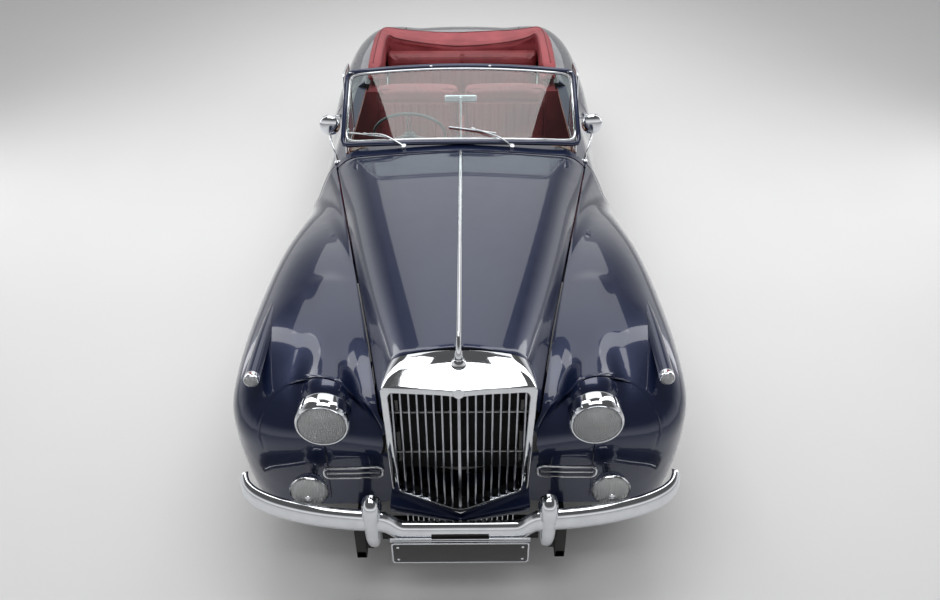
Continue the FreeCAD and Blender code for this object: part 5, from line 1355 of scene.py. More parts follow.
outerLoop = softened(screenLoop(0.008), 1)
screenUp = Vector((0, -0.70, 0.71))
frameSection = [(-0.010, -0.012), (-0.010, 0.008), (-0.006, 0.012), (0.006, 0.012), (0.011, 0.008),
                (0.011, -0.012)]
frameRing = ringPiece("screen_frame_ring", sweptRings(outerLoop, frameSection, tuple(screenUp),
                                                      closed=True), navy, 50.0, closedPath=True)
put(frameRing, "car_body", "paint", "windscreen_frame")
innerLoop = softened(screenLoop(0.0245), 3)
innerRing = tubePiece("screen_inner_surround", innerLoop, 0.0095, chrome, up=tuple(screenUp),
                      closed=True, count=12, wide=0.9)
put(innerRing, "car_body", "chrome")
rows = []
for i in range(26):
    share = mixed(0.050, 0.952, i / 25)
    rows.append([tuple(screenAt(mixed(-1, 1, j / 50), share, 0.0, 0.024)) for j in range(51)])
sheetFront = np.array(rows) + np.array([0, -0.7, 0.71]) * 0.0028
sheetBack = np.array(rows) - np.array([0, -0.7, 0.71]) * 0.0028
put(wallPiece("screen_glass_pane", sheetFront, sheetBack, clearGlass), "car_body", "glass",
    "windscreen_glass")

print("windscreen")


# Rear wings, deck, tail, boot lid and the boot's lining
rear = {"spineX": 0.700, "turn": 0.130, "archRadius": 0.392, "lidThick": 0.020, "skin": 0.011,
        "seam": 0.002, "capX": 0.640, "capZ": 0.560, "rows": 96, "columns": 110, "floorLow": 0.500,
        "floorHigh": 0.518, "floorHalf": 0.4675, "floorFront": 1.2403, "floorRear": 2.494}


def quarterEdge(y):
    return mixed(shape["cabinEdge"], shape["quarterInner"],
                 stepped(shape["deckPanelY"] - rear["turn"], shape["deckPanelY"] + rear["turn"], y))


def quarterKeep(p):
    return (p[..., 0] > quarterEdge(p[..., 1])) & (p[..., 2] > shape["tailHem"])


def makeQuarter():
    count = int(rear["rows"] * fine)
    y = mixed(shape["doorRear"], shape["tailCapY"], np.sin(edgeShares(count) * math.pi / 2))
    origins = np.stack([np.full(count, rear["spineX"]), y, np.full(count, shape["rearCoreZ"])],
                       axis=-1)
    outer = fanGrid(bodyField, origins, np.ones(count), np.zeros(count), (0, 1, 0), quarterKeep,
                    int(rear["columns"] * fine), 0.9)
    outer = rolled(outer, fieldNormals(bodyField, outer), 0.0014)
    inward = origins[:, None, :] - outer
    inner = outer + inward / np.linalg.norm(inward, axis=-1, keepdims=True) * rear["skin"]
    piece = wallPiece("quarterLeft", outer, inner, navy, 40.0)
    cutter = turnedPiece("rearArchCutter", [(0.0, 0.0), (0.0, rear["archRadius"]),
                                            (0.4, rear["archRadius"]), (0.4, 0.0)],
                         (shape["rearCoreX"], rearAxleY, wing["archZ"]), (1, 0, 0), navy, 128)
    return carved(piece, cutter)


tailCap = {"rows": 40, "columns": 96, "ahead": 0.001, "reach": 0.6, "seam": 0.0015, "far": 9.0,
           "crowd": 0.8, "castY": 2.41, "inside": 0.0003}


def makeTailCap():
    t = tailCap
    rows, columns = t["rows"], t["columns"]
    angles = np.linspace(0, 2 * math.pi, columns + 1)[:-1]
    c, s = np.cos(angles), np.sin(angles)
    start = np.stack([np.full(columns, rear["capX"]),
                      np.full(columns, shape["tailCapY"] + t["ahead"]),
                      np.full(columns, rear["capZ"])], axis=-1)
    edge = castRays(bodyField, start, np.stack([c, 0 * c, s], axis=-1), t["reach"])
    reach = np.hypot(edge[:, 0] - rear["capX"], edge[:, 2] - rear["capZ"]) - t["seam"]
    across = rear["capX"] - shape["quarterInner"] - t["ahead"]
    left = np.where(c < -1e-6, across / np.maximum(-c, 1e-6), t["far"])
    down = rear["capZ"] - shape["tailHem"]
    low = np.where(s < -1e-6, down / np.maximum(-s, 1e-6), t["far"])
    reach = np.minimum(np.minimum(reach, left), low)
    share = np.linspace(0.0, 1.0, rows)[:, None] ** t["crowd"]
    x = rear["capX"] + share * reach * c
    z = rear["capZ"] + share * reach * s
    outer = castRays(bodyField, np.stack([x, np.full(x.shape, t["castY"]), z], axis=-1),
                     np.array([0.0, 1.0, 0.0]), 0.5)
    inner = outer.copy()
    inner[..., 1] = np.maximum(outer[..., 1] - rear["skin"], shape["tailCapY"] + t["inside"])
    size = rows * columns
    faces = gridFaces(rows, columns, aroundColumns=True)
    faces += [f[::-1] for f in gridFaces(rows, columns, size, aroundColumns=True)]
    rim = list(range((rows - 1) * columns, size))
    for k in range(columns):
        a, b = rim[k], rim[(k + 1) % columns]
        faces.append([a, b, b + size, a + size])
    return pieceFrom("tailCapLeft", np.concatenate([outer.reshape(-1, 3), inner.reshape(-1, 3)]),
                     faces, navy, 40.0)


def castPanel(name, x, y, z, direction, depth):
    start = np.stack(np.broadcast_arrays(x, y, z), axis=-1).astype(float)
    outer = castRays(bodyField, start, np.asarray(direction, float), 0.9)
    normals = fieldNormals(bodyField, outer)
    outer = rolled(outer, normals, 0.0014)
    return wallPiece(name, outer, outer - normals * depth, navy, 40.0)


def makeDeck():
    y = mixed(shape["deckPanelY"], shape["lidHingeY"] - shape["gap"],
              edgeShares(int(40 * fine)))[:, None]
    x = (2 * edgeShares(int(110 * fine)) - 1)[None, :] * (quarterEdge(y) - rear["seam"])
    return castPanel("deckPanel", x, y, shape["deckCoreZ"], (0, 0, 1), rear["skin"])


def makeTail():
    half = shape["quarterInner"] - rear["seam"]
    z = mixed(shape["tailHem"], shape["lidFootZ"] - shape["gap"], edgeShares(20))[:, None]
    x = (2 * edgeShares(int(100 * fine)) - 1)[None, :] * half
    return castPanel("tailPanel", x, shape["lidHingeY"], z, (0, 1, 0), rear["skin"])


def makeLid():
    half = shape["quarterInner"] - shape["gap"] - 0.001
    last = math.pi / 2 + math.atan((shape["deckCoreZ"]
                                    - shape["lidFootZ"]) / (shape["tailY"] - shape["lidHingeY"]))
    angle = (edgeShares(int(110 * fine)) * last)[:, None]
    x = (2 * edgeShares(int(90 * fine)) - 1)[None, :] * half
    x = x + 0 * angle
    start = np.stack(np.broadcast_arrays(x, shape["lidHingeY"], shape["deckCoreZ"]),
                     axis=-1).astype(float)
    turn = np.stack([0 * x, np.sin(angle) + 0 * x, np.cos(angle) + 0 * x], axis=-1)
    outer = castRays(bodyField, start, turn, 1.2)
    normals = fieldNormals(bodyField, outer)
    outer = rolled(outer, normals, 0.0016)
    return wallPiece("boot_lid_skin", outer, outer - normals * (rear["lidThick"] - 0.001), navy,
                     40.0)


quarter = joined("quarterWhole", [makeQuarter(), makeTailCap()])
bootFloor = roundedBox("bootFloor", (-rear["floorHalf"], rear["floorFront"], rear["floorLow"]),
                       (rear["floorHalf"], rear["floorRear"], rear["floorHigh"]), 0.003, carpet)
lining = {"near": 0.4685, "far": 0.4725, "castX": 0.472, "castZ": 0.560, "underLid": 0.034,
          "start": 0.004, "lipCastY": 2.2, "lipCastZ": 0.509, "lipShort": 0.026, "lipGap": 0.0005,
          "lipLow": 0.501, "lipHigh": 0.516}
bootWall = []
for y in np.linspace(rear["floorFront"] + lining["start"], rear["floorRear"], 50):
    top = float(castRays(bodyField, np.array([lining["castX"], y, lining["castZ"]]),
                         np.array([0.0, 0.0, 1.0]), 1.2)[2])
    bootWall.append([(lining[x], y, z) for x, z in (("near", rear["floorLow"]),
                                                    ("far", rear["floorLow"]),
                                                    ("far", top - lining["underLid"]),
                                                    ("near", top - lining["underLid"]))])
bootLip = []
for x in np.linspace(-rear["floorHalf"], rear["floorHalf"], 40):
    end = float(castRays(bodyField, np.array([x, lining["lipCastY"], lining["lipCastZ"]]),
                         np.array([0.0, 1.0, 0.0]), 0.8)[1])
    end -= lining["lipShort"]
    front = rear["floorRear"] + lining["lipGap"]
    bootLip.append([(x, y, lining[z]) for y, z in ((front, "lipLow"), (end, "lipLow"),
                                                   (end, "lipHigh"), (front, "lipHigh"))])
bootWall = ringPiece("bootWall", bootWall, carpet)
bootLining = joined("boot_lining", [bootWall, mirrorOf(bootWall, "bootWallRight"),
                                    ringPiece("bootLip", bootLip, carpet)])
put(bootLining, "car_body", "leather")
brackets = []
lidAt = castRays(bodyField, np.array([0.27, shape["lidHingeY"], shape["deckCoreZ"]]),
                 np.array([0.0, math.sin(0.05), math.cos(0.05)]), 1.2)[2]
deckAt = castRays(bodyField, np.array([0.27, 1.73, shape["deckCoreZ"]]), np.array([0.0, 0.0, 1.0]),
                  1.2)[2]
seatZ = float(lidAt) - rear["lidThick"] - 0.0011
for side in (-1, 1):
    brackets.append(roundedBox("lidBracket", (side * 0.25 - 0.02, 1.690, seatZ - 0.012),
                               (side * 0.25 + 0.02, 1.770, seatZ), 0.002, navy))
    brackets.append(roundedBox("lidPost", (side * 0.25 - 0.02, 1.690, seatZ - 0.011),
                               (side * 0.25 + 0.02, 1.730, float(deckAt) - rear["skin"] - 0.001),
                               0.002, navy))
rearWhole = joined("rear_body_skin", [quarter, mirrorOf(quarter, "quarterRight"), makeDeck(),
                                      makeTail(), bootFloor] + brackets)
put(rearWhole, "car_body", "paint", "rear_body")
put(makeLid(), "boot", "paint", "boot_lid")


def makeLidFittings():
    foot = castRays(bodyField, np.array([[x, 2.2, 0.72] for x in (-0.05, 0.05)]),
                    np.array([0.0, 1.0, 0.0]), 0.5)
    y = float(foot[0][1])
    grip = smoothPath([(-0.052, y + 0.001, 0.72), (-0.046, y + 0.010, 0.722), (0, y + 0.014, 0.723),
                       (0.046, y + 0.010, 0.722), (0.052, y + 0.001, 0.72)], 30)
    return tubePiece("boot_lid_handle", grip, 0.0065, chrome, wide=0.8)


lidHandle = makeLidFittings()
put(lidHandle, "boot", "chrome")
print("rear body", len(rearWhole.data.polygons))


# Doors with trimmed inner faces, handles and cappings
door = {"thick": 0.066, "bevel": 0.024, "trim": 0.008, "rows": 90, "columns": 70, "low": 0.306,
        "high": 0.976, "handleY": 0.470, "handleZ": 0.815, "innerHandleY": -0.220}


def doorGrid(rows, columns):
    t = edgeShares(rows)[:, None]
    y = mixed(shape["doorFront"], shape["doorRear"] - shape["gap"], t)
    z = mixed(door["low"], door["high"], edgeShares(columns))[None, :]
    start = np.stack(np.broadcast_arrays(0.3, y, z), axis=-1).astype(float)
    return castRays(bodyField, start, np.array([1.0, 0.0, 0.0]), 0.9), t


def makeDoor():
    outer, t = doorGrid(int(door["rows"] * fine), int(door["columns"] * fine))
    normals = fieldNormals(bodyField, outer)
    inner = outer.copy()
    inner[..., 0] -= door["thick"] - door["trim"]
    inner[..., 1] -= door["bevel"] * t ** 2
    return wallPiece("door_left_skin", rolled(outer, normals, 0.0016), inner, navy, 40.0)


padding = {"rows": 64, "columns": 52, "low": 0.33, "high": 0.955, "front": -0.58, "rear": 0.54,
           "edge": 0.03, "topEdge": 0.02, "pitch": 0.072, "start": 0.60, "groove": 0.004,
           "fluteDeep": 0.75, "fluteLow": (0.44, 0.47), "fluteHigh": (0.74, 0.77),
           "ribs": (0.765, 0.445), "ribDeep": 0.8, "least": 0.2, "base": 0.0018, "spare": 0.0026}


def makeTrim():
    p = padding
    outer, t = doorGrid(p["rows"], p["columns"])
    back = outer.copy()
    back[..., 0] -= door["thick"] - door["trim"] + 0.0004
    back[..., 1] -= door["bevel"] * t ** 2
    back[..., 1] = np.clip(back[..., 1], shape["doorFront"] + 0.004, shape["doorRear"] - 0.036)
    face = back.copy()
    y, z = outer[..., 1], outer[..., 2]
    ends = np.minimum((y - p["front"]) / p["edge"], (p["rear"] - y) / p["edge"])
    puff = np.clip(np.minimum(np.minimum((z - p["low"]) / p["edge"],
                                         (p["high"] - z) / p["topEdge"]), ends), 0.0, 1.0)
    grooves = np.exp(-((np.mod(y + p["start"], p["pitch"]) - p["pitch"] / 2) / p["groove"]) ** 2)
    flute = 1.0 - p["fluteDeep"] * grooves * stepped(*p["fluteLow"],
                                                     z) * (1 - stepped(*p["fluteHigh"], z))
    rib = 1.0 - sum(p["ribDeep"] * np.exp(-((z - at) / p["groove"]) ** 2) for at in p["ribs"])
    face[...,
         0] -= p["base"] + (door["trim"]
                            - p["spare"]) * puff * flute * np.clip(rib, p["least"], 1.0)
    return wallPiece("door_left_trim", back, face, leather, 60.0)


def surfaceX(y, z):
    return float(castRays(bodyField, np.array([0.3, y, z]), np.array([1.0, 0.0, 0.0]), 0.9)[0])


handle = {"stem": [(-0.002, 0.0), (-0.002, 0.017), (0.004, 0.016), (0.010, 0.008), (0.030, 0.007),
                   (0.030, 0.0)], "grip": ((0.030, 0.012, 0.001), (0.032, -0.02, 0.0),
                                           (0.030, -0.07, -0.003), (0.024, -0.115, -0.008)),
          "steps": 26, "radius": 0.009}
crank = {"places": ((0.0, 0.80, 0.020), (0.30, 0.70, 0.022)),
         "bend": ((0.018, 0.0, 0.0), (0.022, 0.04, -0.004), (0.020, 0.085, -0.01)),
         "rose": ((0.012, 0.007), (0.018, 0.006), (0.018, 0.0)), "radius": 0.005}


def makeDoorHandle():
    y, z = door["handleY"], door["handleZ"]
    x = surfaceX(y, z)
    stem = turnedPiece("handleStem", handle["stem"], (x, y, z), (1, 0, 0), chrome, 32)
    count = handle["steps"]
    grip = smoothPath([(x + out, y + along, z + up) for out, along, up in handle["grip"]], count)
    sizes = [0.75 + 0.35 * math.sin(math.pi * min(k / (count - 1) * 1.1, 1.0))
             for k in range(count)]
    lever = tubePiece("handleLever", grip, handle["radius"], chrome, wide=0.62, scales=sizes)
    return joined("door_left_handle", [stem, lever])


def makeInnerHandles():
    made = []
    for ahead, z, radius in crank["places"]:
        y = door["innerHandleY"] + ahead
        x = surfaceX(y, z) - door["thick"]
        rose = [(0.0, 0.0), (0.0, radius), (0.004, radius - 0.002)] + list(crank["rose"])
        made.append(turnedPiece("rose", rose, (x, y, z), (-1, 0, 0), chrome, 28))
        bend = smoothPath([(x - out, y + along, z + up) for out, along, up in crank["bend"]], 14)
        made.append(tubePiece("crank", bend, crank["radius"], chrome, count=12))
    return joined("door_left_inner_handles", made)


capping = {"front": 0.010, "rear": 0.045, "castZ": 0.972, "z": 0.9705, "out": 0.018, "wide": 0.0185,
           "high": 0.0052, "sides": 12, "steps": 70}


def makeCapping():
    c = capping
    rings = []
    for y in np.linspace(shape["doorFront"] + c["front"], shape["doorRear"] - c["rear"],
                         c["steps"]):
        x = surfaceX(float(y), c["castZ"]) - door["thick"] + c["out"]
        turns = [k / c["sides"] * 2 * math.pi for k in range(c["sides"])]
        rings.append([(x + c["wide"] * math.cos(a), float(y), c["z"] + c["high"] * math.sin(a))
                      for a in turns])
    return ringPiece("door_left_capping", rings, wood, 60.0)


doorPieces = [(makeDoor(), "paint"), (makeTrim(), "leather"), (makeDoorHandle(), "chrome"),
              (makeInnerHandles(), "chrome"), (makeCapping(), "wood")]
for piece, slotName in doorPieces:
    other = mirrorOf(piece, piece.name.replace("left", "right"))
    first = piece.name == "door_left_skin"
    put(piece, "left_door", slotName, *(["door_left"] if first else []))
    put(other, "right_door", slotName, *(["door_right"] if first else []))
print("doors")


# Quarter lights and door mirrors
light = {"x": 0.647, "low": 0.9763, "high": 1.3963, "front": -0.480, "peak": -0.320, "rear": -0.110,
         "tube": 0.0065, "rearDrop": 0.010, "bar": ((-0.300, 0.0065), (-0.290, -0.012)),
         "barRadius": 0.0045, "catch": (-0.004, -0.36, 1.08), "paneHalf": 0.0022,
         "panes": (((-0.462, 0.989), (-0.312, 1.372), (-0.300, 1.372), (-0.306, 0.989)),
                   ((-0.296, 0.989), (-0.288, 1.374), (-0.123, 1.372), (-0.123, 0.989)))}


def makeQuarterLight():
    r = light["tube"]
    corners = [(light["front"] + r, light["low"] + r), (light["peak"] + r, light["high"] - r),
               (light["rear"] - r, light["high"] - light["rearDrop"] - r),
               (light["rear"] - r, light["low"] + r)]
    loop = roundedLoop(corners, (0.012, 0.030, 0.016, 0.010))
    frame = tubePiece("quarterFrame", [(light["x"], p[0], p[1]) for p in loop], r, chrome,
                      up=(1, 0, 0), closed=True, count=12)
    (footY, footRise), (headY, headRise) = light["bar"]
    bar = [(light["x"], footY, light["low"] + footRise),
           (light["x"], headY, light["high"] + headRise)]
    divide = tubePiece("quarterBar", bar, light["barRadius"], chrome, up=(1, 0, 0), count=10)
    inward, y, z = light["catch"]
    pivot = turnedPiece("catch", [(0.0, 0.0), (0.0, 0.009), (0.006, 0.008), (0.008, 0.0)],
                        (light["x"] + inward, y, z), (-1, 0, 0), chrome, 20)
    return joined("quarter_light_left_frame", [frame, divide, pivot])


def makeQuarterGlass():
    made = []
    for corners in light["panes"]:
        sides = (-light["paneHalf"], light["paneHalf"])
        points = [(light["x"] + dx, a, b) for dx in sides for a, b in corners]
        faces = [[0, 1, 2, 3], [7, 6, 5, 4]] + [[k, (k + 1) % 4, (k + 1) % 4 + 4, k + 4]
                                                for k in range(4)]
        made.append(pieceFrom("quarterPane", points, faces, clearGlass, 20.0))
    return joined("quarter_light_left_glass", made)


mirror = {"x": 0.727, "y": -0.473, "z": 1.156, "radius": 0.0575, "foot": (0.690, -0.560, 0.982),
          "stem": ((0.696, -0.556, 1.030), (0.716, -0.520, 1.072), (0.728, -0.478, 1.096),
                   (0.727, -0.470, 1.104)), "stemRadius": 0.0065, "dome": 0.030, "domeBack": 0.0225,
          "face": [(0.0180, 0.0), (0.0180, 0.050), (0.0196, 0.050), (0.0196, 0.0)],
          "base": [(-0.004, 0.0), (-0.004, 0.019), (0.002, 0.018), (0.008, 0.010), (0.018, 0.008),
                   (0.018, 0.0)]}


def makeMirror():
    centre = (mirror["x"], mirror["y"], mirror["z"])
    back = []
    for k in range(15):
        a = k / 14 * math.pi / 2
        back.append((-mirror["domeBack"] + mirror["dome"] * (1 - math.cos(a)),
                     mirror["radius"] * math.sin(a)))
    head = turnedPiece("mirrorHead", back + [(0.016, mirror["radius"]),
                                             (0.021, mirror["radius"] - 0.002),
                                             (0.022, mirror["radius"] - 0.006),
                                             (0.019, mirror["radius"] - 0.007), (0.018, 0.0)],
                       centre, (0, 1, 0), chrome, 64, 40.0)
    face = turnedPiece("mirrorFace", mirror["face"], centre, (0, 1, 0), mirrorGlass, 64)
    path = smoothPath([mirror["foot"], *mirror["stem"]], 30)
    stem = tubePiece("mirrorStem", path, mirror["stemRadius"], chrome, up=(1, 0, 0), count=16)
    foot = turnedPiece("mirrorFoot", mirror["base"], mirror["foot"], (0.1, 0.05, 1.0), chrome, 32)
    return joined("door_mirror_left", [head, face, stem, foot])


for piece, slotName in ((makeQuarterLight(), "chrome"), (makeQuarterGlass(), "glass"),
                        (makeMirror(), "chrome")):
    other = mirrorOf(piece, piece.name.replace("left", "right"))
    first = piece.name == "quarter_light_left_frame"
    put(piece, "left_door", slotName, *(["quarter_light_left"] if first else []))
    put(other, "right_door", slotName, *(["quarter_light_right"] if first else []))
print("quarter lights and mirrors")


# Wipers, the screen's studs and corner brackets, and the cabin mirror on its stem
def onScreen(x, share, lift):
    half = mixed(screen["baseHalf"], screen["topHalf"], share)
    return screenAt(x / half, share, 0.0) + Vector((0, -lift * 0.705, lift * 0.70))


wipers = {"left": ((0.275, -0.047), (0.200, 0.064), (0.0656, 0.172), (-0.0638, 0.196),
                   (0.1895, 0.1174)), "right": ((-0.305, -0.039), (-0.416, 0.104), (-0.519, 0.139),
                                                (-0.6146, 0.1695), (-0.3868, 0.0807))}


wiper = {"lifts": (0.020, 0.024, 0.017), "bladeLift": 0.0125, "lean": Vector((0, -0.7, 0.7)),
         "bow": 0.004, "bladeDrop": 0.0075, "post": [(-0.030, 0.0), (-0.030, 0.011),
                                                     (-0.006, 0.010), (0.000, 0.0145),
                                                     (0.006, 0.012), (0.010, 0.0)],
         "clip": [(-0.008, 0.0), (-0.008, 0.0062), (0.008, 0.0062), (0.008, 0.0)],
         "clipDrop": 0.002, "postAxis": (0, -0.35, 0.94)}


def makeWiper(name, spots):
    lean = wiper["lean"]
    pivot, knee, middle = (onScreen(x, share, lift) for (x, share),
                           lift in zip(spots[:3], wiper["lifts"]))
    post = turnedPiece("post", wiper["post"], tuple(pivot), wiper["postAxis"], chrome, 28)
    reach = smoothPath([pivot, knee, middle], 20)
    arm = tubePiece("arm", reach, 0.0052, chrome, count=12,
                    scales=[1.0 - 0.45 * k / 19 for k in range(20)])
    ends = [onScreen(x, share, wiper["bladeLift"]) for x, share in spots[3:]]
    bow = [ends[0].lerp(ends[1], s) + lean * (wiper["bow"] * math.sin(math.pi * s))
           for s in np.linspace(0, 1, 12)]
    spine = tubePiece("spine", bow, 0.0042, chrome, count=10)
    blade = tubePiece("blade", [p - lean * wiper["bladeDrop"] for p in bow], 0.0032, rubber,
                      count=8, wide=0.6)
    clip = turnedPiece("bladeClip", wiper["clip"], tuple(middle - lean * wiper["clipDrop"]),
                       tuple(ends[1] - ends[0]), chrome, 16)
    return joined(name, [post, arm, spine, blade, clip])


pair = [makeWiper("wiperLeft", wipers["left"]), makeWiper("wiperRight", wipers["right"])]
put(joined("wiper_pair", pair), "car_body", "chrome", "wipers")
studs = []
for x in (-0.160, 0.160):
    p = onScreen(x, 0.985, 0.006)
    studs.append(turnedPiece("headerStud", [(0.0, 0.0), (0.0, 0.011), (0.004, 0.010), (0.006, 0.0)],
                             tuple(p), (0, -0.2, 1.0), chrome, 24))
for side in (-1, 1):
    p = onScreen(side * 0.600, 0.965, 0.004)
    studs.append(roundedBox("cornerCatch", (p.x - 0.016, p.y - 0.006, p.z - 0.002),
                            (p.x + 0.016, p.y + 0.020, p.z + 0.008), 0.003, chrome))
put(joined("screen_header_fittings", studs), "car_body", "chrome")
stem = tubePiece("mirrorRod", smoothPath([(0, -0.534, 1.0605), (0, -0.520, 1.110),
                                          (0, -0.470, 1.200), (0, -0.414, 1.282)], 24), 0.0045,
                 chrome, up=(1, 0, 0))
boss = turnedPiece("mirrorBoss", [(0.0, 0.0), (0.0, 0.0135), (0.004, 0.012), (0.008, 0.006),
                                  (0.008, 0.0)], (0, -0.534, 1.0604), (0, 0, 1), chrome, 28)
shellBox = roundedBox("mirrorShell", (-0.088, -0.398, 1.254), (0.088, -0.386, 1.296), 0.0055,
                      chrome)
pane = roundedBox("mirrorPane", (-0.083, -0.3864, 1.258), (0.083, -0.3846, 1.292), 0.0007,
                  mirrorGlass, 2)
put(joined("cabin_mirror", [stem, boss, shellBox, pane]), "car_body", "chrome")
print("screen fittings")


# Dashboard, column and steering wheel
dash = {"rear": -0.460, "half": 0.612, "columns": 80, "easeFrom": 0.54, "ease": 0.25, "level": 0.97,
        "faceLean": 0.020, "faceLow": 0.900, "faceHigh": 1.056, "facing": (0, 0.99, 0.12),
        "outline": ((-0.520, 0.882), (-0.441, 0.901), (-0.4415, 0.906), (-0.459, 1.040),
                    (-0.464, 1.050), (-0.480, 1.0565), (-0.510, 1.0595), (-0.546, 1.0595),
                    (-0.549, 1.055)), "dials": ((-0.105, 0.985, 0.052), (0.105, 0.985, 0.052),
                                                (-0.020, 1.010, 0.024), (0.020, 0.955, 0.020),
                                                (-0.020, 0.955, 0.020)), "knobs": 7,
        "knobStart": -0.075, "knobPitch": 0.025, "knobZ": 0.925,
        "knob": ((-0.001, 0.0), (-0.001, 0.004), (0.010, 0.004), (0.011, 0.008), (0.017, 0.0075),
                 (0.018, 0.0)), "glove": ((0.210, 0.915), (0.520, 0.915), (0.520, 1.020),
                                          (0.210, 1.020)), "lock": (0.365, 1.0)}


def dashFaceY(z):
    share = (z - dash["faceLow"]) / (dash["faceHigh"] - dash["faceLow"])
    return mixed(dash["rear"] + dash["faceLean"], dash["rear"], share)


def makeDash():
    rings = []
    for x in np.linspace(-dash["half"], dash["half"], dash["columns"]):
        ease = 1.0 - dash["ease"] * stepped(dash["easeFrom"], dash["half"], abs(x))
        rings.append([(x, y, mixed(dash["level"], z, ease)) for y, z in dash["outline"]])
    return ringPiece("dashPanel", rings, wood, 30.0)


# A dial's outlines: pairs of place along the axis and radius, the rims' less the dial's own
dial = {"bezel": ((-0.002, 0.0), (0.003, 0.0035), (0.0058, 0.002), (0.006, -0.001),
                  (0.002, -0.002), (-0.002, -0.002)),
        "face": ((-0.001, -0.002), (0.0006, -0.002)), "faceEnds": (-0.001, 0.0006),
        "hub": [(0.0006, 0.0), (0.0006, 0.004), (0.003, 0.003), (0.003, 0.0)],
        "handOut": 0.0022, "handAcross": 0.5, "handUp": 0.45, "handThick": 0.0009}


def makeDial(x, z, radius):
    d = dial
    place = (x, dashFaceY(z), z)
    axis = dash["facing"]
    rim, glass = ([(y, radius + more) for y, more in d[name]] for name in ("bezel", "face"))
    start, end = d["faceEnds"]
    bezel = turnedPiece("dialBezel", rim, place, axis, chrome, 48, 40.0, closed=True)
    face = turnedPiece("dialFace", [(start, 0.0)] + glass + [(end, 0.0)], place, axis, plateBlack,
                       48)
    y = place[1] + d["handOut"]
    hand = tubePiece("dialHand", [(x, y, z), (x + radius * d["handAcross"], y,
                                              z + radius * d["handUp"])], d["handThick"], chrome,
                     count=6)
    hub = turnedPiece("dialHub", d["hub"], place, axis, chrome, 16)
    return [bezel, face, hand, hub]


dashPieces = [makeDash()]
for x, z, radius in dash["dials"]:
    dashPieces += makeDial(x, z, radius)
knobs = []
for k in range(dash["knobs"]):
    where = (dash["knobStart"] + dash["knobPitch"] * k, dashFaceY(dash["knobZ"]), dash["knobZ"])
    knobs.append(turnedPiece("dashKnob", dash["knob"], where, dash["facing"], dullChrome, 20))
# The glove box lid is not cut out: a thin black line laid on the dash face stands for the shade in
# its shut gap, painted shade.
box = roundedLoop(dash["glove"], (0.012,) * 4)
gloveGapShadePath = [(p[0], dashFaceY(p[1]) + 0.0006, p[1]) for p in box]
seam = tubePiece("gloveSeam", gloveGapShadePath, 0.0014, plateBlack, up=(0, 1, 0), closed=True, count=6)
lockX, lockZ = dash["lock"]
lock = turnedPiece("gloveLock", [(0.0, 0.0), (0.0, 0.011), (0.004, 0.010), (0.006, 0.0)],
                   (lockX, dashFaceY(lockZ), lockZ), dash["facing"], chrome, 24)
hubAt = Vector((-0.300, jointAt["steering_wheel_turn"].y, jointAt["steering_wheel_turn"].z))
tilt = math.radians(58.0)
columnAxis = Vector((0, -math.sin(tilt), -math.cos(tilt)))
column = turnedPiece("steeringColumn", [(0.0325, 0.0), (0.0325, 0.0215), (0.090, 0.0215),
                                        (0.100, 0.0175), (0.300, 0.0175), (0.300, 0.0)],
                     tuple(hubAt), tuple(columnAxis), rimPlastic, 40)
shelfBoard = roundedBox("dashShelf", (-0.559, -0.7995, 0.9305), (0.559, -0.5245, 0.9445), 0.003,
                        underBlack)
put(joined("dashboard_wood", dashPieces + knobs + [seam, lock, column, shelfBoard]), "car_body",
    "wood", "dashboard")

steer = {"radius": 0.2065, "tube": 0.0088, "spoke": 0.0042, "steps": 120,
         "angles": (90.0, 210.0, 330.0), "spokeGap": 0.010,
         "spokePath": ((0.026, 1.0), (0.110, 0.85)), "rimShare": 0.7,
         "boss": [(0.031, 0.0), (0.031, 0.030), (0.012, 0.037), (-0.002, 0.036), (-0.006, 0.028),
                  (-0.0075, 0.0)],
         "button": [(-0.0070, 0.0), (-0.0070, 0.016), (-0.0078, 0.015), (-0.0079, 0.0)]}


def makeSteering():
    s = steer
    axis, side, up = frameOf(columnAxis)
    turns = [2 * math.pi * k / s["steps"] for k in range(s["steps"])]
    ring = [hubAt + side * math.cos(a) * s["radius"] + up * math.sin(a) * s["radius"]
            for a in turns]
    parts = [tubePiece("steerRim", ring, s["tube"], rimPlastic, up=tuple(axis), closed=True,
                       count=18)]
    spokePath = s["spokePath"] + ((s["radius"], s["rimShare"]),)
    for angle in s["angles"]:
        a = math.radians(angle)
        out = side * math.cos(a) + up * math.sin(a)
        across = side * -math.sin(a) + up * math.cos(a)
        for shift in (-s["spokeGap"], s["spokeGap"]):
            path = [hubAt + out * far + across * shift * share for far, share in spokePath]
            parts.append(tubePiece("spoke", path, s["spoke"], steel, up=tuple(axis), count=10))
    place, along = tuple(hubAt), tuple(columnAxis)
    boss = turnedPiece("steerBoss", s["boss"], place, along, rimPlastic, 56, 50.0)
    button = turnedPiece("steerButton", s["button"], place, along, chrome, 32)
    return joined("steering_wheel_rim", parts + [boss, button])


put(makeSteering(), "steering", "dark_plastic", "steering_wheel")
print("dashboard and steering")


# Padded leather: a closed block is swelled as cloth, then its seams are drawn in
seat = {"x": 0.282, "half": 0.266, "front": -0.270, "back": 0.250, "baseLow": 0.462,
        "baseHigh": 0.586, "voxel": 0.007}


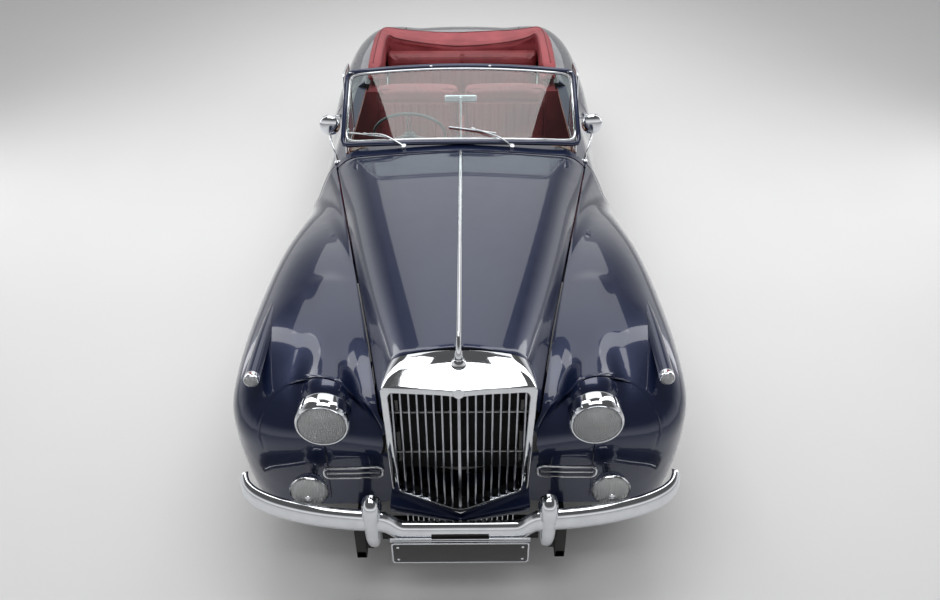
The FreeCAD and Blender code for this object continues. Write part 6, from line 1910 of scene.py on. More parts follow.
def stuffed(piece, lift, pressure=4.0, voxel=0.007):
    remesh = piece.modifiers.new("even", "REMESH")
    remesh.mode = "VOXEL"
    remesh.voxel_size = voxel
    settled(piece)
    before = np.empty(len(piece.data.vertices) * 3)
    piece.data.vertices.foreach_get("co", before)
    before = before.reshape(-1, 3)
    swell = piece.modifiers.new("swell", "CLOTH")
    cloth = swell.settings
    cloth.use_pressure = True
    cloth.uniform_pressure_force = pressure
    cloth.effector_weights.gravity = 0.0
    cloth.quality = 3
    cloth.mass = 0.3
    cloth.tension_stiffness = 12.0
    cloth.compression_stiffness = 12.0
    cloth.shear_stiffness = 6.0
    cloth.bending_stiffness = 1.0
    swell.point_cache.frame_start = 1
    swell.point_cache.frame_end = 20
    sight = bpy.context.scene
    for frameNumber in range(1, 21):
        sight.frame_set(frameNumber)
    settled(piece)
    sight.frame_set(1)
    after = np.empty(len(piece.data.vertices) * 3)
    piece.data.vertices.foreach_get("co", after)
    after = after.reshape(-1, 3)
    move = after - before
    far = np.linalg.norm(move, axis=1, keepdims=True)
    move = move * np.minimum(1.0, lift / np.maximum(far, 1e-9))
    piece.data.vertices.foreach_set("co", (before + move).reshape(-1))
    piece.data.update()
    return piece


def softLine(points, passes=6):
    points = list(points)
    for step in range(passes):
        points = [points[0]] + [(points[k - 1] + points[k] * 2 + points[k + 1]) / 4
                                for k in range(1, len(points) - 1)] + [points[-1]]
    return points


def vertexArrays(piece):
    count = len(piece.data.vertices)
    points = np.empty(count * 3)
    normals = np.empty(count * 3)
    piece.data.vertices.foreach_get("co", points)
    piece.data.vertices.foreach_get("normal", normals)
    return points.reshape(-1, 3), normals.reshape(-1, 3)


def reshaped(piece, points, sharp=80.0):
    piece.data.vertices.foreach_set("co", points.reshape(-1))
    piece.data.update()
    piece.data.polygons.foreach_set("use_smooth", [True] * len(piece.data.polygons))
    piece.data.set_sharp_from_angle(angle=math.radians(sharp))
    return piece


def padBlock(name, outline, x0, x1, material, radius=0.030):
    corners = [(x0, a, b) for a, b in outline] + [(x1, a, b) for a, b in outline]
    count = len(outline)
    faces = [list(range(count)), list(range(count, 2 * count))[::-1]]
    faces += [[k, (k + 1) % count, (k + 1) % count + count, k + count] for k in range(count)]
    piece = pieceFrom(name, corners, faces, material)
    work = bmesh.new()
    work.from_mesh(piece.data)
    bmesh.ops.bevel(work, geom=work.edges[:], offset=radius, segments=5, profile=0.5,
                    affect="EDGES")
    work.to_mesh(piece.data)
    work.free()
    return piece


def pleated(piece, centre, half, facing, low, high, axis, depth=0.0075, pitch=0.052):
    points, normals = vertexArrays(piece)
    across = points[:, 0] - centre
    seam = np.abs(np.mod(across + pitch / 2, pitch) - pitch / 2)
    groove = np.exp(-(seam / 0.0052) ** 2)
    within = (np.abs(across) < half - 0.045).astype(float)
    place = points[:, axis]
    window = stepped(low, low + 0.02, place) * (1 - stepped(high - 0.02, high, place))
    towards = np.clip(normals @ np.asarray(facing, float), 0.0, 1.0)
    border = np.exp(-((np.abs(across) - (half - 0.042)) / 0.005) ** 2) * window
    ends = (np.exp(-((place - low) / 0.005) ** 2)
            + np.exp(-((place - high) / 0.005) ** 2)) * (np.abs(across) < half - 0.04)
    total = np.clip(groove * within * window + border + ends, 0.0, 1.0) * towards
    points = points - normals * (total * depth)[:, None]
    return reshaped(piece, points)


def pipeLoop(name, points, radius=0.0042):
    return tubePiece(name, points, radius, piping, closed=True, count=10)


seatPad = {"clear": 0.004, "behind": 0.030, "drop": 0.012, "side": 0.002, "corner": 0.028,
           "fill": 0.022, "pleatFront": 0.070, "pleatRear": 0.040}
seatBack = {"outline": [(0.226, 0.534), (0.302, 1.080), (0.312, 1.090), (0.374, 1.090),
                        (0.386, 1.080), (0.356, 0.534)],
            "facing": (0, -1, 0.14), "pleats": (0.600, 0.985), "corner": 0.024, "fill": 0.014,
            "arch": 0.030, "archFrom": 0.90, "archTo": 1.09, "bandRise": 0.012, "bandTurn": 1.4,
            "bandWide": 0.006, "bandDeep": 0.006}
seatBase = {"half": 0.148, "reach": 0.228, "low": 0.3405, "high": 0.464}
seatCord = {"inset": 0.012, "rear": 0.040, "below": 0.018, "corners": (0.05, 0.05, 0.02, 0.02)}
backCord = {"inset": 0.006, "low": 0.60, "high": 1.066, "corners": (0.02, 0.06, 0.06, 0.02)}


def makeSeatCushion(x0, x1):
    s, p = seat, seatPad
    front, rear = s["front"] + p["clear"], s["back"] - p["behind"]
    low = s["baseLow"] + p["clear"]
    outline = [(front, low), (front, s["baseHigh"] - p["clear"]),
               (rear, s["baseHigh"] - p["drop"]), (rear, low)]
    cushion = padBlock("cushionPad", outline, x0 + p["side"], x1 - p["side"], leather,
                       p["corner"])
    cushion = stuffed(cushion, p["fill"], voxel=s["voxel"])
    return pleated(cushion, s["x"], s["half"], (0, 0, 1), s["front"] + p["pleatFront"],
                   s["back"] - p["pleatRear"], 1)


def makeSeatBack(x0, x1):
    s, b = seat, seatBack
    back = padBlock("backPad", b["outline"], x0 + seatPad["side"], x1 - seatPad["side"], leather,
                    b["corner"])
    back = stuffed(back, b["fill"], 3.0, s["voxel"])
    points, normals = vertexArrays(back)
    arch = b["arch"] * (np.abs(points[:, 0] - s["x"]) / s["half"]) ** 3
    points[:, 2] -= arch * stepped(b["archFrom"], b["archTo"], points[:, 2])
    reshaped(back, points)
    low, high = b["pleats"]
    back = pleated(back, s["x"], s["half"], b["facing"], low, high, 2)
    points, normals = vertexArrays(back)
    across = (points[:, 0] - s["x"]) / s["half"]
    above = points[:, 2] - high - b["bandRise"] * np.cos(across * b["bandTurn"])
    band = np.exp(-(above / b["bandWide"]) ** 2)
    points = points - normals * (band * b["bandDeep"] * np.clip(-normals[:, 1], 0, 1))[:, None]
    return reshaped(back, points)


def makeSeatCords(x0, x1):
    s, c, b = seat, seatCord, backCord
    front, rear = s["front"] + c["inset"], s["back"] - c["rear"]
    edge = roundedLoop([(x0 + c["inset"], front), (x1 - c["inset"], front),
                        (x1 - c["inset"], rear), (x0 + c["inset"], rear)], c["corners"])
    loop = roundedLoop([(x0 + b["inset"], b["low"]), (x0 + b["inset"], b["high"]),
                        (x1 - b["inset"], b["high"]), (x1 - b["inset"], b["low"])], b["corners"])
    (y0, z0), (y1, z1) = seatBack["outline"][:2]
    return [pipeLoop("seatCord", [(x, y, s["baseHigh"] - c["below"]) for x, y in edge]),
            pipeLoop("backCord", [(x, mixed(y0, y1, (z - z0) / (z1 - z0)) + b["inset"], z)
                                  for x, z in loop])]


def makeFrontSeat():
    x0, x1 = seat["x"] - seat["half"], seat["x"] + seat["half"]
    b = seatBase
    base = roundedBox("seatBase", (seat["x"] - b["half"], -b["reach"], b["low"]),
                      (seat["x"] + b["half"], b["reach"], b["high"]), 0.006, piping)
    return joined("front_seat_left", [makeSeatCushion(x0, x1), makeSeatBack(x0, x1), base]
                  + makeSeatCords(x0, x1))


seatLeft = makeFrontSeat()
seatRight = mirrorOf(seatLeft, "front_seat_right")
put(seatLeft, "car_body", "leather", "front_seats")
put(seatRight, "car_body", "leather")
print("front seats", len(seatLeft.data.polygons))


# Rear seat with its two bolsters
rearSeat = {"half": 0.556, "front": 0.624, "back": 1.076, "low": 0.521, "high": 0.636,
            "voxel": 0.009, "clear": 0.006, "behind": 0.060, "drop": 0.020, "corner": 0.026,
            "fill": 0.020, "pitch": 0.0555, "seamWide": 0.010, "seamDeep": 0.018,
            "outline": [(1.024, 0.522), (1.102, 1.022), (1.112, 1.034), (1.176, 1.034),
                        (1.186, 1.024), (1.186, 0.522)]}


def halved(piece, facing):
    r = rearSeat
    points, normals = vertexArrays(piece)
    groove = np.exp(-(points[:, 0] / r["seamWide"]) ** 2) * np.clip(facing(normals) + 0.2, 0, 1)
    reshaped(piece, points - normals * (groove * r["seamDeep"])[:, None])


def makeRearSeat():
    r = rearSeat
    rear = r["back"] - r["behind"]
    cushion = padBlock("rearCushion", [(r["front"], r["low"]), (r["front"], r["high"] - r["clear"]),
                                       (rear, r["high"] - r["drop"]), (rear, r["low"])],
                       -r["half"], r["half"], leather, r["corner"])
    cushion = stuffed(cushion, r["fill"], voxel=r["voxel"])
    halved(cushion, lambda normals: normals[:, 2])
    cushion = pleated(cushion, 0.0, r["half"], (0, 0, 1), 0.690, 1.000, 1, pitch=r["pitch"])
    back = padBlock("rearBack", r["outline"], -r["half"], r["half"], leather, seatBack["corner"])
    back = stuffed(back, seatBack["fill"], 3.0, r["voxel"])
    halved(back, lambda normals: -normals[:, 1])
    back = pleated(back, 0.0, r["half"], seatBack["facing"], 0.650, 0.950, 2, pitch=r["pitch"])
    return joined("rear_seat_pads", [cushion, back])


rearPads = makeRearSeat()
put(rearPads, "car_body", "leather", "rear_seat")
print("rear seat", len(rearPads.data.polygons))


# Folded hood under its cover: a padded U roll that sags between its sticks
hoodStations = (
    # outer foot, outer shoulder, ridge, inner edge and inner foot, from an arm's tip to the middle
    ((0.634, 0.650, 0.990), (0.634, 0.650, 1.068), (0.600, 0.650, 1.100),
     (0.548, 0.650, 1.088), (0.545, 0.650, 0.990)),
    ((0.635, 0.740, 0.972), (0.634, 0.740, 1.084), (0.598, 0.740, 1.122),
     (0.546, 0.740, 1.108), (0.545, 0.740, 0.972)),
    ((0.635, 0.880, 0.950), (0.633, 0.880, 1.104), (0.594, 0.880, 1.147),
     (0.546, 0.880, 1.132), (0.548, 0.880, 0.955)),
    ((0.634, 1.080, 0.928), (0.631, 1.080, 1.112), (0.590, 1.080, 1.162),
     (0.544, 1.080, 1.142), (0.562, 1.080, 0.940)),
    ((0.628, 1.240, 0.924), (0.622, 1.235, 1.104), (0.584, 1.225, 1.160),
     (0.536, 1.170, 1.138), (0.556, 1.190, 0.940)),
    ((0.590, 1.352, 0.924), (0.582, 1.342, 1.092), (0.556, 1.312, 1.152),
     (0.512, 1.205, 1.122), (0.528, 1.215, 0.940)),
    ((0.500, 1.390, 0.924), (0.496, 1.380, 1.080), (0.486, 1.332, 1.138),
     (0.462, 1.208, 1.104), (0.466, 1.218, 0.940)),
    ((0.330, 1.396, 0.924), (0.328, 1.386, 1.068), (0.322, 1.338, 1.120),
     (0.310, 1.206, 1.076), (0.310, 1.216, 0.940)),
    ((0.150, 1.398, 0.924), (0.150, 1.388, 1.060), (0.148, 1.340, 1.111),
     (0.144, 1.204, 1.060), (0.144, 1.215, 0.940)),
    ((0.0, 1.398, 0.924), (0.0, 1.388, 1.058), (0.0, 1.340, 1.108),
     (0.0, 1.203, 1.055), (0.0, 1.215, 0.940)))


def hoodLines(count=150):
    lines = []
    for k in range(5):
        half = [station[k] for station in hoodStations]
        whole = half + [(-x, y, z) for x, y, z in half[:-1][::-1]]
        lines.append(smoothPath(whole, count))
    return lines


def makeHoodRoll():
    lines = hoodLines()
    count = len(lines[0])
    rings = []
    for i in range(count):
        foot, shoulder, ridge, edge, heel = (line[i] for line in lines)
        crown = ridge.lerp(edge, 0.5) + Vector((0, 0, 0.006))
        knots = [foot, foot.lerp(shoulder, 0.5) + (foot - heel).normalized() * 0.002, shoulder,
                 shoulder.lerp(ridge, 0.55) + (shoulder - heel).normalized() * 0.007, ridge, crown,
                 edge, edge.lerp(heel, 0.25), edge.lerp(heel, 0.65), heel, heel.lerp(foot, 0.5)]
        ring = smoothPath(knots, 56, closed=True)
        near = min(i, count - 1 - i)
        middle = sum(ring, Vector()) / len(ring)
        size = math.sqrt(1 - (1 - near / 6) ** 2 * 0.80) if near < 6 else 1.0
        made = []
        for k, p in enumerate(ring):
            a = 2 * math.pi * k / len(ring)
            fold = 0.0022 * math.sin(3 * a + 7.0
                                     * middle.x) + 0.0016 * math.sin(5 * a - 13.0 * middle.x + 4.0
                                                                     * middle.y)
            out = (p - middle)
            made.append(tuple(middle + out * (size + fold / max(out.length, 0.02))))
        rings.append(made)
    return ringPiece("hood_cover_roll", rings, hoodHide, 70.0)


hoodRoll = stuffed(makeHoodRoll(), 0.004, 1.5, 0.008)
points, normals = vertexArrays(hoodRoll)
creases = np.sin(points[:, 0] * 46.0 + points[:, 2]
                 * 30.0) * np.sin(points[:, 1] * 27.0 + points[:, 0] * 11.0)
ends = np.exp(-((np.abs(points[:, 0]) - 0.47) / 0.09) ** 2) * (points[:, 1] > 1.1)
pull = np.sin((points[:, 1] * 1.2 + points[:, 2]) * 62.0) * 0.0022 * ends
points = points + normals * (0.0010 * creases + pull)[:, None]
points = np.clip(points, (-0.637, 0.642, 0.906), (0.637, 1.403, 1.226))
reshaped(hoodRoll, points)
hoodCords = []
for k, inset in ((3, 0), (2, 0)):
    line = hoodLines()[k][4:-4]
    found = []
    for p in line:
        out = Vector((0, 0, 1)) if k == 2 else Vector((0, -0.5, 0.85))
        hit, where, normal, face = hoodRoll.ray_cast(p + out * 0.08, -out, distance=0.16)
        if hit:
            found.append(where)
    hoodCords.append(tubePiece("hoodCord", softLine(found), 0.0042, piping, count=10))
cordPiece = joined("hood_cover_piping", hoodCords)
put(hoodRoll, "car_body", "hood_cloth", "hood_stack")
put(cordPiece, "car_body", "hood_cloth")
print("hood cover", len(hoodRoll.data.polygons))


# Press studs round the foot of the hood cover, set out along their line
studs = {"count": 46, "radius": 0.0062, "ends": 6, "share": 0.16, "straightY": 0.95,
         "bow": 2.2, "reach": 0.08, "sunk": 0.0035}


def studTree():
    tree = bpy.data.node_groups.new("pressStuds", "GeometryNodeTree")
    for name, kind in (("Geometry", "Geometry"), ("Count", "Int"), ("Radius", "Float"),
                       ("Finish", "Material")):
        tree.interface.new_socket(name, in_out="INPUT", socket_type="NodeSocket" + kind)
    tree.interface.new_socket("Geometry", in_out="OUTPUT", socket_type="NodeSocketGeometry")
    add = tree.nodes.new
    link = tree.links.new
    given = add("NodeGroupInput")
    result = add("NodeGroupOutput")
    spread = add("GeometryNodeCurveToPoints")
    link(given.outputs["Geometry"], spread.inputs["Curve"])
    link(given.outputs["Count"], spread.inputs["Count"])
    cap = add("GeometryNodeMeshUVSphere")
    cap.inputs["Segments"].default_value = 12
    cap.inputs["Rings"].default_value = 6
    link(given.outputs["Radius"], cap.inputs["Radius"])
    copies = add("GeometryNodeInstanceOnPoints")
    link(spread.outputs["Points"], copies.inputs["Points"])
    link(cap.outputs["Mesh"], copies.inputs["Instance"])
    real = add("GeometryNodeRealizeInstances")
    link(copies.outputs["Instances"], real.inputs["Geometry"])
    finish = add("GeometryNodeSetMaterial")
    link(real.outputs["Geometry"], finish.inputs["Geometry"])
    link(given.outputs["Finish"], finish.inputs["Material"])
    link(finish.outputs["Geometry"], result.inputs["Geometry"])
    return tree


def lineObject(name, points):
    curve = bpy.data.curves.new(name, "CURVE")
    curve.dimensions = "3D"
    spline = curve.splines.new("POLY")
    spline.points.add(len(points) - 1)
    for k, p in enumerate(points):
        spline.points[k].co = (p[0], p[1], p[2], 1.0)
    made = bpy.data.objects.new(name, curve)
    bpy.context.scene.collection.objects.link(made)
    return made


def grown(piece, tree, values, name):
    modifier = piece.modifiers.new("grow", "NODES")
    modifier.node_group = tree
    sockets = {item.name: item.identifier for item in tree.interface.items_tree
               if item.in_out == "INPUT"}
    for key, value in values.items():
        modifier[sockets[key]] = value
    bpy.context.view_layer.update()
    graph = bpy.context.evaluated_depsgraph_get()
    mesh = bpy.data.meshes.new_from_object(piece.evaluated_get(graph))
    mesh.name = name
    made = bpy.data.objects.new(name, mesh)
    bpy.context.scene.collection.objects.link(made)
    bpy.data.objects.remove(piece)
    return made


studPath = []
for foot, shoulder in list(zip(*hoodLines()[:2]))[studs["ends"]:-studs["ends"]]:
    spot = foot.lerp(shoulder, studs["share"])
    out = Vector((spot.x, max(spot.y - studs["straightY"], 0.0) * studs["bow"], 0)).normalized()
    hit, where = hoodRoll.ray_cast(spot + out * studs["reach"], -out, distance=0.2)[:2]
    if hit:
        studPath.append(tuple(where - out * studs["sunk"]))
studRow = grown(lineObject("studLine", studPath), studTree(),
                {"Count": studs["count"], "Radius": studs["radius"], "Finish": chrome},
                "hood_press_studs")
put(studRow, "car_body", "chrome")
print("press studs")


# Wheels: tyre carcass with zigzag ribs, pressed disc with slots, chrome hub cap. Outlines hold
# pairs of place along the axle and radius.
tyre = {"radius": 0.352, "pitches": 64, "groove": 0.0075, "amp": 0.0032}
tyreSide = [(0.0600, 0.2036), (0.0700, 0.2075), (0.0760, 0.2150), (0.0830, 0.2235),
            (0.0955, 0.2420), (0.1012, 0.2600), (0.1034, 0.2740), (0.1030, 0.2880),
            (0.1004, 0.3020), (0.1000, 0.3032), (0.1006, 0.3046), (0.0996, 0.3070),
            (0.0972, 0.3200), (0.0945, 0.3290), (0.0925, 0.3345), (0.0905, 0.3375),
            (0.0885, 0.3398)]
tyreInside = [(0.0, 0.330), (0.070, 0.322), (0.088, 0.300), (0.092, 0.275), (0.080, 0.235),
              (0.058, 0.212)]
tread = {"ribs": ((-0.0685, 0.0125), (-0.0345, 0.0120), (0.0, 0.0120), (0.0345, 0.0120),
                  (0.0685, 0.0125)), "edge": 0.0830, "gap": 0.0011, "lean": 0.0008, "sunk": 0.001,
         "crown": 0.62, "clear": 0.00001, "shoulderShares": (0.06, 0.80)}


def crownAt(x):
    return tyre["radius"] - tread["clear"] - tread["crown"] * x * x


def shoulderOutline():
    return ((0.0835, crownAt(0.0835) - 0.008), (0.0838, crownAt(0.0838)), (0.0925, 0.3440),
            (0.0955, 0.3330), (0.0925, 0.3330))


def makeCarcass(centre):
    places = [mixed(tread["edge"], 0.0, k / 8) for k in range(9)]
    outline = tyreSide + [(x, crownAt(x) - tyre["groove"]) for x in places]
    right = outline + [(-x, r) for x, r in outline[:-1][::-1]]
    inner = [(-x, r) for x, r in tyreInside[1:][::-1]] + tyreInside
    return turnedPiece("carcass", right + inner, centre, (1, 0, 0), rubber, 128, 34.0, closed=True)


def treadPitch():
    points = []
    faces = []
    angle = 2 * math.pi / tyre["pitches"]
    gap = tread["gap"] / tyre["radius"]
    sunk = tyre["groove"] + tread["sunk"]
    for centre, half in tread["ribs"]:
        start = len(points)
        for j, share in enumerate((0.0, 0.25, 0.5, 0.75, 1.0)):
            a = mixed(-angle / 2 + gap / 2, angle / 2 - gap / 2, share)
            shift = tyre["amp"] * (1 if j % 2 else -1)
            for x, deep in ((centre - half + shift - tread["lean"], sunk),
                            (centre - half + shift, 0.0), (centre + half + shift, 0.0),
                            (centre + half + shift + tread["lean"], sunk)):
                r = crownAt(x) - deep
                points.append((x, r * math.sin(a), r * math.cos(a)))
        for j in range(4):
            for k in range(4):
                a = start + j * 4 + k
                b = start + j * 4 + (k + 1) % 4
                faces.append([a, b, b + 4, a + 4])
        faces.append([start, start + 1, start + 2, start + 3])
        faces.append([start + 16, start + 19, start + 18, start + 17])
    for side in (-1, 1):
        start = len(points)
        for share in tread["shoulderShares"]:
            a = mixed(-angle / 2, angle / 2, share)
            for x, r in shoulderOutline():
                points.append((side * x, r * math.sin(a), r * math.cos(a)))
        for k in range(5):
            a = start + k
            b = start + (k + 1) % 5
            faces.append([a, b, b + 5, a + 5])
        faces.append([start + k for k in range(5)])
        faces.append([start + 5 + k for k in range(5)][::-1])
    return pieceFrom("treadPitch", points, faces, rubber, 30.0)


def treadTree():
    tree = bpy.data.node_groups.new("treadRing", "GeometryNodeTree")
    tree.interface.new_socket("Geometry", in_out="INPUT", socket_type="NodeSocketGeometry")
    tree.interface.new_socket("Pitches", in_out="INPUT", socket_type="NodeSocketInt")
    tree.interface.new_socket("Finish", in_out="INPUT", socket_type="NodeSocketMaterial")
    tree.interface.new_socket("Geometry", in_out="OUTPUT", socket_type="NodeSocketGeometry")
    add = tree.nodes.new
    link = tree.links.new
    given = add("NodeGroupInput")
    result = add("NodeGroupOutput")
    line = add("GeometryNodeMeshLine")
    line.inputs["Offset"].default_value = (0.0, 0.0, 0.0)
    link(given.outputs["Pitches"], line.inputs["Count"])
    copies = add("GeometryNodeInstanceOnPoints")
    link(line.outputs["Mesh"], copies.inputs["Points"])
    link(given.outputs["Geometry"], copies.inputs["Instance"])
    index = add("GeometryNodeInputIndex")
    step = add("ShaderNodeMath")
    step.operation = "DIVIDE"
    link(index.outputs["Index"], step.inputs[0])
    link(given.outputs["Pitches"], step.inputs[1])
    angle = add("ShaderNodeMath")
    angle.operation = "MULTIPLY"
    angle.inputs[1].default_value = 2 * math.pi
    link(step.outputs[0], angle.inputs[0])
    turnBy = add("ShaderNodeCombineXYZ")
    link(angle.outputs[0], turnBy.inputs["X"])
    link(turnBy.outputs[0], copies.inputs["Rotation"])
    real = add("GeometryNodeRealizeInstances")
    link(copies.outputs["Instances"], real.inputs["Geometry"])
    finish = add("GeometryNodeSetMaterial")
    link(real.outputs["Geometry"], finish.inputs["Geometry"])
    link(given.outputs["Finish"], finish.inputs["Material"])
    link(finish.outputs["Geometry"], result.inputs["Geometry"])
    return tree


def makeTyre():
    ring = grown(treadPitch(), treadTree(), {"Pitches": tyre["pitches"], "Finish": rubber},
                 "treadRing")
    return joined("tyreWhole", [makeCarcass((0, 0, 0)), ring])


disc = {"slots": 12, "slotRadius": 0.156, "slotLong": 0.040, "slotWide": 0.016,
        "slotCorner": 0.0078, "cut": (0.020, 0.090)}

rimOutline = [(-0.0755, 0.2110), (-0.0765, 0.2075), (-0.0740, 0.2025), (-0.0700, 0.1990),
              (-0.0560, 0.1960), (-0.0500, 0.1870), (-0.0430, 0.1800), (0.0430, 0.1800),
              (0.0500, 0.1870), (0.0560, 0.1960), (0.0700, 0.1990), (0.0740, 0.2025),
              (0.0765, 0.2075), (0.0755, 0.2110), (0.0725, 0.2065), (0.0690, 0.2030),
              (0.0550, 0.2000), (0.0470, 0.1900), (0.0420, 0.1840), (-0.0420, 0.1840),
              (-0.0470, 0.1900), (-0.0550, 0.2000), (-0.0690, 0.2030), (-0.0725, 0.2065)]
webOutline = [(0.020, 0.1815), (0.030, 0.1795), (0.042, 0.1730), (0.051, 0.1640), (0.056, 0.1520),
              (0.0575, 0.1400), (0.0565, 0.1310), (0.054, 0.1240), (0.046, 0.1180),
              (0.040, 0.0900), (0.040, 0.0500), (0.036, 0.0500), (0.036, 0.0900), (0.042, 0.1150),
              (0.050, 0.1220), (0.0525, 0.1310), (0.0535, 0.1400), (0.052, 0.1510),
              (0.047, 0.1620), (0.038, 0.1700), (0.028, 0.1760), (0.018, 0.1780)]
capOutline = [(0.050, 0.1225), (0.0505, 0.1262), (0.056, 0.1278), (0.062, 0.1276), (0.066, 0.1262),
              (0.0685, 0.1225), (0.0690, 0.1160), (0.0730, 0.1030), (0.0790, 0.0850),
              (0.0835, 0.0640), (0.0848, 0.0560), (0.0862, 0.0540), (0.0895, 0.0520),
              (0.0928, 0.0420), (0.0950, 0.0250), (0.0955, 0.0100), (0.0956, 0.0), (0.0935, 0.0),
              (0.0930, 0.0240), (0.0900, 0.0420), (0.0870, 0.0500), (0.0815, 0.0620),
              (0.0770, 0.0840), (0.0710, 0.1020), (0.0665, 0.1150), (0.0660, 0.1220),
              (0.0600, 0.1250), (0.0530, 0.1240)]
bandOutline = [(0.0694, 0.1150), (0.0704, 0.1148), (0.0738, 0.1032), (0.0728, 0.1030)]
drumOutline = [(-0.050, 0.060), (-0.050, 0.150), (-0.047, 0.1575), (-0.040, 0.1580),
               (-0.034, 0.1545), (-0.020, 0.1545), (-0.016, 0.1575), (-0.008, 0.1575),
               (-0.004, 0.1545), (0.020, 0.1545), (0.030, 0.148), (0.030, 0.0500), (0.024, 0.0500),
               (0.024, 0.140), (-0.044, 0.150), (-0.044, 0.060)]
hubOutline = [(-0.046, 0.030), (-0.046, 0.048), (0.034, 0.048), (0.042, 0.036), (0.060, 0.034),
              (0.060, 0.030)]
valvePath = [(0.052, 0.0, 0.170), (0.070, 0.0, 0.176), (0.080, 0.0, 0.178)]


def wheelTurned(name, outline, material, segments, sharp=30.0, closed=True):
    return turnedPiece(name, outline, (0, 0, 0), (1, 0, 0), material, segments, sharp,
                       closed=closed)


def makeDisc():
    rim = wheelTurned("rimBand", rimOutline, navy, 128, 34.0)
    web = wheelTurned("discWeb", webOutline, navy, 144, 34.0)
    u, v = disc["slotLong"] / 2, disc["slotWide"] / 2
    loop = roundedLoop([(-u, -v), (u, -v), (u, v), (-u, v)], (disc["slotCorner"],) * 4)
    cutters = []
    for k in range(disc["slots"]):
        a = 2 * math.pi * k / disc["slots"]
        rings = [[(x, (disc["slotRadius"] + v) * math.cos(a) - u * math.sin(a),
                   (disc["slotRadius"] + v) * math.sin(a) + u * math.cos(a)) for u, v in loop]
                 for x in disc["cut"]]
        cutters.append(ringPiece("slotCutter", rings, navy))
    carved(web, joined("slotCutters", cutters))
    cap = wheelTurned("hubCap", capOutline, chrome, 128, closed=False)
    band = wheelTurned("hubCapLine", bandOutline, navy, 128)
    drum = wheelTurned("brakeDrum", drumOutline, iron, 96)
    hub = wheelTurned("hubBarrel", hubOutline, iron, 48)
    valve = tubePiece("valveStem", valvePath, 0.0042, rubber, up=(0, 1, 0), count=10)
    return joined("wheelWhole", [rim, web, cap, band, drum, hub, valve])


tyreMaster = makeTyre()
wheelMaster = makeDisc()
for place in ("front_left", "front_right", "rear_left", "rear_right"):
    centre = jointAt[place + "_spin"]
    for master, kind, slotName in ((tyreMaster, "tyre", "tyre"), (wheelMaster, "wheel", "paint")):
        mesh = master.data.copy()
        if place.endswith("right"):
            mesh.transform(Matrix.Scale(-1, 4, (1, 0, 0)))
            mesh.flip_normals()
        mesh.transform(Matrix.Translation(centre))
        made = bpy.data.objects.new(kind + "_" + place + "_full", mesh)
        bpy.context.scene.collection.objects.link(made)
        put(made, place + "_wheel", slotName, kind + "_" + place)
bpy.data.objects.remove(tyreMaster)
bpy.data.objects.remove(wheelMaster)
print("wheels")


# Lower grille bars, rear bumper, tail lamps and washer jets
lowGrille = {"count": 21, "pitch": 0.0208, "wide": 0.0055, "deep": 0.009, "y": -2.5535,
             "low": 0.3405, "railHalf": 0.2120, "railDeep": 0.0040, "railLow": 0.3355,
             "railTop": 0.3448, "middleTop": 0.3790, "sideTop": 0.4440, "sideX": 0.272,
             "short": 0.003}


def makeLowGrille():
    g = lowGrille
    parts = [roundedBox("lowGrilleRail", (-g["railHalf"], g["y"] - g["railDeep"], g["railLow"]),
                        (g["railHalf"], g["y"] + g["railDeep"], g["railTop"]), 0.0025, chrome)]
    for k in range(g["count"]):
        x = (k - (g["count"] - 1) / 2) * g["pitch"]
        top = mixed(g["middleTop"], g["sideTop"], abs(x) / g["sideX"]) - g["short"]
        loop = roundSection(g["deep"] / 2, 10, g["wide"] / g["deep"])
        rings = [[(x + a, g["y"] + b, z) for a, b in loop] for z in (g["low"], top)]
        parts.append(ringPiece("lowGrilleBar", rings, chrome, 50.0))
    return joined("lower_grille", parts)


put(makeLowGrille(), "car_body", "chrome")

rearBar = makeBar("rearBar", barPath(-1.0, 0.0, 0.470, 0.004), -1.0, chrome)
rearMount = {"behind": 0.004, "armRear": 2.5335, "low": 0.280, "armTop": 0.318, "upTop": 0.490}
rearPlan = -planAt(mount["x"]) + rearMount["behind"]
rearGuard = makeOverrider("rearGuard", mount["x"], rearPlan + bumper["thick"] - 0.0015, -1.0)
rearGuardRight = mirrorOf(rearGuard, "rearGuardRight")
rearArms = []
for side in (-1, 1):
    inner = rearPlan - mount["behind"]
    near, far = side * mount["x"] - mount["half"], side * mount["x"] + mount["half"]
    for name, start, top, radius in (("rearArm", rearMount["armRear"], rearMount["armTop"], 0.003),
                                     ("rearUp", inner - mount["upThick"], rearMount["upTop"],
                                      0.002)):
        rearArms.append(roundedBox(name, (near, start, rearMount["low"]), (far, inner, top), radius,
                                   underBlack))
put(joined("rear_bumper_chrome", [rearBar, rearGuard, rearGuardRight] + rearArms), "car_body",
    "chrome", "rear_bumper")

# The lamp's rim and lens: pairs of place along the axis and radius less the lamp's own
tailLamp = {"x": 0.742, "z": 0.640, "radius": 0.044, "castY": 2.30,
            "rim": ((-0.040, 0.0), (0.006, 0.001), (0.014, -0.001), (0.018, -0.006),
                    (0.012, -0.009), (-0.040, -0.009)),
            "lens": ((-0.030, -0.0095), (0.010, -0.0095), (0.018, -0.016), (0.023, -0.026)),
            "lensEnds": ((0.0255, 0.0), (-0.030, 0.0)),
            "centre": [(0.0235, 0.011), (0.0262, 0.0105), (0.0275, 0.0)]}


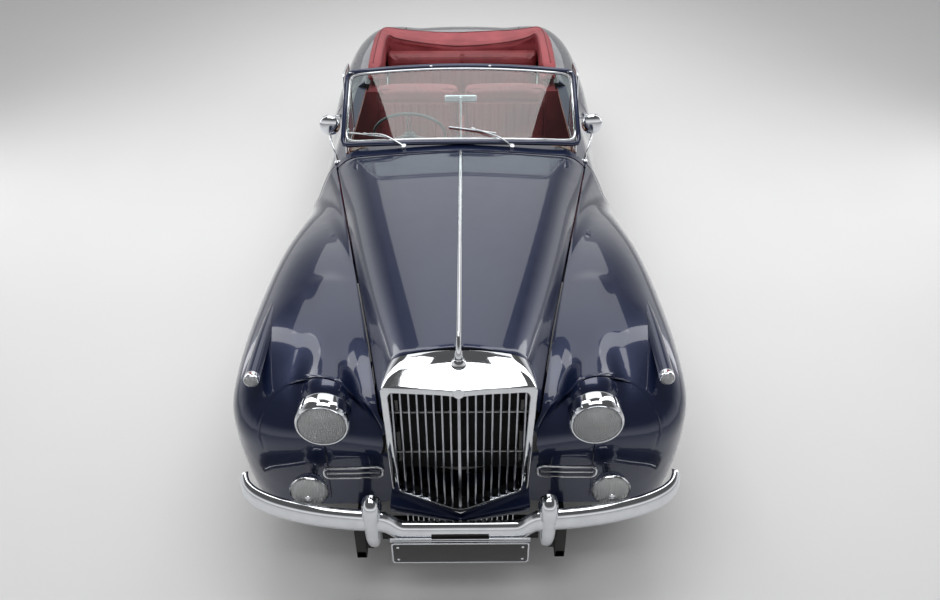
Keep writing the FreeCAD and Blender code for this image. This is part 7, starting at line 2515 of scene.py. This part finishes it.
def makeTailLamp():
    t = tailLamp
    foot = float(castRays(bodyField, [[t["x"], t["castY"], t["z"]]], [[0.0, 1.0, 0.0]], 0.5)[0, 1])
    centre = (t["x"], foot, t["z"])
    rim, glass = ([(y, t["radius"] + more) for y, more in t[name]] for name in ("rim", "lens"))
    glass += t["lensEnds"]
    return [turnedPiece("tailRim", rim, centre, (0, 1, 0), chrome, 64, 34.0, closed=True),
            turnedPiece("tailLens", glass, centre, (0, 1, 0), redGlass, 64, 34.0),
            turnedPiece("tailCentre", t["centre"], centre, (0, 1, 0), amberGlass, 24)]


lampLeft = joined("tail_lamp_left", makeTailLamp())
lampRight = mirrorOf(lampLeft, "tail_lamp_right")
put(lampLeft, "car_body", "chrome", "tail_lamps")
put(lampRight, "car_body", "chrome")


jet = {"x": 0.565, "y": -0.860, "castZ": 0.90,
       "outline": [(-0.002, 0.0), (-0.002, 0.011), (0.002, 0.0105), (0.006, 0.006), (0.013, 0.0052),
                   (0.016, 0.0)]}


def makeJet(x):
    z = float(castRays(bodyField, [[x, jet["y"], jet["castZ"]]], [[0.0, 0.0, 1.0]], 0.5)[0, 2])
    return turnedPiece("jetFoot", jet["outline"], (x, jet["y"], z), (0, 0, 1), chrome, 24)


jets = joined("washer_jets", [makeJet(-jet["x"]), makeJet(jet["x"])])
put(jets, "car_body", "chrome")
print("rear fittings")


# Carpets, sill covers, rear side trims and the shelf behind the rear seat
cabin = {"sillIn": 0.604, "sillLimit": 0.742, "sillTop": 0.470, "sillFoot": 0.330,
         "doorSpace": 0.014, "trimIn": 0.5610, "trimOut": 0.5740, "postFront": 0.600,
         "postRear": 0.626, "postTop": 0.935}


def cabinSlab(name, low, high, radius, material):
    return roundedBox(name, low, high, radius, material, 3)


def sillCover():
    rings = []
    for y in np.linspace(-0.585, 0.598, 40):
        inside = min(surfaceX(min(y, 0.585), z) for z in (0.345, 0.400, cabin["sillTop"]))
        out = min(inside - door["thick"] - cabin["doorSpace"], cabin["sillLimit"])
        near, low, high, r = cabin["sillIn"], cabin["sillFoot"], cabin["sillTop"], 0.010
        rings.append([(near, y, low), (out, y, low), (out, y, high - r),
                      (out - 0.3 * r, y, high - 0.3 * r), (out - r, y, high), (near + r, y, high),
                      (near + 0.3 * r, y, high - 0.3 * r), (near, y, high - r)])
    return ringPiece("sillCover", rings, carpet)


def doorPost():
    rings = []
    for z in np.linspace(0.345, cabin["postTop"], 30):
        out = surfaceX(0.612, z) - 0.012
        near, front, back = cabin["trimIn"], cabin["postFront"], cabin["postRear"]
        rings.append([(near, front + 0.004, z), (near, back, z), (out, back, z),
                      (out, front + 0.004, z), (out - 0.004, front, z), (near + 0.004, front, z)])
    return ringPiece("doorPost", rings, leather)


floorRugs = []
sideTrims = []
for side in (-1, 1):
    def across(a, b):
        return sorted((side * a, side * b))
    for a, b, y0, y1 in ((0.118, 0.600, -0.690, -0.250), (0.118, 0.600, 0.250, 0.552),
                         (0.445, 0.600, -0.250, 0.250)):
        near, far = across(a, b)
        floorRugs.append(cabinSlab("rug", (near, y0, 0.3405), (far, y1, 0.351), 0.004, carpet))
    near, far = across(cabin["trimIn"], cabin["trimOut"])
    sideTrims.append(cabinSlab("sideTrim", (near, 0.628, 0.525), (far, 1.190, 0.935), 0.004,
                               leather))
    near, far = across(cabin["trimOut"] + 0.001, 0.640)
    sideTrims.append(cabinSlab("topTrim", (near, 0.628, 0.915), (far, 1.190, 0.938), 0.004,
                               leather))
cover = sillCover()
post = doorPost()
floorRugs += [cover, mirrorOf(cover, "sillCoverRight")]
sideTrims += [post, mirrorOf(post, "doorPostRight")]
floorRugs.append(cabinSlab("tunnelRug", (-0.108, -0.690, 0.4405), (0.108, 0.552, 0.450), 0.004,
                           carpet))
floorRugs.append(cabinSlab("heelRug", (-0.600, 0.552, 0.345), (0.600, 0.5595, 0.500), 0.003,
                           carpet))
sideTrims.append(cabinSlab("seatShelf", (-0.556, 1.189, 0.975), (0.556, 1.206, 1.000), 0.004,
                           leather))
put(joined("cabin_carpets", floorRugs), "car_body", "leather")
put(joined("cabin_trim_boards", sideTrims), "car_body", "leather")
print("carpets and trims")


# Carried-over frame parts take these finishes
finishes = {"black_metal": underBlack, "iron": iron, "steel": steel, "tyre": rubber,
            "glass": clearGlass, "leather": leather, "hood_cloth": hoodHide, "wood": wood,
            "dark_plastic": rimPlastic, "paint": navy, "chrome": chrome}
slotOf = {s["node"]: s["material_slot"] for s in frame["record"]["subparts"]}
for name, piece in nodes.items():
    piece.data.materials.clear()
    piece.data.materials.append(finishes[slotOf[name]])
    piece.data.polygons.foreach_set("material_index", [0] * len(piece.data.polygons))

# Floor, camera and light
floorMesh = bpy.data.meshes.new("floor")
floorMesh.from_pydata([(60 * math.cos(k * math.pi / 32), 60 * math.sin(k * math.pi / 32), 0)
                       for k in range(64)], [], [list(range(64))])
floorPiece = bpy.data.objects.new("floor", floorMesh)
bpy.context.scene.collection.objects.link(floorPiece)
ground = Finish("paleFloor")
ground.set(Base_Color=ground.blended(ground.noise(0.6, 3.0), shade(0.80, 0.80, 0.80),
                                     shade(0.84, 0.84, 0.84)),
           Roughness=ground.noise(3.0).clamped(0.3, 0.7, 0.6, 0.75))
floorMesh.materials.append(ground.material)

place = Vector((0.03636, -4.6170, 2.9464))
pitch, yaw, roll = (math.radians(a) for a in (35.757, 0.1405, -0.2377))
ahead = Vector((math.sin(yaw) * math.cos(pitch), math.cos(yaw) * math.cos(pitch), -math.sin(pitch)))
right = Vector((math.cos(yaw), -math.sin(yaw), 0))
upward = right.cross(ahead)
right, upward = (right * math.cos(roll) + upward * math.sin(roll),
                 upward * math.cos(roll) - right * math.sin(roll))
lens = bpy.data.cameras.new("camera")
lens.lens = 30.503
lens.sensor_width = 36.0
lens.clip_start = 0.05
camera = bpy.data.objects.new("camera", lens)
turn = Matrix((right, upward, -ahead)).transposed()
camera.matrix_world = Matrix.Translation(place) @ turn.to_4x4()
bpy.context.scene.collection.objects.link(camera)
bpy.context.scene.camera = camera


def softLight(name, where, towards, wide, deep, power, spread=160.0):
    light = bpy.data.lights.new(name, "AREA")
    light.shape = "RECTANGLE"
    light.size = wide
    light.size_y = deep
    light.energy = power
    light.spread = math.radians(spread)
    made = bpy.data.objects.new(name, light)
    aim = (Vector(towards) - Vector(where)).to_track_quat("-Z", "Y")
    made.matrix_world = Matrix.Translation(where) @ aim.to_matrix().to_4x4()
    bpy.context.scene.collection.objects.link(made)
    return made


softLight("overheadMiddle", (0, 3.4, 4.3), (0, 3.0, 0), 4.4, 6.4, 4 * 4.4 * 6.4 * 0.85)
for side in (-1, 1):
    softLight("overheadSide", (side * 3.6, 0.6, 3.2), (side * 0.5, -0.2, 0.6), 0.8, 6.8,
              4 * 0.8 * 6.8 * 2.0)
softLight("screenBox", (0, -1.6, 5.3), (0, -1.5, 0.0), 3.8, 2.4, 4 * 3.8 * 2.4 * 2.1)
world = bpy.data.worlds.new("world")
world.use_nodes = True
bpy.context.scene.world = world
tree = world.node_tree
background = tree.nodes["Background"]
path = tree.nodes.new("ShaderNodeLightPath")
seen = tree.nodes.new("ShaderNodeMath")
seen.operation = "MAXIMUM"
tree.links.new(path.outputs["Is Camera Ray"], seen.inputs[0])
tree.links.new(path.outputs["Is Glossy Ray"], seen.inputs[1])
shown = tree.nodes.new("ShaderNodeMath")
shown.operation = "MAXIMUM"
tree.links.new(seen.outputs[0], shown.inputs[0])
tree.links.new(path.outputs["Is Transmission Ray"], shown.inputs[1])
lookAt = tree.nodes.new("ShaderNodeTexCoord")
parts = tree.nodes.new("ShaderNodeSeparateXYZ")
tree.links.new(lookAt.outputs["Generated"], parts.inputs[0])
wall = tree.nodes.new("ShaderNodeMapRange")
tree.links.new(parts.outputs["Z"], wall.inputs[0])
for k, value in enumerate((0.16, 0.50, 0.82, 0.10)):
    wall.inputs[k + 1].default_value = value
mix = tree.nodes.new("ShaderNodeMix")
mix.data_type = "FLOAT"
tree.links.new(shown.outputs[0], mix.inputs[0])
mix.inputs[2].default_value = 0.42
tree.links.new(wall.outputs[0], mix.inputs[3])
background.inputs["Color"].default_value = (1.0, 1.0, 1.0, 1.0)
tree.links.new(mix.outputs[0], background.inputs["Strength"])
bpy.context.scene.view_settings.view_transform = "Standard"
